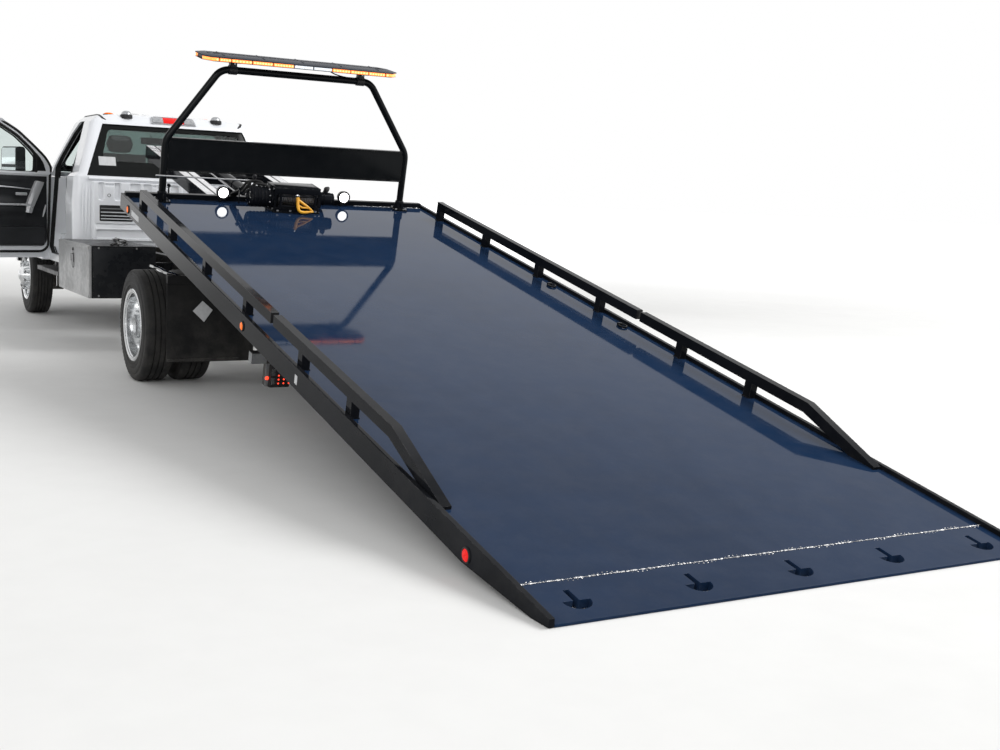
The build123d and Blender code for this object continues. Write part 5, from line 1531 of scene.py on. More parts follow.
    def frame(self) -> None:
        """Front and rear cross rails, fairlead rollers, and the base's bolts."""
        rails = Form(ON_DECK)
        for ds in (-0.098, 0.083):
            for n0, n1 in ((0.118, 0.164), (-0.008, 0.020)):
                rails.box((self.s + ds, -self.half - 0.004, n0),
                          (self.s + ds + 0.014, self.half + 0.004, n1), 0.002)
        rails.box((self.s - 0.094, -self.half, 0.160), (self.s + 0.094, self.half, 0.168), 0.002)
        place(rails, "winch_rails", Body.DECK, BLACK_PAINT)
        rollers = Form(ON_DECK)
        for n in (0.030, 0.106):
            rollers.lathe([(0.0, 0.0), (0.010, 0.0), (0.010, 0.020), (0.006, 0.022), (0.006, 0.286),
                           (0.010, 0.288), (0.010, 0.308), (0.0, 0.308)],
                          (self.s - 0.106, self.half - 0.018, n), (0, -1, 0), 18, close=False)
        for y in (self.half - 0.035, -self.half + 0.035):
            rollers.tube([(self.s - 0.112, y, 0.016), (self.s - 0.112, y, 0.122)], 0.010, 18)
        place(rollers, "fairlead_rollers", Body.DECK, BLACK_PAINT)
        HEXES.at("winch_base_bolts", [(self.s + a * 0.100, y, -0.005) for a in (1, -1)
                                      for y in (0.150, 0.050, -0.050, -0.150)],
                 (0.019, 0.019, 0.010), Body.DECK, STEEL, ON_DECK)
        sides = [(self.s + a * 0.070, y, n) for a in (1, -1) for n in (0.0, 0.150)
                 for y in (self.half + 0.011, -self.half - 0.011)]
        HEXES.at("winch_side_bolts", sides, (0.015, 0.015, 0.008), Body.DECK, STEEL, ON_DECK, aim=(0, 1, 0))

    def hook(self) -> None:
        """Yellow hook hanging from the rope, its latch, the bright thimble and the short taut rope."""
        lean = Matrix.Rotation(math.radians(-self.hook_lean), 4, "Y")
        hung = Placing(ON_DECK.matrix @ Matrix.Translation((self.hook_s, 0.0, self.hook_n)) @ lean)
        body = Form(hung)
        body.tube(bent([(0.004, 0.0, 0), (-0.045, 0.004, 0), (-0.084, 0.000, 0), (-0.097, -0.016, 0),
                        (-0.099, -0.046, 0), (-0.094, -0.080, 0), (-0.093, -0.116, 0)], 0.012, 4),
                  [0.012] * 8 + [0.011] * 14 + [0.009] * 4 + [0.004], 12)
        body.tube(bent([(-0.004, -0.004, 0), (-0.038, -0.050, 0), (-0.068, -0.090, 0), (-0.090, -0.112, 0)],
                       0.01, 3), [0.010] * 5 + [0.008] * 4 + [0.005], 12)
        body.tube([(-0.046, 0.0, 0), (-0.062, -0.030, 0), (-0.066, -0.078, 0)], [0.008, 0.007, 0.006], 10)
        body.lathe([(0.0, -0.004), (0.013, -0.002), (0.015, 0.006), (0.015, 0.016), (0.011, 0.022),
                    (0.0, 0.023)], (0, 0, 0), (1, 0, 0), 20, close=False)
        place(body, "hook_body", Body.DECK, HOOK_PAINT, ("tow_hook",), fold=50.0)
        eye = Form(hung)
        ring = [(0.020 + 0.014 * math.cos(t), 0.013 * math.sin(t), 0.0)
                for t in (2 * math.pi * k / 20 for k in range(21))]
        eye.tube(ring, 0.0065, 10)
        eye.tube([(0.026, 0.0, 0.0), (0.036, 0.0, 0.004)], [0.012, 0.009], 12)
        place(eye, "rope_thimble", Body.DECK, CHROME, ("tow_hook",))
        self.rope()

    def rope(self) -> None:
        """The rope from the thimble back to the drum's top, held taut."""
        start = (self.hook_s + 0.005, 0.0, self.hook_n + 0.018)
        end = (self.s - 0.008, 0.0, self.drum_n + self.drum_r + self.rope_r - 0.003)
        points = [Vector(start).lerp(Vector(end), t) + Vector((0, 0, -0.0015 * math.sin(math.pi * t)))
                  for t in (0.0, 0.25, 0.5, 0.75, 1.0)]
        curve = bpy.data.curves.new("winch_rope", "CURVE")
        curve.dimensions = "3D"
        spline = curve.splines.new("NURBS")
        spline.points.add(len(points) - 1)
        for knot, spot in zip(spline.points, points):
            knot.co = (*(ON_DECK.matrix @ spot), 1.0)
        spline.order_u = 3
        spline.use_endpoint_u = True
        curve.bevel_depth = self.rope_r
        curve.bevel_resolution = 5
        curve.use_fill_caps = True
        item = bpy.data.objects.new("winch_rope", curve)
        bpy.context.collection.objects.link(item)
        finish_piece(item, Body.DECK, ROPE, ("tow_hook",))


@dataclass
class TiltDress:
    """The tilting frame below the deck: beams, cylinders and the tail lamps."""

    beam_y: float = 0.375
    beam_top: float = -0.088
    beam_front: float = 8.620
    bar_s: float = 4.00496
    bar_n: float = -0.50156
    lamp_y: float = 0.720
    cylinder_drop: float = 0.052
    port_s: Pair = (5.86, 8.42)
    ring_s: tuple[float, ...] = (5.790, 6.30, 7.30, 8.48)
    pad_s: Pair = (4.0, 5.1)

    def build(self) -> None:
        """Finishes the frame's nodes and adds its pieces."""
        for node, finish, edge in (("tilt_frame", BLACK_PAINT, 0.003), ("slide_cylinder", BLACK_PAINT, 0.0),
                                   ("tail_lamp_bar", FRAME_PAINT, 0.003), ("tilt_barrels", FRAME_PAINT, 0.0),
                                   ("tilt_rods", CHROME, 0.0)):
            dress(node, finish, edge)
        self.strips()
        self.cylinder()
        self.tail_lamps()

    def strips(self) -> None:
        """Bright rubbed bands on the beams' tops, and the pads that the deck slides on."""
        bands = Form(ON_DECK)
        for side in (1, -1):
            for lo, hi in ((0.308, 0.358), (0.378, 0.440)):
                bands.box((5.30, side * lo, self.beam_top - 0.001), (self.beam_front - 0.004, side * hi,
                          self.beam_top + 0.0015), 0.0006)
        place(bands, "beam_wear_bands", Body.TILT, WELD_BAND)
        pads = Form(ON_DECK)
        for side in (1, -1):
            for s in self.pad_s:
                pads.box((s, side * (self.beam_y - 0.066), self.beam_top),
                         (s + 0.16, side * (self.beam_y + 0.066), self.beam_top + 0.003), 0.001)
        place(pads, "beam_slide_pads", Body.TILT, PLASTIC)

    def cylinder(self) -> None:
        """Rings, ports and pipes along the slide cylinder."""
        rings = Form(ON_DECK)
        n = self.beam_top - self.cylinder_drop
        for s in self.ring_s:
            rings.lathe([(0.046, -0.012), (0.054, -0.010), (0.054, 0.010), (0.046, 0.012)], (s, 0, n - 0.001),
                        (1, 0, 0), 32)
        place(rings, "slide_cylinder_rings", Body.TILT, BLACK_PAINT)
        ports = Form(ON_DECK)
        for s in self.port_s:
            ports.lathe([(0.0, 0.0), (0.013, 0.0), (0.013, 0.024), (0.0, 0.024)], (s, 0.044, n), (0, 1, 0),
                        12, close=False)
            ports.tube(bent([(s, 0.066, n), (s, 0.090, n), (s + 0.05, 0.090, n),
                             (s + (0.3 if s < 7 else -0.3), 0.090, n)], 0.02, 5), 0.007, 8)
        ports.tube([(6.16, 0.090, n), (8.12, 0.090, n)], 0.007, 8)
        place(ports, "slide_cylinder_pipes", Body.TILT, STEEL)

    def tail_lamps(self) -> None:
        """Lamp cans with their red diodes, the side markers and the bar's pale ends."""
        s, n = self.bar_s, self.bar_n
        cans, posts, marks, ends, clear = (Form(ON_DECK) for _ in range(5))
        dots: list[Point] = []
        for side in (1, -1):
            lo, hi = side * (self.lamp_y - 0.0625), side * (self.lamp_y + 0.073)
            cans.box((s - 0.046, lo, n - 0.190), (s + 0.015, hi, n - 0.036), 0.010)
            cans.box((s - 0.053, lo + side * 0.004, n - 0.185), (s - 0.040, hi - side * 0.004, n - 0.041),
                     0.006)
            for row in range(4):
                for col in range(3):
                    dots.append((s - 0.0545, side * (self.lamp_y - 0.052 + 0.034 * col),
                                 n - 0.158 + 0.026 * row))
            for col in range(2):
                clear.box((s - 0.0555, side * (self.lamp_y + 0.040), n - 0.165 + 0.060 * col),
                          (s - 0.050, side * (self.lamp_y + 0.064), n - 0.120 + 0.060 * col), 0.002)
            posts.box((s - 0.028, side * 0.790, n - 0.185), (s + 0.018, side * 0.816, n - 0.018), 0.002)
            marks.lathe([(0.0, 0.010), (0.006, 0.009), (0.011, 0.004), (0.012, 0.0), (0.0, 0.0)],
                        (s - 0.028, side * 0.803, n - 0.130), (-1, 0, 0), 18, close=False)
            ends.box((s - 0.031, side * 0.815, n - 0.033), (s - 0.0305, side * 0.908, n + 0.033))
            ends.box((s - 0.030, side * 0.9095, n - 0.032), (s + 0.030, side * 0.9115, n + 0.032))
        place(cans, "tail_lamp_cans", Body.TILT, PLASTIC, ("tail_lamps",))
        place(posts, "tail_lamp_posts", Body.TILT, STEEL_GREY)
        place(marks, "tail_side_markers", Body.TILT, RED_LED)
        place(ends, "tail_bar_ends", Body.TILT, STEEL_GREY)
        place(clear, "tail_reverse_lenses", Body.TILT, CLEAR_LENS, ("tail_lamps",))
        BEADS.at("tail_lamp_diodes", dots, (0.006, 0.0105, 0.0105), Body.TILT, RED_LED, ON_DECK)


@dataclass
class WheelsDress:
    """Tyres with their grooves, bright wheels, nuts and hub covers."""

    rear_x: float = 5.860
    front_x: float = 11.067
    radius: float = 0.405
    rim: float = 0.250
    half: float = 0.1125
    dual_y: float = 0.940
    dual_off: float = 0.139
    front_y: float = 0.965
    shoulder_lugs: int = 72
    nuts: int = 10
    nut_circle: float = 0.138
    valve_circle: float = 0.205
    valve_angle: float = 63.0

    def build(self) -> None:
        """Builds every wheel's pieces."""
        for side, word in ((1, "left"), (-1, "right")):
            for node in (f"front_wheel_{word}", f"rear_wheels_{word}"):
                dress(node, ALLOY, 0.002)
            front = Body.FRONT_LEFT if side > 0 else Body.FRONT_RIGHT
            rear = Body.REAR_LEFT if side > 0 else Body.REAR_RIGHT
            self.tyre(f"front_tyre_{word}_rubber", self.front_x, [side * self.front_y], front,
                      f"front_tyre_{word}", 5)
            self.tyre(f"rear_tyres_{word}_rubber", self.rear_x,
                      [side * (self.dual_y + d) for d in (self.dual_off, -self.dual_off)], rear,
                      f"rear_tyres_{word}", 4)
            self.bright_work(word, side, front, rear)

    def profile(self, ribs: int) -> list[tuple[float, float]]:
        """Half tyre outline mirrored: bead, sidewall with its rings, shoulder, and grooved tread.

        Args:
            ribs: number of ribs on the tread.

        Returns:
            Its points of (radius, distance along the axle).
        """
        r, w, rim = self.radius, self.half, self.rim
        side = [(rim + 0.001, 0.098), (rim + 0.014, 0.101), (rim + 0.020, 0.106), (rim + 0.030, 0.1085),
                (rim + 0.033, 0.1065), (rim + 0.037, 0.1065), (rim + 0.040, 0.111), (rim + 0.062, w),
                (rim + 0.066, w - 0.0016), (rim + 0.070, w), (rim + 0.095, w - 0.0008),
                (r - 0.048, w - 0.004), (r - 0.044, w - 0.007), (r - 0.040, w - 0.006),
                (r - 0.024, w - 0.009), (r - 0.012, w - 0.013), (r - 0.004, w - 0.021),
                (r - 0.0005, w - 0.031)]
        tread = []
        span = 2 * (w - 0.034)
        for k in range(1, ribs):
            mid = (w - 0.034) - span * k / ribs
            tread += [(r, mid + 0.0055), (r - 0.011, mid + 0.0035), (r - 0.011, mid - 0.0035),
                      (r, mid - 0.0055)]
        back = [(a, -b) for a, b in reversed(side)]
        return side + tread + back

    def tyre(self, name: str, x: float, ys: Sequence[float], body: Body, node: str, ribs: int) -> None:
        """One body's tyres, and the small lugs round their shoulders.

        Args:
            name: the piece's name.
            x: station.
            ys: widths of the tyres' middles.
            body: the body that carries it.
            node: the CAD node that it is shown in place of.
            ribs: number of ribs on the tread.
        """
        rubber = Form()
        outline = self.profile(ribs)
        for y in ys:
            rubber.lathe(outline, (x, y, self.radius), (0, 1, 0), 96)
        place(rubber, name, body, TYRE_RUBBER, (node,), fold=35.0)
        lugs = Form()
        for y in ys:
            for t in angles(self.shoulder_lugs, 0.5):
                for way in (1, -1):
                    out = Vector((math.cos(t), 0, math.sin(t)))
                    side = Vector((-math.sin(t), 0, math.cos(t)))
                    a = Vector((x, y, self.radius))
                    corners = []
                    for r, w in ((self.radius - 0.0215, self.half - 0.0085),
                                 (self.radius - 0.012, self.half - 0.0115),
                                 (self.radius - 0.012, self.half - 0.016),
                                 (self.radius - 0.0215, self.half - 0.016)):
                        corners.append((r, w * way))
                    lugs.rings([[a + out * r + side * d + Vector((0, w, 0)) for r, w in corners]
                                for d in (-0.0095, 0.0055)])
        place(lugs, name + "_shoulder_lugs", body, TYRE_RUBBER)

    def bright_work(self, word: str, side: int, front: Body, rear: Body) -> None:
        """Rim lips, and hub covers with stepped rings.

        Args:
            word: the side's name.
            side: 1 for the left, -1 for the right.
            front: the front wheel's body.
            rear: the rear wheels' body.
        """
        lips, hubs = Form(), Form()
        c = (self.front_x, side * self.front_y, self.radius)
        out = (0, side, 0)
        rim = self.rim
        lips.lathe([(rim - 0.013, 0.094), (rim + 0.006, 0.1045), (rim + 0.0135, 0.1065),
                    (rim + 0.0145, 0.108), (rim + 0.010, 0.112), (rim - 0.006, 0.109),
                    (rim - 0.018, 0.096)], c, out, 96)
        hubs.lathe([(0.0, 0.186), (0.030, 0.185), (0.046, 0.180), (0.052, 0.172), (0.066, 0.168),
                    (0.072, 0.160), (0.082, 0.152), (0.086, 0.148), (0.104, 0.112), (0.112, 0.094),
                    (0.0, 0.094)], c, out, 64, close=False)
        place(lips, f"front_rim_lip_{word}", front, CHROME)
        place(hubs, f"front_hub_cover_{word}", front, CHROME)
        lips, hubs = Form(), Form()
        c = (self.rear_x, side * self.dual_y, self.radius)
        y_out = self.dual_off + 0.106
        lips.lathe([(rim - 0.013, y_out - 0.014), (rim + 0.0135, y_out - 0.002), (rim + 0.0145, y_out),
                    (rim + 0.010, y_out + 0.004), (rim - 0.006, y_out + 0.001), (rim - 0.018, y_out - 0.012)],
                   c, out, 96)
        hubs.lathe([(0.0, 0.150), (0.030, 0.149), (0.050, 0.144), (0.056, 0.136), (0.062, 0.132),
                    (0.070, 0.122), (0.074, 0.060), (0.080, 0.044), (0.096, 0.034), (0.104, 0.024),
                    (0.0, 0.024)], c, out, 64, close=False)
        for t in angles(24):
            spot = (c[0] + 0.0735 * math.cos(t), c[1] + side * 0.092, c[2] + 0.0735 * math.sin(t))
            hubs.box([v - 0.0025 if i != 1 else v - 0.028 for i, v in enumerate(spot)],
                     [v + 0.0025 if i != 1 else v + 0.028 for i, v in enumerate(spot)], 0.001)
        place(lips, f"rear_rim_lip_{word}", rear, CHROME)
        place(hubs, f"rear_hub_cover_{word}", rear, CHROME)
        self.nut_covers(word, side, front, rear)

    def nut_covers(self, word: str, side: int, front: Body, rear: Body) -> None:
        """Domed nut covers round each hub, and the tyre valves.

        Args:
            word: the side's name.
            side: 1 for the left, -1 for the right.
            front: the front wheel's body.
            rear: the rear wheels' body.
        """
        for name, x, y, reach, body in (("front", self.front_x, self.front_y, 0.145, front),
                                        ("rear", self.rear_x, self.dual_y, 0.070, rear)):
            nuts, tips = [], []
            for t in angles(self.nuts, 0.5):
                spot = (x + self.nut_circle * math.cos(t), self.radius + self.nut_circle * math.sin(t))
                nuts.append((spot[0], side * (y + reach - 0.012), spot[1]))
                tips.append((spot[0], side * (y + reach + 0.002), spot[1]))
            HEXES.at(f"{name}_nut_covers_{word}", nuts, (0.037, 0.037, 0.034), body, CHROME, aim=(0, side, 0))
            ROUNDS.at(f"{name}_nut_tips_{word}", tips, (0.024, 0.024, 0.018), body, CHROME, aim=(0, side, 0))
            valve = Form()
            t = math.radians(self.valve_angle)
            spot = Vector((x + self.valve_circle * math.cos(t),
                           side * (y + (0.070 if name == "front" else 0.050)),
                           self.radius + self.valve_circle * math.sin(t)))
            valve.tube([spot - Vector((0, side * 0.02, 0)), spot,
                        spot + Vector((0.006, side * 0.035, 0.012))], 0.004, 8)
            place(valve, f"{name}_valve_{word}", body, STEEL)




# Outlines of the left door and of its window, as (x, z).
DOOR_LINE = ((9.260, 0.700), (9.260, 1.475), (9.452, 2.004), (9.640, 2.004), (9.844, 1.905), (10.042, 1.765),
             (10.179, 1.660), (10.262, 1.560), (10.262, 0.760), (10.190, 0.700))
WINDOW_LINE = ((9.345, 1.505), (9.490, 1.952), (9.625, 1.952), (9.830, 1.848), (9.985, 1.735),
               (10.075, 1.655), (10.090, 1.505))


@dataclass
class CabDress:
    """The cab: shell pressings, glass bands, lamps, seals, doors' trim and the room inside."""

    back: float = 8.908
    cowl: float = 10.640
    half: float = 1.005
    belt: float = 1.475
    door_rear: float = 9.260
    door_front: float = 10.262
    door_sill: float = 0.700
    relief: float = 0.022
    door_skin: float = 0.9335
    mirror_x: float = 10.005
    dash_x: float = 10.120
    vent_drop: float = 0.0235
    liner_rear: float = 9.24
    cushion_foot: float = 0.900
    seat_parts: tuple[Pair, ...] = ((0.275, 0.765), (-0.262, 0.262), (-0.765, -0.275))
    headrest_y: float = 0.520
    recesses: tuple[Pair, ...] = ((0.775, 0.723), (0.624, 0.565), (0.478, 0.383), (0.355, 0.279),
                                  (0.222, 0.164), (0.096, 0.019))

    def build(self) -> None:
        """Finishes the cab's nodes and adds its pieces."""
        for node, finish, edge in (("cab_shell", WHITE_PAINT, 0.014), ("door_left", WHITE_PAINT, 0.010),
                                   ("door_right", WHITE_PAINT, 0.010), ("cab_glass", GLASS, 0.0),
                                   ("door_glass_left", GLASS, 0.0), ("door_glass_right", GLASS, 0.0),
                                   ("mirror_left", PLASTIC, 0.006), ("mirror_right", PLASTIC, 0.006),
                                   ("dashboard", TRIM, 0.012), ("running_boards", STEP_GRIP, 0.004),
                                   ("cab_lamps", AMBER_LENS, 0.0)):
            dress(node, finish, edge)
        self.rear_glass()
        self.windscreen()
        self.back_panel()
        self.vent()
        self.roof_parts()
        self.apertures()
        for side, word, placing, body in ((1, "left", ON_DOOR, Body.LEFT_DOOR),
                                          (-1, "right", LEVEL.mirrored(), Body.RIGHT_DOOR)):
            self.door_trim(word, placing, body)
            self.mirror(word, placing, body)
        self.seats()
        self.inside()
        self.steps()

    def slope(self, z: float) -> float:
        """Station of the leaning rear pane at a height."""
        return self.back + 0.0215 + (z - self.belt) * 0.232 / 0.535

    def screen(self, z: float, y: float = 0.0) -> float:
        """Station of the rounded windscreen's outer face at a height and a width."""
        return self.cowl - 0.0316 - (z - self.belt) * 0.740 / 0.603 - y * y / (8.8 * 0.632)

    def frame_loop(self, corners: Sequence[Pair], radius: float, steps: int = 6,
                   between: int = 1) -> list[Point]:
        """Rounded loop of (y, z) through corners.

        Args:
            corners: its corners.
            radius: how far each corner is cut back.
            steps: faces on each round.
            between: faces along each straight side.

        Returns:
            The points of the loop.
        """
        path: list[Vector] = []
        count = len(corners)
        for i in range(count):
            before, corner, after = (Vector(corners[(i + d) % count]) for d in (-1, 0, 1))
            path += rounded(before, corner, after, radius, steps)
            two, far = path[-1], after + (corner - after).normalized() * radius
            path += [two.lerp(far, k / between) for k in range(1, between)]
        return path

    def rear_glass(self) -> None:
        """Black band printed round the rear window, its rubber, a dark sheet inside the pane that paints the
        shade of the cab's inside, and a blank label.
        """
        outer = self.frame_loop(trapezium(0.868, 1.491, 0.682, 1.980), 0.026)
        inner = self.frame_loop(trapezium(0.722, 1.630, 0.634, 1.938), 0.055)
        band = Form()
        band.rings([[(self.slope(p[1]) - d, p[0], p[1]) for p in loop]
                    for loop, d in ((outer, 0.0008), (outer, 0.0030), (inner, 0.0030), (inner, 0.0008))],
                   cap=False, round_trip=True)
        place(band, "rear_window_band", Body.CHASSIS, FRIT)
        seal = Form()
        edge = [(self.slope(p[1]) - 0.006, p[0], p[1])
                for p in self.frame_loop(trapezium(0.872, 1.488, 0.686, 1.983), 0.028)]
        seal.tube(edge + edge[:2], 0.006, 8)
        place(seal, "rear_window_seal", Body.CHASSIS, RUBBER)
        # A dark sheet inside the rear pane paints the shade of the cab's inside seen through the glass.
        shade_sheet = Form()

        def spot(u: float, v: float) -> Point:
            """Place on the dark sheet inside the rear pane, painted shade of the cab's inside."""
            z = 1.500 + 0.472 * v
            return (self.slope(z) + 0.014, (0.862 - 0.178 * v) * (1 - 2 * u), z)

        shade_sheet.slab(spot, 6, 4, 0.0006)
        place(shade_sheet, "rear_window_painted_shade_sheet", Body.CHASSIS, REAR_SHADE_TINT)
        label = Form()
        label.slab(lambda u, v: (self.slope(1.589 + 0.082 * v) - 0.0038, 0.592 + 0.157 * u,
                                 1.589 + 0.082 * v), 4, 3, 0.0004)
        place(label, "rear_window_label", Body.CHASSIS, LABEL)

    def windscreen(self) -> None:
        """Black band round the windscreen, its wipers and the cowl cover."""
        outer = self.frame_loop(trapezium(0.872, 1.528, 0.698, 2.016), 0.05, 6, 14)
        inner = self.frame_loop(trapezium(0.815, 1.590, 0.660, 1.965), 0.06, 6, 14)
        band = Form()
        band.rings([[(self.screen(p[1], p[0]) + d, p[0], p[1]) for p in loop]
                    for loop, d in ((outer, 0.0008), (outer, 0.0028), (inner, 0.0028), (inner, 0.0008))],
                   cap=False, round_trip=True)
        place(band, "windscreen_band", Body.CHASSIS, FRIT)
        wipers = Form()
        for y0, y1 in ((0.10, 0.72), (-0.62, -0.02)):
            low, high = 1.560, 1.600
            spots = [(y0 + (y1 - y0) * t, low + (high - low) * t) for t in (0.0, 0.25, 0.5, 0.75, 1.0)]
            blade = [(self.screen(z, y) + 0.016, y, z) for y, z in spots]
            wipers.tube(blade, 0.007, 8)
            mid = blade[2]
            wipers.tube(bent([(self.screen(1.515, y0) + 0.034, y0 + 0.02, 1.512),
                              (self.screen(1.53, y0) + 0.036, y0 + 0.05, 1.535),
                              (mid[0] + 0.014, mid[1], mid[2] + 0.004)], 0.05, 5), [0.010] * 8 + [0.006], 8)
        place(wipers, "wipers", Body.CHASSIS, PLASTIC)
        cover = Form()
        cover.slab(lambda u, v: (self.cowl - 0.045 + 0.055 * v - (1.56 * u - 0.78) ** 2 / 9.0,
                                 -0.78 + 1.56 * u,
                                 self.belt + 0.038 - 0.026 * v + 0.004 * math.sin(u * 220)), 120, 4, 0.004)
        place(cover, "cowl_cover", Body.CHASSIS, PLASTIC)

    def pressing(self, y: float, z: float) -> float:
        """How far the pressed back panel stands behind the cab's rear face, in metres.

        Args:
            y: width.
            z: height.

        Returns:
            The depth, in metres.
        """

        def pocket(y0: float, y1: float, z0: float, z1: float, r: float) -> float:
            """Share of a rounded recess at the spot, with steep walls.

            Args:
                y0: one side.
                y1: the other side.
                z0: its foot.
                z1: its top.
                r: radius of its corners.

            Returns:
                The share, from 0 to 1.
            """
            cy, cz, hy, hz = (y0 + y1) / 2, (z0 + z1) / 2, abs(y1 - y0) / 2, abs(z1 - z0) / 2
            dy, dz = max(abs(y - cy) - hy + r, 0.0), max(abs(z - cz) - hz + r, 0.0)
            t = min(max(0.5 - (math.hypot(dy, dz) - r) / 0.010, 0.0), 1.0)
            return t * t * (3 - 2 * t)

        sunk = max(0.9 * pocket(-0.795, 0.795, 0.905, 0.985, 0.020),
                   0.7 * pocket(-0.80, 0.80, 1.000, 1.042, 0.010))
        for side in (1, -1):
            for far, near in self.recesses:
                sunk = max(sunk, pocket(side * far, side * near, 1.264, 1.426, 0.020))
            for far, near in ((0.712, 0.636), (0.262, 0.236), (0.148, 0.112)):
                sunk = max(sunk, 0.8 * pocket(side * far, side * near, 1.400, 1.414, 0.006))
        edge = min(max((0.832 - abs(y)) / 0.016, 0.0), 1.0)
        lip = min(max((1.440 - z) / 0.008, 0.0), 1.0) if z > 1.43 else 1.0
        foot = min(max((z - 0.895) / 0.012, 0.0), 1.0)
        shelf = 0.010 * min(max((1.040 - z) / 0.030, 0.0), 1.0)
        return (self.relief * (1.0 - 0.92 * sunk) + shelf) * edge * lip * foot

    def back_panel(self) -> None:
        """The pressed rear wall, its corner beads, the window's sill, the drain plugs and the wall's foot."""
        wall = Form()
        wall.slab(lambda u, v: (self.back - 0.0006 - self.pressing(-0.84 + 1.68 * u, 0.89 + 0.553 * v),
                                -0.84 + 1.68 * u, 0.89 + 0.553 * v), 380, 124)
        place(wall, "back_wall_pressing", Body.CHASSIS, WHITE_PAINT, fold=60.0)
        beads = Form()
        for side in (1, -1):
            for y, r in ((0.856, 0.008), (0.886, 0.010), (0.916, 0.008)):
                path = [(self.back - 0.001, side * y, 0.915), (self.back - 0.001, side * y, 1.10),
                        (self.back - 0.001, side * (y - 0.002), 1.30),
                        (self.back - 0.001, side * (y - 0.008), 1.425)]
                beads.tube(path, [r * 0.4, r, r, r * 0.4], 10)
        place(beads, "corner_beads", Body.CHASSIS, WHITE_PAINT)
        sill = Form()
        sill.slab(lambda u, v: (self.back - 0.006 - 0.016 * math.sin(math.pi * v), -0.86 + 1.72 * u,
                                1.443 + 0.036 * v), 8, 8)
        place(sill, "rear_window_sill", Body.CHASSIS, WHITE_PAINT)
        hole = Form()
        for side in (1, -1):
            hole.lathe([(0.0, 0.0225), (0.011, 0.0225), (0.016, 0.0245), (0.016, 0.0205), (0.0, 0.0205)],
                       (self.back, side * 0.677, 1.309), (-1, 0, 0), 20, close=False)
        place(hole, "drain_plugs", Body.CHASSIS, RUBBER)
        channel = Form()
        channel.box((self.back - 0.036, -0.83, 0.885), (self.back + 0.002, 0.83, 0.902), 0.004)
        channel.box((self.back - 0.012, -0.80, 0.845), (self.back + 0.002, 0.80, 0.887), 0.003)
        place(channel, "back_wall_foot", Body.CHASSIS, WHITE_PAINT)

    def vent(self) -> None:
        """The cab's black pressure vent with pale slats, low on the left of the rear wall; the top slat is
        darker grey as painted shade under the frame.
        """
        x = self.back - self.vent_drop
        frame = Form()
        frame.box((x - 0.004, 0.455, 1.066), (x + 0.024, 0.766, 1.219), 0.010)
        place(frame, "vent_frame", Body.CHASSIS, RUBBER)
        slats, top = Form(), Form()
        # The top slat takes a darker grey: painted shade under the frame's top.
        for z, form in ((1.089, slats), (1.118, slats), (1.151, slats), (1.184, top)):
            form.prism([(x - 0.004, z - 0.006), (x - 0.011, z - 0.002), (x - 0.011, z + 0.003),
                        (x - 0.004, z + 0.005)], flat_xz, 0.466, 0.754)
        place(slats, "vent_slats", Body.CHASSIS, VENT_WHITE)
        place(top, "vent_top_slat_painted_shade", Body.CHASSIS, TRIM_GREY)

    def roof_line(self, x: float, y: float) -> float:
        """Height of the roof at a station and a width.

        Args:
            x: station.
            y: width.

        Returns:
            The height.
        """
        rear = [(8.908, 1.475), (9.140, 2.010), (9.230, 2.080), (9.500, 2.115), (9.780, 2.107),
                (9.900, 2.078), (10.640, 1.475)]
        across = [(0.0, 2.115), (0.400, 2.104), (0.720, 2.062), (0.790, 2.000), (0.935, 1.520)]
        return min(self._look_up(rear, x), self._look_up(across, abs(y)))

    @staticmethod
    def _look_up(table: Sequence[tuple[float, float]], at: float) -> float:
        """Value of a broken line at a place.

        Args:
            table: points of (place, value).
            at: the place.

        Returns:
            The value.
        """
        for (a, za), (b, zb) in zip(table, table[1:]):
            if at <= b:
                return za + (zb - za) * (at - a) / (b - a)
        return table[-1][1]

    def roof_parts(self) -> None:
        """Drip mouldings, roof beads, the high brake lamp's lenses and the roof lamps."""
        strips, seams = Form(), Form()
        for side in (1, -1):
            path = [(x, side * 0.704, self.roof_line(x, 0.704) + 0.002)
                    for x in (9.840 - 0.05 * k for k in range(12))]
            path += [(9.215, side * 0.696, 2.057), (9.182, side * 0.676, 2.036), (9.160, side * 0.648, 2.014)]
            strips.tube(path, [0.006] + [0.011] * 11 + [0.014] * 2 + [0.011], 8)
            for y in (0.22, 0.44):
                ridge = [(x, side * y, self.roof_line(x, y) - 0.0035)
                         for x in (9.30 + 0.055 * k for k in range(10))]
                seams.tube(ridge, [0.002] + [0.008] * 8 + [0.002], 8)
        place(strips, "drip_mouldings", Body.CHASSIS, PLASTIC)
        place(seams, "roof_beads", Body.CHASSIS, WHITE_PAINT)
        clear, red, rim = Form(), Form(), Form()

        def on_slope(y: float, t: float, out: float) -> Point:
            """A spot on the leaning header between the window and the roof."""
            return (9.130 + 0.084 * t - 0.635 * out, y, 2.014 + 0.069 * t + 0.773 * out)

        for lo, hi, form in ((-0.206, -0.104, clear), (-0.098, 0.098, red), (0.104, 0.206, clear)):
            form.slab(lambda u, v, a=lo, b=hi: on_slope(a + (b - a) * u, 0.12 + 0.76 * v,
                                                       0.004 + 0.006 * math.sin(math.pi * v)), 12, 8, 0.003)
        outline = self.frame_loop(trapezium(0.222, 0.0, 0.206, 1.0), 0.05)
        rim.rings([[on_slope(p[0] * k, 0.5 + (p[1] - 0.5) * k, d) for p in outline]
                   for k, d in ((1.0, -0.006), (1.0, 0.004), (0.975, 0.006), (0.950, 0.004),
                                (0.950, -0.006))], cap=False, round_trip=True)
        place(clear, "brake_lamp_clear", Body.CHASSIS, LAMP_GLASS, ("cab_lamps",))
        place(red, "brake_lamp_red", Body.CHASSIS, RED_LENS, ("cab_lamps",))
        place(rim, "brake_lamp_rim", Body.CHASSIS, SILVER_TRIM, ("cab_lamps",))
        self.roof_markers()

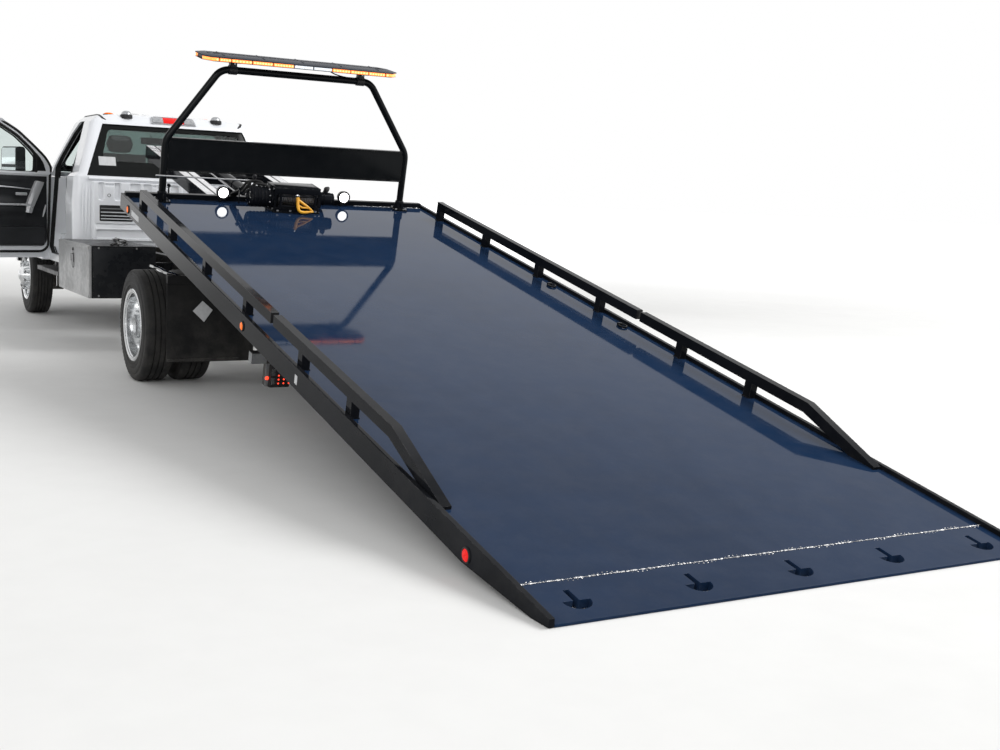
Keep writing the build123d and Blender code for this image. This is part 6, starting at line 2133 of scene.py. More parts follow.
    def roof_markers(self) -> None:
        """Domed roof lamps: two clear ones at the rear, five amber ones over the windscreen."""
        clear, amber, feet = Form(), Form(), Form()
        spots = [(9.218, y, clear, 2.124) for y in (0.440, -0.440)] + \
            [(9.750, y, amber, 2.124) for y in (-0.49, -0.25, 0.0, 0.25, 0.49)]
        for x, y, form, top in spots:
            z = self.roof_line(x, y)
            tall = top - z - 0.010
            rows = []
            for k in range(7):
                t = k / 6 * math.pi / 2
                rows.append([(x + 0.050 * math.cos(t) ** 0.7 * math.cos(a),
                              y + 0.050 * math.cos(t) ** 0.7 * math.sin(a), z + 0.010 + tall * math.sin(t))
                             for a in angles(28)])
            form.rings(rows)
            feet.rings([[(x + c * math.cos(a), y + c * math.sin(a), z + h)
                         for a in angles(28)]
                        for c, h in ((0.057, -0.020), (0.058, 0.006), (0.054, 0.016))])
        place(clear, "roof_lamps_clear", Body.CHASSIS, LAMP_GLASS, ("cab_lamps",), fold=50.0)
        place(amber, "roof_lamps_amber", Body.CHASSIS, AMBER_LENS, ("cab_lamps",), fold=50.0)
        place(feet, "roof_lamp_feet", Body.CHASSIS, PLASTIC, ("cab_lamps",))

    def side_y(self, z: float) -> float:
        """Half width of the cab at a height.

        Args:
            z: height.

        Returns:
            The half width.
        """
        table = [(0.620, 0.970), (0.880, 1.000), (1.250, 1.005), (1.475, 0.985), (1.520, 0.935),
                 (2.000, 0.790), (2.062, 0.720)]
        return self._look_up(table, z)

    @staticmethod
    def around(outline: Sequence[Pair], out: float, bend: float, steps: int) -> list[Vector]:
        """Closed path round an outline of (x, z), moved out and with rounded corners."""
        return bent([(x, 0.0, z) for x, z in closed(offset(outline, out))], bend, steps)

    def on_side(self, path: Sequence[Point], depth: float, side: int = 1) -> list[Point]:
        """A path laid on the cab's side, in by a depth."""
        return [(p[0], side * (self.side_y(p[2]) - depth), p[2]) for p in path]

    def apertures(self) -> None:
        """Rubber seals in both door openings, each a strip and a tube, and the sill plates."""
        seal, sills = Form(), Form()
        near = self.around(DOOR_LINE, 0.0050, 0.006, 3)
        far = self.around(DOOR_LINE, 0.0090, 0.006, 3)
        lip = self.around(DOOR_LINE, 0.0140, 0.006, 3)
        for side in (1, -1):
            seal.rings([self.on_side(loop, depth, side)
                        for loop, depth in ((near, 0.016), (near, 0.058), (far, 0.058), (far, 0.016))],
                       cap=False, round_trip=True)
            seal.tube(self.on_side(lip, 0.066, side), 0.008, 8)
            sills.box((self.door_rear + 0.05, side * 0.858, self.door_sill + 0.128),
                      (self.door_front - 0.10, side * 0.805, self.door_sill + 0.136), 0.002)
        place(seal, "door_opening_seals", Body.CHASSIS, RUBBER)
        place(sills, "sill_plates", Body.CHASSIS, PLASTIC)

    def door_trim(self, word: str, placing: Placing, body: Body) -> None:
        """Inner panel with its sill, armrest and pocket, and everything else on the door.

        Args:
            word: the side's name.
            placing: the frame of reference of its points.
            body: the body that carries it.
        """
        inner = self.door_skin
        panel = Form(placing)

        def face(x: float, z: float) -> float:
            """How far the panel stands in from the door's inner skin.

            Args:
                x: station.
                z: height.

            Returns:
                The depth, in metres.
            """
            crown = 0.016
            rest = 0.052 * math.exp(-((z - 1.135) / 0.060) ** 2) * self.step(x, 9.34, 9.44) * \
                (1 - self.step(x, 9.96, 10.03))
            hollow = -0.013 * math.exp(-((z - 1.265) / 0.050) ** 2) * self.step(x, 9.40, 9.50) * \
                (1 - self.step(x, 9.98, 10.08))
            pocket = 0.045 * self.step(x, 9.40, 9.46) * (1 - self.step(x, 10.17, 10.215)) * \
                self.step(z, 0.735, 0.765) * (1 - self.step(z, 0.955, 0.962 + 0.02 * (x - 9.7)))
            sill = 0.014 * self.step(z, 1.395, 1.425)
            return crown + rest + hollow + pocket + sill

        x0, x1 = self.door_rear + 0.022, self.door_front - 0.024
        z0, z1 = self.door_sill + 0.062, 1.478

        def spot(u: float, v: float) -> Point:
            """Place of the panel's skin.

            Args:
                u: share along the first way.
                v: share along the second way.

            Returns:
                The place.
            """
            z = z0 + (z1 - z0) * v
            cut = 0.055 * max(0.0, 1.0 - v / 0.09) ** 2
            x = x0 + cut + (x1 - x0 - 2 * cut) * u
            round_in = min(1.0, min(u, 1 - u) / 0.022, v / 0.03, (1 - v) / 0.02)
            return (x, inner - face(x, z) * (round_in ** 0.5), z)

        panel.slab(spot, 110, 90, 0.004)
        place(panel, f"door_trim_{word}", body, TRIM, fold=55.0)
        self.door_fittings(word, placing, body)
        self.door_edges(word, placing, body)
        self.window_rail(word, placing, body)
        self.outer_door(word, placing, body)

    def door_fittings(self, word: str, placing: Placing, body: Body) -> None:
        """Pull, accents, speaker, release lever and switches on a door's trim.

        Args:
            word: the side's name.
            placing: the frame of reference of its points.
            body: the body that carries it.
        """
        inner = self.door_skin
        handle = Form(placing)
        handle.rings([[(x + a * half, inner - 0.026 - d, z - 0.15 * a * half)
                       for a, d in ((-1.0, 0.0), (-0.92, 0.030), (-0.2, 0.042), (0.90, 0.034), (1.0, 0.0))]
                      for x, z, half in ((10.138, 1.412, 0.043), (10.127, 1.385, 0.046),
                                         (10.088, 1.300, 0.045), (10.050, 1.215, 0.043),
                                         (10.024, 1.150, 0.040), (10.010, 1.098, 0.034))])
        handle.tube(bent([(10.040, inner - 0.062, 1.180), (9.990, inner - 0.074, 1.178),
                          (9.700, inner - 0.076, 1.176), (9.480, inner - 0.066, 1.186)], 0.05, 5),
                    [0.006] + [0.010] * 12 + [0.006], 10)
        place(handle, f"door_pull_{word}", body, SILVER_TRIM, fold=30.0)
        accents = Form(placing)
        accents.tube([(10.080, inner - 0.034, 1.330), (9.85, inner - 0.036, 1.346),
                      (9.55, inner - 0.036, 1.358), (9.36, inner - 0.030, 1.362)],
                     [0.003, 0.007, 0.007, 0.003], 8)
        accents.tube([(10.216, inner - 0.020, 1.178), (10.200, inner - 0.022, 1.118),
                      (10.182, inner - 0.022, 1.060)], [0.007, 0.011, 0.006], 8)
        place(accents, f"door_accents_{word}", body, SILVER_TRIM)
        grille = Form(placing)
        grille.lathe([(0.0, 0.006), (0.072, 0.004), (0.080, 0.008), (0.088, 0.006), (0.090, 0.0), (0.0, 0.0)],
                     (9.470, inner - 0.060, 0.865), (0, -1, 0), 40, close=False)
        place(grille, f"door_speaker_{word}", body, PLASTIC)
        lever = Form(placing)
        lever.box((9.88, inner - 0.050, 1.268), (10.00, inner - 0.030, 1.298), 0.008)
        place(lever, f"door_release_{word}", body, SILVER_TRIM)
        switches = Form(placing)
        for k in range(4):
            switches.box((9.70 + 0.045 * k, inner - 0.078, 1.182), (9.73 + 0.045 * k, inner - 0.050, 1.192),
                         0.003)
        place(switches, f"door_switches_{word}", body, PLASTIC)

    def door_edges(self, word: str, placing: Placing, body: Body) -> None:
        """The seal round a door's inner face, and the thin hem below its outer skin.

        Args:
            word: the side's name.
            placing: the frame of reference of its points.
            body: the body that carries it.
        """
        seal = Form(placing)
        loop = self.around(DOOR_LINE, -0.010, 0.050, 5)
        seal.tube(self.on_side(loop, 0.060), 0.013, 8)
        place(seal, f"door_seal_{word}", body, RUBBER)
        hem = Form(placing)
        hem.rings([[(x, self.side_y(0.760) - depth, z) for depth, z in
                    ((-0.001, 0.702), (-0.001, 0.652), (0.001, 0.645), (0.004, 0.645), (0.004, 0.702))]
                   for x in (self.door_rear + 0.030, self.door_rear + 0.050, self.door_front - 0.050,
                             self.door_front - 0.030)])
        place(hem, f"door_hem_{word}", body, WHITE_PAINT)

    @staticmethod
    def step(value: float, low: float, high: float) -> float:
        """Smooth step of a number between two limits."""
        t = min(max((value - low) / (high - low), 0.0), 1.0)
        return t * t * (3 - 2 * t)

    def window_rail(self, word: str, placing: Placing, body: Body) -> None:
        """Dark lining round the window inside, the sail panel ahead of it, and the black channel outside.

        Args:
            word: the side's name.
            placing: the door's frame of reference.
            body: the door's body.
        """
        loop = self.around(WINDOW_LINE, 0.0, 0.030, 4)
        inside, outside = Form(placing), Form(placing)
        band = self.around(WINDOW_LINE, 0.008, 0.036, 4)
        inside.tube(self.on_side(band, 0.056), 0.016, 10)
        outside.tube(self.on_side(loop, 0.006), 0.009, 8)
        place(inside, f"window_lining_{word}", body, RUBBER)
        place(outside, f"window_channel_{word}", body, RUBBER)
        rear = [(1.440, 10.062), (1.575, 10.044), (1.688, 10.030)]
        front = [(1.440, 10.232), (1.458, 10.229), (1.523, 10.194), (1.597, 10.155), (1.648, 10.113),
                 (1.688, 10.070)]

        def spot(u: float, v: float) -> Point:
            """Place on the sail panel.

            Args:
                u: share along the first way.
                v: share along the second way.

            Returns:
                The place.
            """
            z = 1.440 + 0.248 * v
            low, high = self._look_up(rear, z), self._look_up(front, z)
            return (low + (high - low) * u, self.side_y(z) - 0.066, z)

        sail = Form(placing)
        sail.slab(spot, 8, 20, 0.006)
        place(sail, f"door_sail_{word}", body, PLASTIC, fold=50.0)

    def outer_door(self, word: str, placing: Placing, body: Body) -> None:
        """Outer pull handle with its cup, a body crease and the belt moulding.

        Args:
            word: the side's name.
            placing: the frame of reference of its points.
            body: the body that carries it.
        """
        pull = Form(placing)
        y = self.side_y(1.30)
        pull.tube(bent([(9.335, y - 0.004, 1.300), (9.345, y + 0.036, 1.302), (9.555, y + 0.036, 1.306),
                        (9.565, y - 0.004, 1.304)], 0.03, 6), 0.013, 10)
        place(pull, f"outer_handle_{word}", body, PLASTIC)
        cup = Form(placing)
        cup.lathe([(0.0, 0.001), (0.040, 0.001), (0.047, 0.004), (0.050, 0.0), (0.0, 0.0)], (9.40, y, 1.300),
                  (0, 1, 0), 32, close=False)
        place(cup, f"outer_handle_cup_{word}", body, WHITE_PAINT)
        crease = Form(placing)
        crease.tube([(x, self.side_y(0.86) - 0.006, 0.860 + 0.01 * (x - 9.76)) for x in
                     (9.29, 9.33, 9.6, 9.9, 10.19, 10.235)], [0.002, 0.010, 0.012, 0.012, 0.010, 0.002], 10)
        place(crease, f"door_crease_{word}", body, WHITE_PAINT)
        belt = Form(placing)
        belt.tube([(9.325, self.side_y(1.492), 1.494), (9.75, self.side_y(1.492), 1.494),
                   (10.110, self.side_y(1.492), 1.496)], 0.011, 8)
        place(belt, f"belt_moulding_{word}", body, RUBBER)

    def mirror(self, word: str, placing: Placing, body: Body) -> None:
        """Mirror glasses in the head, with the head's back cap, turn lamp and arms.

        Args:
            word: the side's name.
            placing: the door's frame of reference.
            body: the door's body.
        """
        x = self.mirror_x
        glass, cap, lamp, arms = (Form(placing) for _ in range(4))
        glass.box((x - 0.004, 1.119, 1.574), (x + 0.004, 1.388, 1.742), 0.012)
        glass.box((x - 0.004, 1.119, 1.350), (x + 0.004, 1.388, 1.546), 0.012)
        place(glass, f"mirror_glasses_{word}", body, MIRROR)
        cap.box((x + 0.055, 1.112, 1.345), (x + 0.103, 1.394, 1.745), 0.030, 4)
        place(cap, f"mirror_cap_{word}", body, PLASTIC)
        lamp.box((x + 0.060, 1.395, 1.500), (x + 0.090, 1.4015, 1.600), 0.006)
        place(lamp, f"mirror_turn_lamp_{word}", body, AMBER_LENS)
        for z in (1.440, 1.490):
            arms.tube([(x + 0.065, 0.975, z), (x + 0.055, 1.120, z)], 0.017, 12)
        place(arms, f"mirror_arms_{word}", body, PLASTIC)

    def seats(self) -> None:
        """Three-part bench: crowned cushions and backs with sewn channels, and headrests."""
        low, back = self.back + 0.152, self.cushion_foot
        for i, (y0, y1) in enumerate(self.seat_parts):
            seat = Form()
            seat.rings(self.pad_loops((low + 0.150, low + 0.620), (y0, y1), back + 0.015,
                                      lambda t: 0.275 + 0.018 * t, 0.040))
            item = place(seat, f"seat_cushion_{i}", Body.CHASSIS, CLOTH, ("bench_seat",), fold=70.0)
            rest = Form()
            rest.rings(self.rest_loops(low, (y0, y1), back))
            item = place(rest, f"seat_back_{i}", Body.CHASSIS, CLOTH, ("bench_seat",), fold=70.0)
        for i, y in enumerate((self.headrest_y, -self.headrest_y)):
            head = Form()
            rows = []
            for k in range(9):
                t = -1 + 2 * k / 8
                swell = (1 - abs(t) ** 3.5) ** (1 / 3.5) if abs(t) < 1 else 0.02
                rows.append([(low + 0.085 + 0.048 * swell * self._soft(math.cos(a)),
                              y + 0.128 * t, back + 0.900 + 0.082 * swell * self._soft(math.sin(a)))
                             for a in angles(24)])
            head.rings(rows)
            item = place(head, f"headrest_{i}", Body.CHASSIS, CLOTH, fold=70.0)
            posts = Form()
            for dy in (-0.055, 0.055):
                posts.tube([(low + 0.075, y + dy, back + 0.770), (low + 0.085, y + dy, back + 0.850)],
                           0.006, 10)
            place(posts, f"headrest_posts_{i}", Body.CHASSIS, CHROME)

    @staticmethod
    def _soft(value: float) -> float:
        """Pushes a cosine towards a rounded square."""
        return math.copysign(abs(value) ** 0.62, value)

    def pad_loops(self, along: tuple[float, float], across: tuple[float, float], floor: float,
                  height: Callable[[float], float], soft: float) -> list[list[Point]]:
        """Loops of a seat cushion, front to back, crowned and with two sewn channels.

        Args:
            along: first and last station.
            across: its two sides.
            floor: height of its underside.
            height: its thickness at a share of its length.
            soft: how far its ends pull in.

        Returns:
            The loops.
        """
        x0, x1 = along
        y0, y1 = across
        loops = []
        count = 22
        for k in range(count + 1):
            t = k / count
            end = (1 - abs(2 * t - 1) ** 6) ** (1 / 6) if 0 < t < 1 else 0.25
            x = x0 + (x1 - x0) * t
            seam = 0.012 * sum(math.exp(-((t - c) / 0.016) ** 2) for c in (0.33, 0.66))
            loop = []
            for a in angles(36):
                cy, cz = self._soft(math.cos(a)), self._soft(math.sin(a))
                half = (y1 - y0) / 2 - soft * 0.3 * (1 - end)
                top = height(t) * end
                crown = 0.022 * (1 - cy * cy) if cz > 0 else 0.0
                pull = seam if cz > 0.2 else 0.0
                loop.append((x, (y0 + y1) / 2 + half * cy * (0.97 + 0.03 * end),
                             floor + top / 2 + top / 2 * cz + crown * end - pull))
            loops.append(loop)
        return loops

    def rest_loops(self, low: float, across: tuple[float, float], floor: float) -> list[list[Point]]:
        """Loops of a seat back, from its foot up, with side bolsters and sewn channels.

        Args:
            low: station of its foot.
            across: its two sides.
            floor: height of its underside.

        Returns:
            The loops.
        """
        y0, y1 = across
        mid, half = (y0 + y1) / 2, (y1 - y0) / 2
        loops = []
        count = 26
        for k in range(count + 1):
            t = k / count
            end = (1 - abs(2 * t - 1) ** 7) ** (1 / 7) if 0 < t < 1 else 0.25
            z = floor + 0.262 + 0.545 * t
            face = low + 0.155 - 0.078 * t
            rear = low + 0.012 + 0.020 * t
            seam = 0.010 * sum(math.exp(-((t - c) / 0.014) ** 2) for c in (0.28, 0.56, 0.84))
            loop = []
            for a in angles(36):
                cx, cy = self._soft(math.cos(a)), self._soft(math.sin(a))
                centre, deep = (face + rear) / 2, (face - rear) / 2 * end
                bolster = 0.014 * math.exp(-((abs(cy) - 0.78) / 0.15) ** 2) if cx > 0 else 0.0
                loop.append((centre + deep * cx + (bolster - seam) * (1 if cx > 0.2 else 0) * end,
                             mid + half * cy * (0.96 + 0.04 * end), z))
            loops.append(loop)
        return loops

    def inside(self) -> None:
        """Floor mat, pedals, and the parts of the dashboard and overhead."""
        mat = Form()
        mat.slab(lambda u, v: (9.45 + 0.90 * u, -0.76 + 1.52 * v,
                               0.834 + 0.055 * math.exp(-((1.52 * v - 0.76) / 0.20) ** 2) * min(1, 3 * u)
                               + 0.10 * max(0.0, u - 0.82)), 40, 60, 0.004)
        place(mat, "floor_mat", Body.CHASSIS, MAT, fold=60.0)
        pedals = Form()
        for y, w in ((0.52, 0.030), (0.40, 0.055)):
            pedals.box((10.265, y - w, 0.955), (10.285, y + w, 1.030), 0.006)
            pedals.tube([(10.280, y, 1.010), (10.320, y, 1.160)], 0.009, 8)
        place(pedals, "pedals", Body.CHASSIS, PLASTIC)
        self.dash_parts()
        self.overhead()

    def dash_parts(self) -> None:
        """Centre stack with its knobs, vents, and the hood over the gauges."""
        x = self.dash_x
        stack = Form()
        stack.box((x - 0.028, -0.150, 1.215), (x + 0.030, 0.150, 1.395), 0.012)
        stack.box((x - 0.032, -0.115, 1.300), (x - 0.020, 0.115, 1.385), 0.004)
        place(stack, "centre_stack", Body.CHASSIS, PLASTIC)
        knobs = Form()
        for y in (-0.095, 0.0, 0.095):
            knobs.lathe([(0.0, 0.016), (0.016, 0.015), (0.018, 0.0), (0.0, 0.0)], (x - 0.028, y, 1.250),
                        (-1, 0, 0), 20, close=False)
        vents = Form()
        for y in (-0.66, -0.22, 0.22, 0.66):
            for k in range(4):
                vents.box((x - 0.006 + 0.007 * k, y - 0.055, 1.330 + 0.016 * k),
                          (x + 0.020, y + 0.055, 1.335 + 0.016 * k), 0.001)
        place(knobs, "stack_knobs", Body.CHASSIS, SILVER_TRIM)
        place(vents, "dash_vents", Body.CHASSIS, SILVER_TRIM)
        hood = Form()
        hood.slab(lambda u, v: (x + 0.04 + 0.16 * v, 0.40 + 0.19 * math.cos(math.pi * u),
                                1.445 + 0.045 * math.sin(math.pi * u)), 20, 4, 0.004)
        place(hood, "gauge_hood", Body.CHASSIS, TRIM)

    def overhead(self) -> None:
        """Headliner, sun visors, mirror, and the steering wheel's horn pad."""
        liner = Form()
        liner.slab(lambda u, v: (self.liner_rear + 0.60 * u, -0.64 + 1.28 * v,
                                 min(self.roof_line(self.liner_rear + 0.60 * u, -0.64 + 1.28 * v),
                                     2.10) - 0.066), 12, 24, 0.006)
        place(liner, "headliner", Body.CHASSIS, TRIM_GREY, fold=60.0)
        visors = Form()
        for y in (0.40, -0.40):
            visors.box((9.77, y - 0.20, 2.012), (9.93, y + 0.20, 2.028), 0.007)
        place(visors, "sun_visors", Body.CHASSIS, TRIM_GREY)
        mirror = Form()
        mirror.box((9.93, -0.125, 1.835), (9.952, 0.125, 1.905), 0.014)
        mirror.tube([(9.952, 0, 1.875), (self.screen(1.935) - 0.008, 0, 1.935)], 0.007, 8)
        place(mirror, "cab_mirror", Body.CHASSIS, PLASTIC)
        horn = Form()
        hub = Vector((self.cowl - 0.655, 0.400, self.belt - 0.098))
        face = Vector((-0.93, 0, 0.37)).normalized()
        horn.lathe([(0.0, 0.030), (0.055, 0.026), (0.072, 0.012), (0.074, -0.010), (0.0, -0.014)], hub,
                   face, 32, close=False)
        place(horn, "horn_pad", Body.CHASSIS, TRIM)

    def steps(self) -> None:
        """Ribbed grip pads along the running boards and their end caps."""
        pads, caps = Form(), Form()
        for side in (1, -1):
            for k in range(9):
                y = self.half - 0.085 + 0.017 * k
                pads.box((self.door_rear, side * y, 0.5595),
                         (self.door_front + 0.03, side * (y + 0.009), 0.5635), 0.0015)
            for x in (self.door_rear - 0.0335, self.door_front + 0.0685):
                caps.box((x, side * (self.half - 0.106), 0.519),
                         (x + 0.004, side * (self.half + 0.076), 0.561), 0.001)
        place(pads, "step_pads", Body.CHASSIS, RUBBER)
        place(caps, "step_end_caps", Body.CHASSIS, PLASTIC)




@dataclass
class BoxDress:
    """Toolboxes with their doors, the pipes over them, and the mud flaps."""

    front: float = 7.401
    rear: float = 8.697
    inner: float = 0.620
    outer: float = 1.170
    low: float = 0.464
    high: float = 0.898
    latch_z: float = 0.768
    flap_x: float = 5.370

    def build(self) -> None:
        """Finishes the boxes and adds their pieces."""
        for node, finish, edge in (("toolboxes", BOX_PAINT, 0.003),
                                   ("toolbox_door_left", DOOR_SHEET, 0.0025),
                                   ("toolbox_door_right", DOOR_SHEET, 0.0025),
                                   ("mud_flaps", FLAP_RUBBER, 0.002)):
            dress(node, finish, edge)
        for side, word, body in ((1, "left", Body.LEFT_BOX), (-1, "right", Body.RIGHT_BOX)):
            placing = LEVEL if side > 0 else LEVEL.mirrored()
            self.box_door(word, placing, body)
            self.box_body(word, placing)
        self.flaps()

    def box_door(self, word: str, placing: Placing, body: Body) -> None:
        """Folded rim, T handle in its dish, hinge knuckles and rivets.

        Args:
            word: the side's name.
            placing: the frame of reference of its points.
            body: the body that carries it.
        """
        y = self.outer
        rim = Form(placing)
        for lo, hi in (((self.front + 0.004, self.high - 0.022), (self.rear - 0.004, self.high - 0.004)),
                       ((self.front + 0.004, self.low + 0.004), (self.rear - 0.004, self.low + 0.020)),
                       ((self.front + 0.004, self.low + 0.004), (self.front + 0.020, self.high - 0.004)),
                       ((self.rear - 0.020, self.low + 0.004), (self.rear - 0.004, self.high - 0.004))):
            rim.box((lo[0], y - 0.002, lo[1]), (hi[0], y + 0.0025, hi[1]), 0.001)
        place(rim, f"box_door_rim_{word}", body, DOOR_SHEET)
        mid, z = (self.front + self.rear) / 2, self.latch_z
        dish = Form(placing)
        oval = ellipse(0.034, 0.090, 36)
        dish.rings([[(mid + a * c, y + d, z + b * c) for a, b in oval]
                    for c, d in ((1.0, 0.0), (1.0, 0.004), (0.93, 0.006), (0.84, 0.003), (0.80, 0.001))])
        place(dish, f"latch_dish_{word}", body, RUBBER)
        handle = Form(placing)
        handle.tube(bent([(mid - 0.030, y + 0.012, z + 0.036), (mid + 0.030, y + 0.012, z + 0.030)], 0.01,
                         2), 0.0065, 10)
        handle.tube(bent([(mid, y + 0.002, z + 0.034), (mid, y + 0.012, z + 0.030),
                          (mid - 0.006, y + 0.0125, z - 0.020), (mid - 0.022, y + 0.0115, z - 0.064)], 0.01,
                         4), [0.009] * 8 + [0.010] * 2 + [0.007] * 2, 10)
        place(handle, f"latch_handle_{word}", body, PLASTIC)
        rivets = line((self.front + 0.045, y + 0.0002, self.high - 0.034), (self.rear - 0.045, y + 0.0002,
                      self.high - 0.034), 9)
        rivets += line((self.front + 0.045, y + 0.0002, self.low + 0.034), (self.rear - 0.045, y + 0.0002,
                       self.low + 0.034), 9)
        BEADS.at(f"box_door_rivets_{word}", rivets, (0.009, 0.004, 0.009), body, STEEL, placing)
        hinge = Form(placing)
        for k in range(18):
            x = self.front + 0.03 + 0.069 * k
            hinge.tube([(x, y - 0.010, self.high + 0.0015), (x + 0.062, y - 0.010, self.high + 0.0015)],
                       0.0055, 10)
        place(hinge, f"box_hinge_{word}", body, STEEL)

    def box_body(self, word: str, placing: Placing) -> None:
        """Top and rear sheets, rear screws, and the clipped pipes on top.

        Args:
            word: the side's name.
            placing: the frame of reference of its points.
        """
        sheet = Form(placing)
        edge = self.outer - 0.024
        sheet.box((self.front - 0.003, self.inner - 0.003, self.high),
                  (self.rear + 0.003, edge, self.high + 0.004), 0.0015)
        sheet.box((self.front - 0.005, self.inner, self.low + 0.006), (self.front - 0.001, edge - 0.010,
                  self.high - 0.012), 0.001)
        place(sheet, f"box_sheets_{word}", Body.CHASSIS, BOX_PAINT)
        screws = [(self.front - 0.006, y, self.high - 0.014) for y in (1.093, 0.781)] + \
            [(self.front - 0.006, y, self.low + 0.022) for y in (1.093, 0.781)]
        ROUNDS.at(f"box_screws_{word}", screws, (0.016, 0.016, 0.005), Body.CHASSIS, STEEL, placing,
                  aim=(-1, 0, 0))
        pipes = Form(placing)
        runs = (((7.43, 0.985, 0.910), (7.60, 0.900, 0.918), (7.95, 0.800, 0.912), (8.52, 0.720, 0.910),
                 (8.66, 0.640, 0.908)),
                ((7.41, 0.930, 0.908), (7.72, 0.870, 0.910), (8.10, 0.700, 0.916), (8.62, 0.660, 0.910)),
                ((7.50, 0.860, 0.909), (7.80, 0.760, 0.911), (8.40, 0.670, 0.909)))
        for k, run in enumerate(runs):
            path = bent(run, 0.10, 6)
            pipes.tube(path, 0.0095 if k < 2 else 0.007, 9)
        place(pipes, f"box_top_pipes_{word}", Body.CHASSIS, RUBBER)
        clips = Form(placing)
        for x, y in ((7.62, 0.888), (8.20, 0.705), (8.56, 0.690)):
            clips.box((x - 0.012, y - 0.034, self.high + 0.003), (x + 0.012, y + 0.034, self.high + 0.022),
                      0.004)
            clips.lathe([(0.0, 0.0), (0.010, 0.0), (0.010, 0.010), (0.0, 0.012)], (x, y, self.high + 0.021),
                        (0, 0, 1), 6, close=False)
        place(clips, f"box_pipe_clips_{word}", Body.CHASSIS, STEEL)

    def flaps(self) -> None:
        """Flap stiffeners, bolts, the bright hanger ends and the blank plates."""
        x = self.flap_x
        bars, hangers, plate, bolts = Form(), Form(), Form(), []
        for side in (1, -1):
            bars.box((x - 0.006, side * 0.545, 0.755), (x, side * 1.062, 0.782), 0.002)
            bars.box((x - 0.005, side * 0.545, 0.196), (x + 0.001, side * 1.062, 0.214), 0.002)
            bolts += [(x - 0.009, side * y, 0.768) for y in (0.58, 0.69, 0.80, 0.91, 1.02)]
            plate.prism([(side * y, z) for y, z in ((0.882, 0.551), (0.813, 0.622), (0.740, 0.558),
                                                    (0.801, 0.473))], flat_yz, x - 0.002, x + 0.001)
            hangers.tube(bent([(x + 0.004, side * 0.985, 0.792), (x + 0.004, side * 1.020, 0.812),
                               (x + 0.004, side * 1.075, 0.822), (x + 0.010, side * 1.120, 0.852),
                               (x + 0.012, side * 1.168, 0.866)], 0.02, 4), 0.012, 12)
            hangers.tube(bent([(x + 0.006, side * 1.075, 0.822), (x + 0.040, side * 1.100, 0.826),
                               (x + 0.090, side * 1.110, 0.836)], 0.02, 4), 0.008, 10)
            for y, z in ((0.985, 0.792), (1.075, 0.822), (1.168, 0.866)):
                hangers.lathe([(0.0, -0.016), (0.016, -0.014), (0.016, 0.014), (0.0, 0.016)],
                              (x + 0.006, side * y, z), (0.3, side * 0.9, 0.35), 6, close=False)
        place(bars, "flap_stiffeners", Body.CHASSIS, FRAME_PAINT)
        place(plate, "flap_blank_plates", Body.CHASSIS, LABEL)
        place(hangers, "flap_hanger_ends", Body.CHASSIS, CHROME)
        HEXES.at("flap_bolts", bolts, (0.016, 0.016, 0.008), Body.CHASSIS, STEEL, aim=(-1, 0, 0))


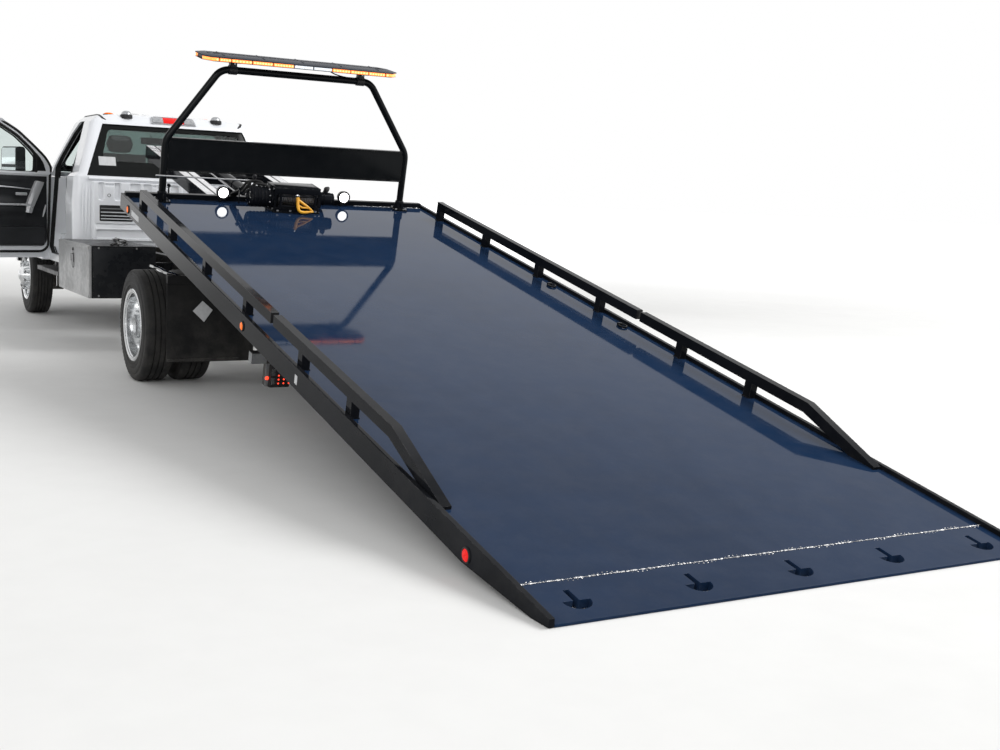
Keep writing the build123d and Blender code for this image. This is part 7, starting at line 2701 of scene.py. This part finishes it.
@dataclass
class ChassisDress:
    """Frame rails, axles, springs, tank, exhaust and the small parts that hang from them."""

    rear_x: float = 5.860
    front_x: float = 11.067
    hub_z: float = 0.405
    spring_y: float = 0.490
    rail_y: float = 0.4335
    bolt_pitch: float = 0.128
    cover_circle: float = 0.160
    tank_straps: Pair = (9.16, 9.76)
    muffler_clamps: Pair = (9.12, 9.88)
    pipe_clamps: Pair = (7.6, 8.5)
    pipe_z: float = 0.520

    def build(self) -> None:
        """Finishes the nodes and adds the pieces."""
        for node, finish, edge in (("chassis_frame", FRAME_PAINT, 0.002),
                                   ("frame_cross_members", FRAME_PAINT, 0.003),
                                   ("leaf_springs", FRAME_PAINT, 0.003), ("rear_axle", CAST, 0.003),
                                   ("front_axle", CAST, 0.004), ("knuckle_left", CAST, 0.003),
                                   ("knuckle_right", CAST, 0.003), ("driveline", CAST, 0.006),
                                   ("exhaust", EXHAUST_STEEL, 0.0), ("fuel_tank", TANK_SHEET, 0.004)):
            dress(node, finish, edge)
        self.springs()
        self.rails()
        self.brakes()
        self.tank()

    def springs(self) -> None:
        """Leaf edges, U bolts with their plates, and shackle pins."""
        leaves, bolts, pins = Form(), Form(), Form()
        for x, half, z_mid, z_end, thick in ((self.rear_x, 0.700, 0.485, 0.600, 0.090),
                                             (self.front_x, 0.620, 0.430, 0.590, 0.070)):
            for side in (1, -1):
                y = side * self.spring_y
                for k in range(5):
                    run = half - 0.11 * k
                    z = z_mid + thick - 0.006 - (thick - 0.012) * k / 5
                    rise = (z_end + thick * 0.5 - z_mid - thick) * run / half
                    bow = max(rise, 0.0) * 0.9
                    leaf = ((-0.0385, -0.0055), (0.0385, -0.0055), (0.0385, 0.0055), (-0.0385, 0.0055))
                    leaves.rings([[(x + d, y + a, z + dz + b) for a, b in leaf]
                                  for d, dz in ((-run, bow), (-0.12, 0.0), (0.12, 0.0), (run, bow))])
                for dx in (-0.075, 0.075):
                    path = bent([(x + dx, y - 0.048, z_mid - 0.060),
                                 (x + dx, y - 0.048, z_mid + thick + 0.012),
                                 (x + dx, y + 0.048, z_mid + thick + 0.012),
                                 (x + dx, y + 0.048, z_mid - 0.060)], 0.02, 4)
                    bolts.tube(path, 0.009, 8)
                bolts.box((x - 0.100, y - 0.062, z_mid - 0.052), (x + 0.100, y + 0.062, z_mid - 0.034), 0.004)
                for dx in (-half, half):
                    pins.tube([(x + dx, y - 0.050, z_end + 0.030), (x + dx, y + 0.052, z_end + 0.030)],
                              0.016, 12)
        place(leaves, "leaf_edges", Body.CHASSIS, CAST)
        place(bolts, "spring_u_bolts", Body.CHASSIS, STEEL_GREY)
        place(pins, "shackle_pins", Body.CHASSIS, STEEL_GREY)

    def rails(self) -> None:
        """Bolts down the rails' webs, the lines clipped along them, and the hinge pins' caps."""
        webs = []
        for side in (1, -1):
            for k in range(56):
                x = 4.70 + self.bolt_pitch * k
                webs.append((x, side * self.rail_y, 0.660 + 0.100 * (k % 2)))
        ROUNDS.at("rail_bolts", webs, (0.018, 0.018, 0.006), Body.CHASSIS, FRAME_PAINT, aim=(0, 1, 0))
        lines = Form()
        for y, z, r in ((0.405, 0.690, 0.008), (0.398, 0.712, 0.006), (-0.405, 0.690, 0.010)):
            lines.tube([(4.75, y, z), (6.50, y, z - 0.006), (8.60, y, z), (10.30, y, z - 0.004),
                        (11.60, y, z)], r, 8)
        place(lines, "frame_lines", Body.CHASSIS, RUBBER)
        clips = Form()
        for k in range(16):
            x = 4.90 + 0.44 * k
            for side in (1, -1):
                clips.box((x - 0.010, side * 0.388, 0.676), (x + 0.010, side * 0.424, 0.724), 0.003)
        place(clips, "frame_line_clips", Body.CHASSIS, STEEL_GREY)
        pins = Form()
        for side in (1, -1):
            pins.lathe([(0.0, 0.046), (0.022, 0.046), (0.034, 0.040), (0.034, 0.0405), (0.036, 0.030),
                        (0.0, 0.030)], (4.600, side * 0.4315, 0.730), (0, side, 0), 24, close=False)
        place(pins, "hinge_pin_caps", Body.CHASSIS, STEEL)

    def brakes(self) -> None:
        """Brake brackets and chambers, shock absorbers, and the rear axle's bolted cover."""
        plates, cans, rods = Form(), Form(), Form()
        for side in (1, -1):
            cans.lathe([(0.0, 0.0), (0.052, 0.002), (0.062, 0.012), (0.062, 0.040), (0.070, 0.046),
                        (0.070, 0.056), (0.062, 0.062), (0.062, 0.095), (0.050, 0.108), (0.0, 0.110)],
                       (self.rear_x + 0.215, side * 0.575, 0.470), (-1, 0, 0), 28, close=False)
            cans.tube([(self.rear_x + 0.110, side * 0.575, 0.470),
                       (self.rear_x + 0.040, side * 0.600, 0.430)], 0.012, 10)
            plates.box((self.rear_x + 0.03, side * 0.560, 0.420),
                       (self.rear_x + 0.110, side * 0.590, 0.500), 0.006)
            low = (self.front_x - 0.090, side * 0.560, 0.370)
            top = (self.front_x - 0.200, side * 0.560, 0.780)
            mid = Vector(low).lerp(Vector(top), 0.5)
            rods.tube([low, mid], 0.020, 14)
            rods.tube([mid, top], 0.029, 14)
            rods.tube([(top[0], side * 0.425, 0.770), (top[0], side * 0.575, 0.770)], 0.016, 10)
            rods.tube([(low[0], side * 0.520, 0.372), (low[0], side * 0.575, 0.372)], 0.014, 10)
            rods.box((low[0] - 0.020, side * 0.500, 0.340), (self.front_x, side * 0.540, 0.395), 0.004)
        place(plates, "brake_brackets", Body.CHASSIS, CAST)
        place(cans, "brake_chambers", Body.CHASSIS, FRAME_PAINT)
        place(rods, "shock_absorbers", Body.CHASSIS, FRAME_PAINT)
        cover = Form()
        cover.lathe([(0.0, 0.188), (0.060, 0.184), (0.120, 0.160), (0.150, 0.126), (0.160, 0.108),
                     (0.168, 0.100), (0.168, 0.090), (0.0, 0.090)], (self.rear_x, 0.0, self.hub_z),
                    (-1, 0, 0), 48, close=False)
        place(cover, "axle_cover", Body.CHASSIS, CAST)
        ring = [(self.rear_x - 0.101, y, self.hub_z + z)
                for y, z in ellipse(self.cover_circle, self.cover_circle, 12)]
        HEXES.at("axle_cover_bolts", ring, (0.017, 0.017, 0.012), Body.CHASSIS, STEEL_GREY, aim=(-1, 0, 0))

    def tank(self) -> None:
        """Tank straps and the exhaust's clamps."""
        straps = Form()
        for x in self.tank_straps:
            loop = bent([(x, 0.436, 0.715), (x, 0.434, 0.690), (x, 0.434, 0.395), (x, 0.792, 0.395),
                         (x, 0.792, 0.705), (x, 0.436, 0.715)], 0.055, 5)
            straps.rings([[p + Vector((d, 0, 0)) for p in loop] for d in (-0.020, 0.020)], cap=False,
                         closed=False)
        place(straps, "tank_straps", Body.CHASSIS, STEEL)
        clamps = Form()
        for x in self.muffler_clamps:
            clamps.lathe([(0.104, -0.012), (0.110, -0.010), (0.110, 0.010), (0.104, 0.012)],
                         (x, -0.5795, self.pipe_z), (1, 0, 0), 36)
        for x in self.pipe_clamps:
            clamps.lathe([(0.041, -0.010), (0.048, -0.008), (0.048, 0.008), (0.041, 0.010)],
                         (x, -0.5245, self.pipe_z), (1, 0, 0), 24)
        place(clamps, "exhaust_clamps", Body.CHASSIS, STEEL)


@dataclass
class NoseDress:
    """Hood, fenders, grille, headlamps and bumper."""

    cowl: float = 10.640
    nose: float = 11.900
    bumper: float = 12.040
    lamp_y: float = 0.800
    fog_y: float = 0.760
    eye_y: float = 0.390
    arch: float = 0.512
    fender_y: float = 1.040
    arch_z: float = 0.440
    front_x: float = 11.067

    def build(self) -> None:
        """Finishes the nodes and adds the pieces."""
        for node, finish, edge in (("hood", WHITE_PAINT, 0.012), ("fenders", WHITE_PAINT, 0.016),
                                   ("grille", CHROME, 0.006), ("front_bumper", CHROME, 0.018),
                                   ("headlamps", LAMP_GLASS, 0.012)):
            dress(node, finish, edge)
        self.hood_lines()
        self.grille()
        self.lamps()
        self.bumper_parts()
        self.fenders()

    def hood_lines(self) -> None:
        """The hood's raised middle, side creases and rear vents."""
        def top(x: float) -> float:
            """Height of the hood's top at a station."""
            table = [(10.660, 1.478), (11.300, 1.452), (11.700, 1.400), (11.870, 1.330), (11.900, 1.290)]
            return CabDress._look_up(table, x)

        bulge = Form()

        def spot(u: float, v: float) -> Point:
            """Place on the raised middle of the hood.

            Args:
                u: share along the first way.
                v: share along the second way.

            Returns:
                The place.
            """
            x = 10.70 + 1.12 * u
            half = 0.50 - 0.12 * u
            y = half * (2 * v - 1)
            edge = min(1.0, min(v, 1 - v) / 0.09, u / 0.05, (1 - u) / 0.10)
            crown = 1 - (2 * v - 1) ** 2
            return (x, y, top(x) - 0.003 + 0.022 * CabDress.step(edge, 0.0, 1.0) + 0.008 * crown)

        bulge.slab(spot, 60, 60)
        place(bulge, "hood_bulge", Body.HOOD, WHITE_PAINT, fold=60.0)
        creases = Form()
        for side in (1, -1):
            creases.tube([(x, side * (0.70 - 0.02 * (x - 10.7)), top(x) - 0.004)
                          for x in (10.72, 10.80, 11.1, 11.4, 11.65, 11.76)],
                         [0.002, 0.010, 0.012, 0.012, 0.010, 0.002], 10)
        place(creases, "hood_creases", Body.HOOD, WHITE_PAINT)
        vents = Form()
        for side in (1, -1):
            for k in range(6):
                x = 10.715 + 0.020 * k
                vents.box((x, side * 0.56, top(x) - 0.002), (x + 0.010, side * 0.68, top(x) + 0.004), 0.001)
        place(vents, "hood_vents", Body.HOOD, PLASTIC)

    def grille(self) -> None:
        """Dark mesh behind the bars, and the blank badge plate."""
        mesh = Form()
        x = self.nose - 0.088
        for k in range(40):
            y = -0.58 + 1.16 * k / 39
            mesh.box((x - 0.001, y - 0.003, 0.855), (x + 0.006, y + 0.003, 1.226), 0.0008)
        for k in range(13):
            z = 0.862 + 0.0295 * k
            mesh.box((x - 0.001, -0.588, z - 0.003), (x + 0.006, 0.588, z + 0.003), 0.0008)
        place(mesh, "grille_mesh", Body.CHASSIS, PLASTIC)
        badge = Form()
        oval = ellipse(0.125, 0.052, 40)
        badge.rings([[(self.nose + 0.024 + d, a * c, 1.080 + b * c) for a, b in oval]
                     for c, d in ((0.90, -0.030), (1.0, 0.0), (1.0, 0.010), (0.95, 0.015))])
        place(badge, "grille_blank_plate", Body.CHASSIS, SILVER_TRIM)

    def lamps(self) -> None:
        """Headlamp bowls, turn lamps and their dark bezels behind the lens face."""
        bowls, turn, bezel = Form(), Form(), Form()
        face = self.nose + 0.035
        for side in (1, -1):
            for z, r in ((1.160, 0.062), (1.058, 0.044)):
                bowls.lathe([(0.0, 0.002), (r * 0.5, 0.004), (r, 0.0075), (r + 0.006, 0.009),
                             (r + 0.008, 0.0), (0.0, 0.0)], (face, side * self.lamp_y, z), (1, 0, 0), 40,
                            close=False)
            turn.box((face - 0.002, side * 0.905, 1.030), (face + 0.006, side * 0.990, 1.222), 0.008)
            bezel.box((face - 0.006, side * 0.665, 1.014), (face + 0.001, side * 1.006, 1.236), 0.006)
        place(bowls, "headlamp_bowls", Body.CHASSIS, CHROME)
        place(turn, "turn_lamp_lenses", Body.CHASSIS, AMBER_LENS)
        place(bezel, "headlamp_bezels", Body.CHASSIS, PLASTIC)

    def bumper_parts(self) -> None:
        """Air slot, pad strip, fog lamps, tow eyes and the blank plate."""
        face = self.bumper
        dark, fog, hooks, plate = Form(), Form(), Form(), Form()
        dark.box((face - 0.004, -0.52, 0.548), (face + 0.003, 0.52, 0.640), 0.010)
        dark.box((face - 0.010, -0.98, 0.755), (face + 0.002, 0.98, 0.7655), 0.003)
        for side in (1, -1):
            fog.lathe([(0.0, 0.003), (0.045, 0.002), (0.055, 0.005), (0.062, 0.0), (0.0, 0.0)],
                      (face, side * self.fog_y, 0.620), (1, 0, 0), 36, close=False)
            hooks.tube(bent([(face - 0.060, side * self.eye_y, 0.560),
                             (face - 0.014, side * self.eye_y, 0.560),
                             (face - 0.014, side * self.eye_y, 0.520),
                             (face - 0.050, side * self.eye_y, 0.520)], 0.02, 4), 0.013, 10)
        plate.box((face - 0.001, -0.155, 0.662), (face + 0.003, 0.155, 0.742), 0.003)
        place(dark, "bumper_slot", Body.CHASSIS, PLASTIC)
        place(fog, "fog_lamps", Body.CHASSIS, LAMP_GLASS)
        place(hooks, "tow_eyes", Body.CHASSIS, FRAME_PAINT)
        place(plate, "blank_front_plate", Body.CHASSIS, LABEL)

    def fenders(self) -> None:
        """Arch lips, body creases and the fenders' side vents."""
        lips, creases, vents = Form(), Form(), Form()
        centre = Vector((self.front_x, 0, self.arch_z))
        for side in (1, -1):
            arc = []
            for k in range(33):
                t = math.radians(-14 + 208 * k / 32)
                arc.append(centre + Vector((self.arch * math.cos(t), side * self.fender_y,
                                            self.arch * math.sin(t))))
            arc = [p for p in arc if p.z > 0.632]
            lips.tube(arc, 0.013, 8)
            creases.tube([(x, side * 1.042, 1.215 + 0.02 * (x - 11))
                          for x in (10.30, 10.36, 10.8, 11.4, 11.74, 11.80)],
                         [0.002, 0.009, 0.011, 0.011, 0.009, 0.002], 10)
            vents.box((10.335, side * 1.040, 1.275), (10.520, side * 1.052, 1.375), 0.006)
            for k in range(4):
                vents.box((10.350, side * 1.050, 1.288 + 0.020 * k),
                          (10.505, side * 1.056, 1.296 + 0.020 * k), 0.002)
        place(lips, "arch_lips", Body.CHASSIS, WHITE_PAINT)
        place(creases, "fender_creases", Body.CHASSIS, WHITE_PAINT)
        place(vents, "fender_vents", Body.CHASSIS, PLASTIC)




PARTS = (DeckDress(), HeadboardDress(), WinchDress(), TiltDress(), WheelsDress(), CabDress(), NoseDress(),
         BoxDress(), ChassisDress())


@dataclass
class Stage:
    """Pale floor, soft lights, white surroundings and the camera."""

    eye: Point = (-3.471, 3.419, 1.405)
    yaw: float = -29.833
    pitch: float = -7.781
    roll: float = 2.406
    lens: float = 45.658
    floor_half: float = 400.0
    fade_from: float = 9.0
    fade_to: float = 28.0
    sky_light: float = 0.62
    centre: Point = (5.0, 0.0, 0.0)
    floor_z: float = -0.0005

    def build(self) -> None:
        """Sets the whole stage."""
        self.floor()
        self.world()
        self.lights()
        self.camera()

    def floor(self) -> None:
        """A pale matt floor that fades to white far from the truck."""
        mesh = bpy.data.meshes.new("floor")
        h = self.floor_half
        mesh.from_pydata([(self.centre[0] + a * h, b * h, self.floor_z)
                          for a, b in ((-1, -1), (1, -1), (1, 1), (-1, 1))], [], [(0, 1, 2, 3)])
        item = bpy.data.objects.new("floor", mesh)
        bpy.context.collection.objects.link(item)
        paint = FLOOR.material()
        g = Graph(paint.node_tree)
        away = g.add("ShaderNodeVectorMath", operation="DISTANCE")
        g.put(away.inputs[0], g.add("ShaderNodeTexCoord").outputs["Object"])
        away.inputs[1].default_value = self.centre
        fade = g.add("ShaderNodeMapRange")
        g.put(fade.inputs["Value"], away.outputs["Value"])
        fade.inputs["From Min"].default_value = self.fade_from
        fade.inputs["From Max"].default_value = self.fade_to
        face = next(n for n in paint.node_tree.nodes if n.type == "BSDF_PRINCIPLED")
        face.inputs["Emission Color"].default_value = (1.0, 1.0, 1.0, 1.0)
        g.put(face.inputs["Emission Strength"], fade.outputs["Result"])
        mesh.materials.append(paint)

    def world(self) -> None:
        """White where it is seen or mirrored, softer where it lights."""
        world = bpy.data.worlds.new("surroundings")
        world.use_nodes = True
        bpy.context.scene.world = world
        tree = world.node_tree
        g = Graph(tree)
        ground = tree.nodes["Background"]
        rays = g.add("ShaderNodeLightPath")
        seen = g.calc("ADD", g.calc("ADD", rays.outputs["Is Camera Ray"], rays.outputs["Is Glossy Ray"]),
                      rays.outputs["Is Transmission Ray"], clamp=True)
        g.put(ground.inputs["Strength"], g.calc("ADD", g.calc("MULTIPLY", seen, 1.0 - self.sky_light),
                                                 self.sky_light))
        ground.inputs["Color"].default_value = (1.0, 1.0, 1.0, 1.0)

    def lights(self) -> None:
        """A wide soft key from the right and behind, and a weak fill."""
        for name, spot, target, size, power in (
                ("key", (1.0, -9.0, 11.0), (5.5, 0.0, 0.8), 9.0, 1500.0),
                ("fill", (-6.0, 9.0, 6.0), (5.0, 0.0, 1.0), 8.0, 420.0)):
            lamp = bpy.data.lights.new(name, "AREA")
            lamp.shape = "DISK"
            lamp.size = size
            lamp.energy = power
            item = bpy.data.objects.new(name, lamp)
            item.location = spot
            item.rotation_euler = (Vector(target) - Vector(spot)).to_track_quat("-Z", "Y").to_euler()
            bpy.context.collection.objects.link(item)

    def camera(self) -> None:
        """The camera at the photograph's place and angle."""
        yaw, pitch, roll = (math.radians(a) for a in (self.yaw, self.pitch, self.roll))
        ahead = Vector((math.cos(pitch) * math.cos(yaw), math.cos(pitch) * math.sin(yaw), math.sin(pitch)))
        right = ahead.cross(Vector((0, 0, 1))).normalized()
        up = right.cross(ahead)
        across = right * math.cos(roll) + up * math.sin(roll)
        upward = up * math.cos(roll) - right * math.sin(roll)
        lens = bpy.data.cameras.new("camera")
        lens.sensor_width = 36.0
        lens.lens = self.lens
        lens.clip_end = 900.0
        item = bpy.data.objects.new("camera", lens)
        turn = Matrix((across, upward, -ahead)).transposed().to_4x4()
        item.matrix_world = Matrix.Translation(self.eye) @ turn
        bpy.context.collection.objects.link(item)
        bpy.context.scene.camera = item




def main() -> None:
    """Builds the stage and every sub-assembly."""
    logging.basicConfig(level=logging.INFO, format="%(name)s: %(message)s")
    bpy.context.scene.view_settings.view_transform = "Standard"
    for part in (Stage(), *PARTS):
        LOG.info("building %s", type(part).__name__)
        part.build()


if __name__ == "__main__":
    main()
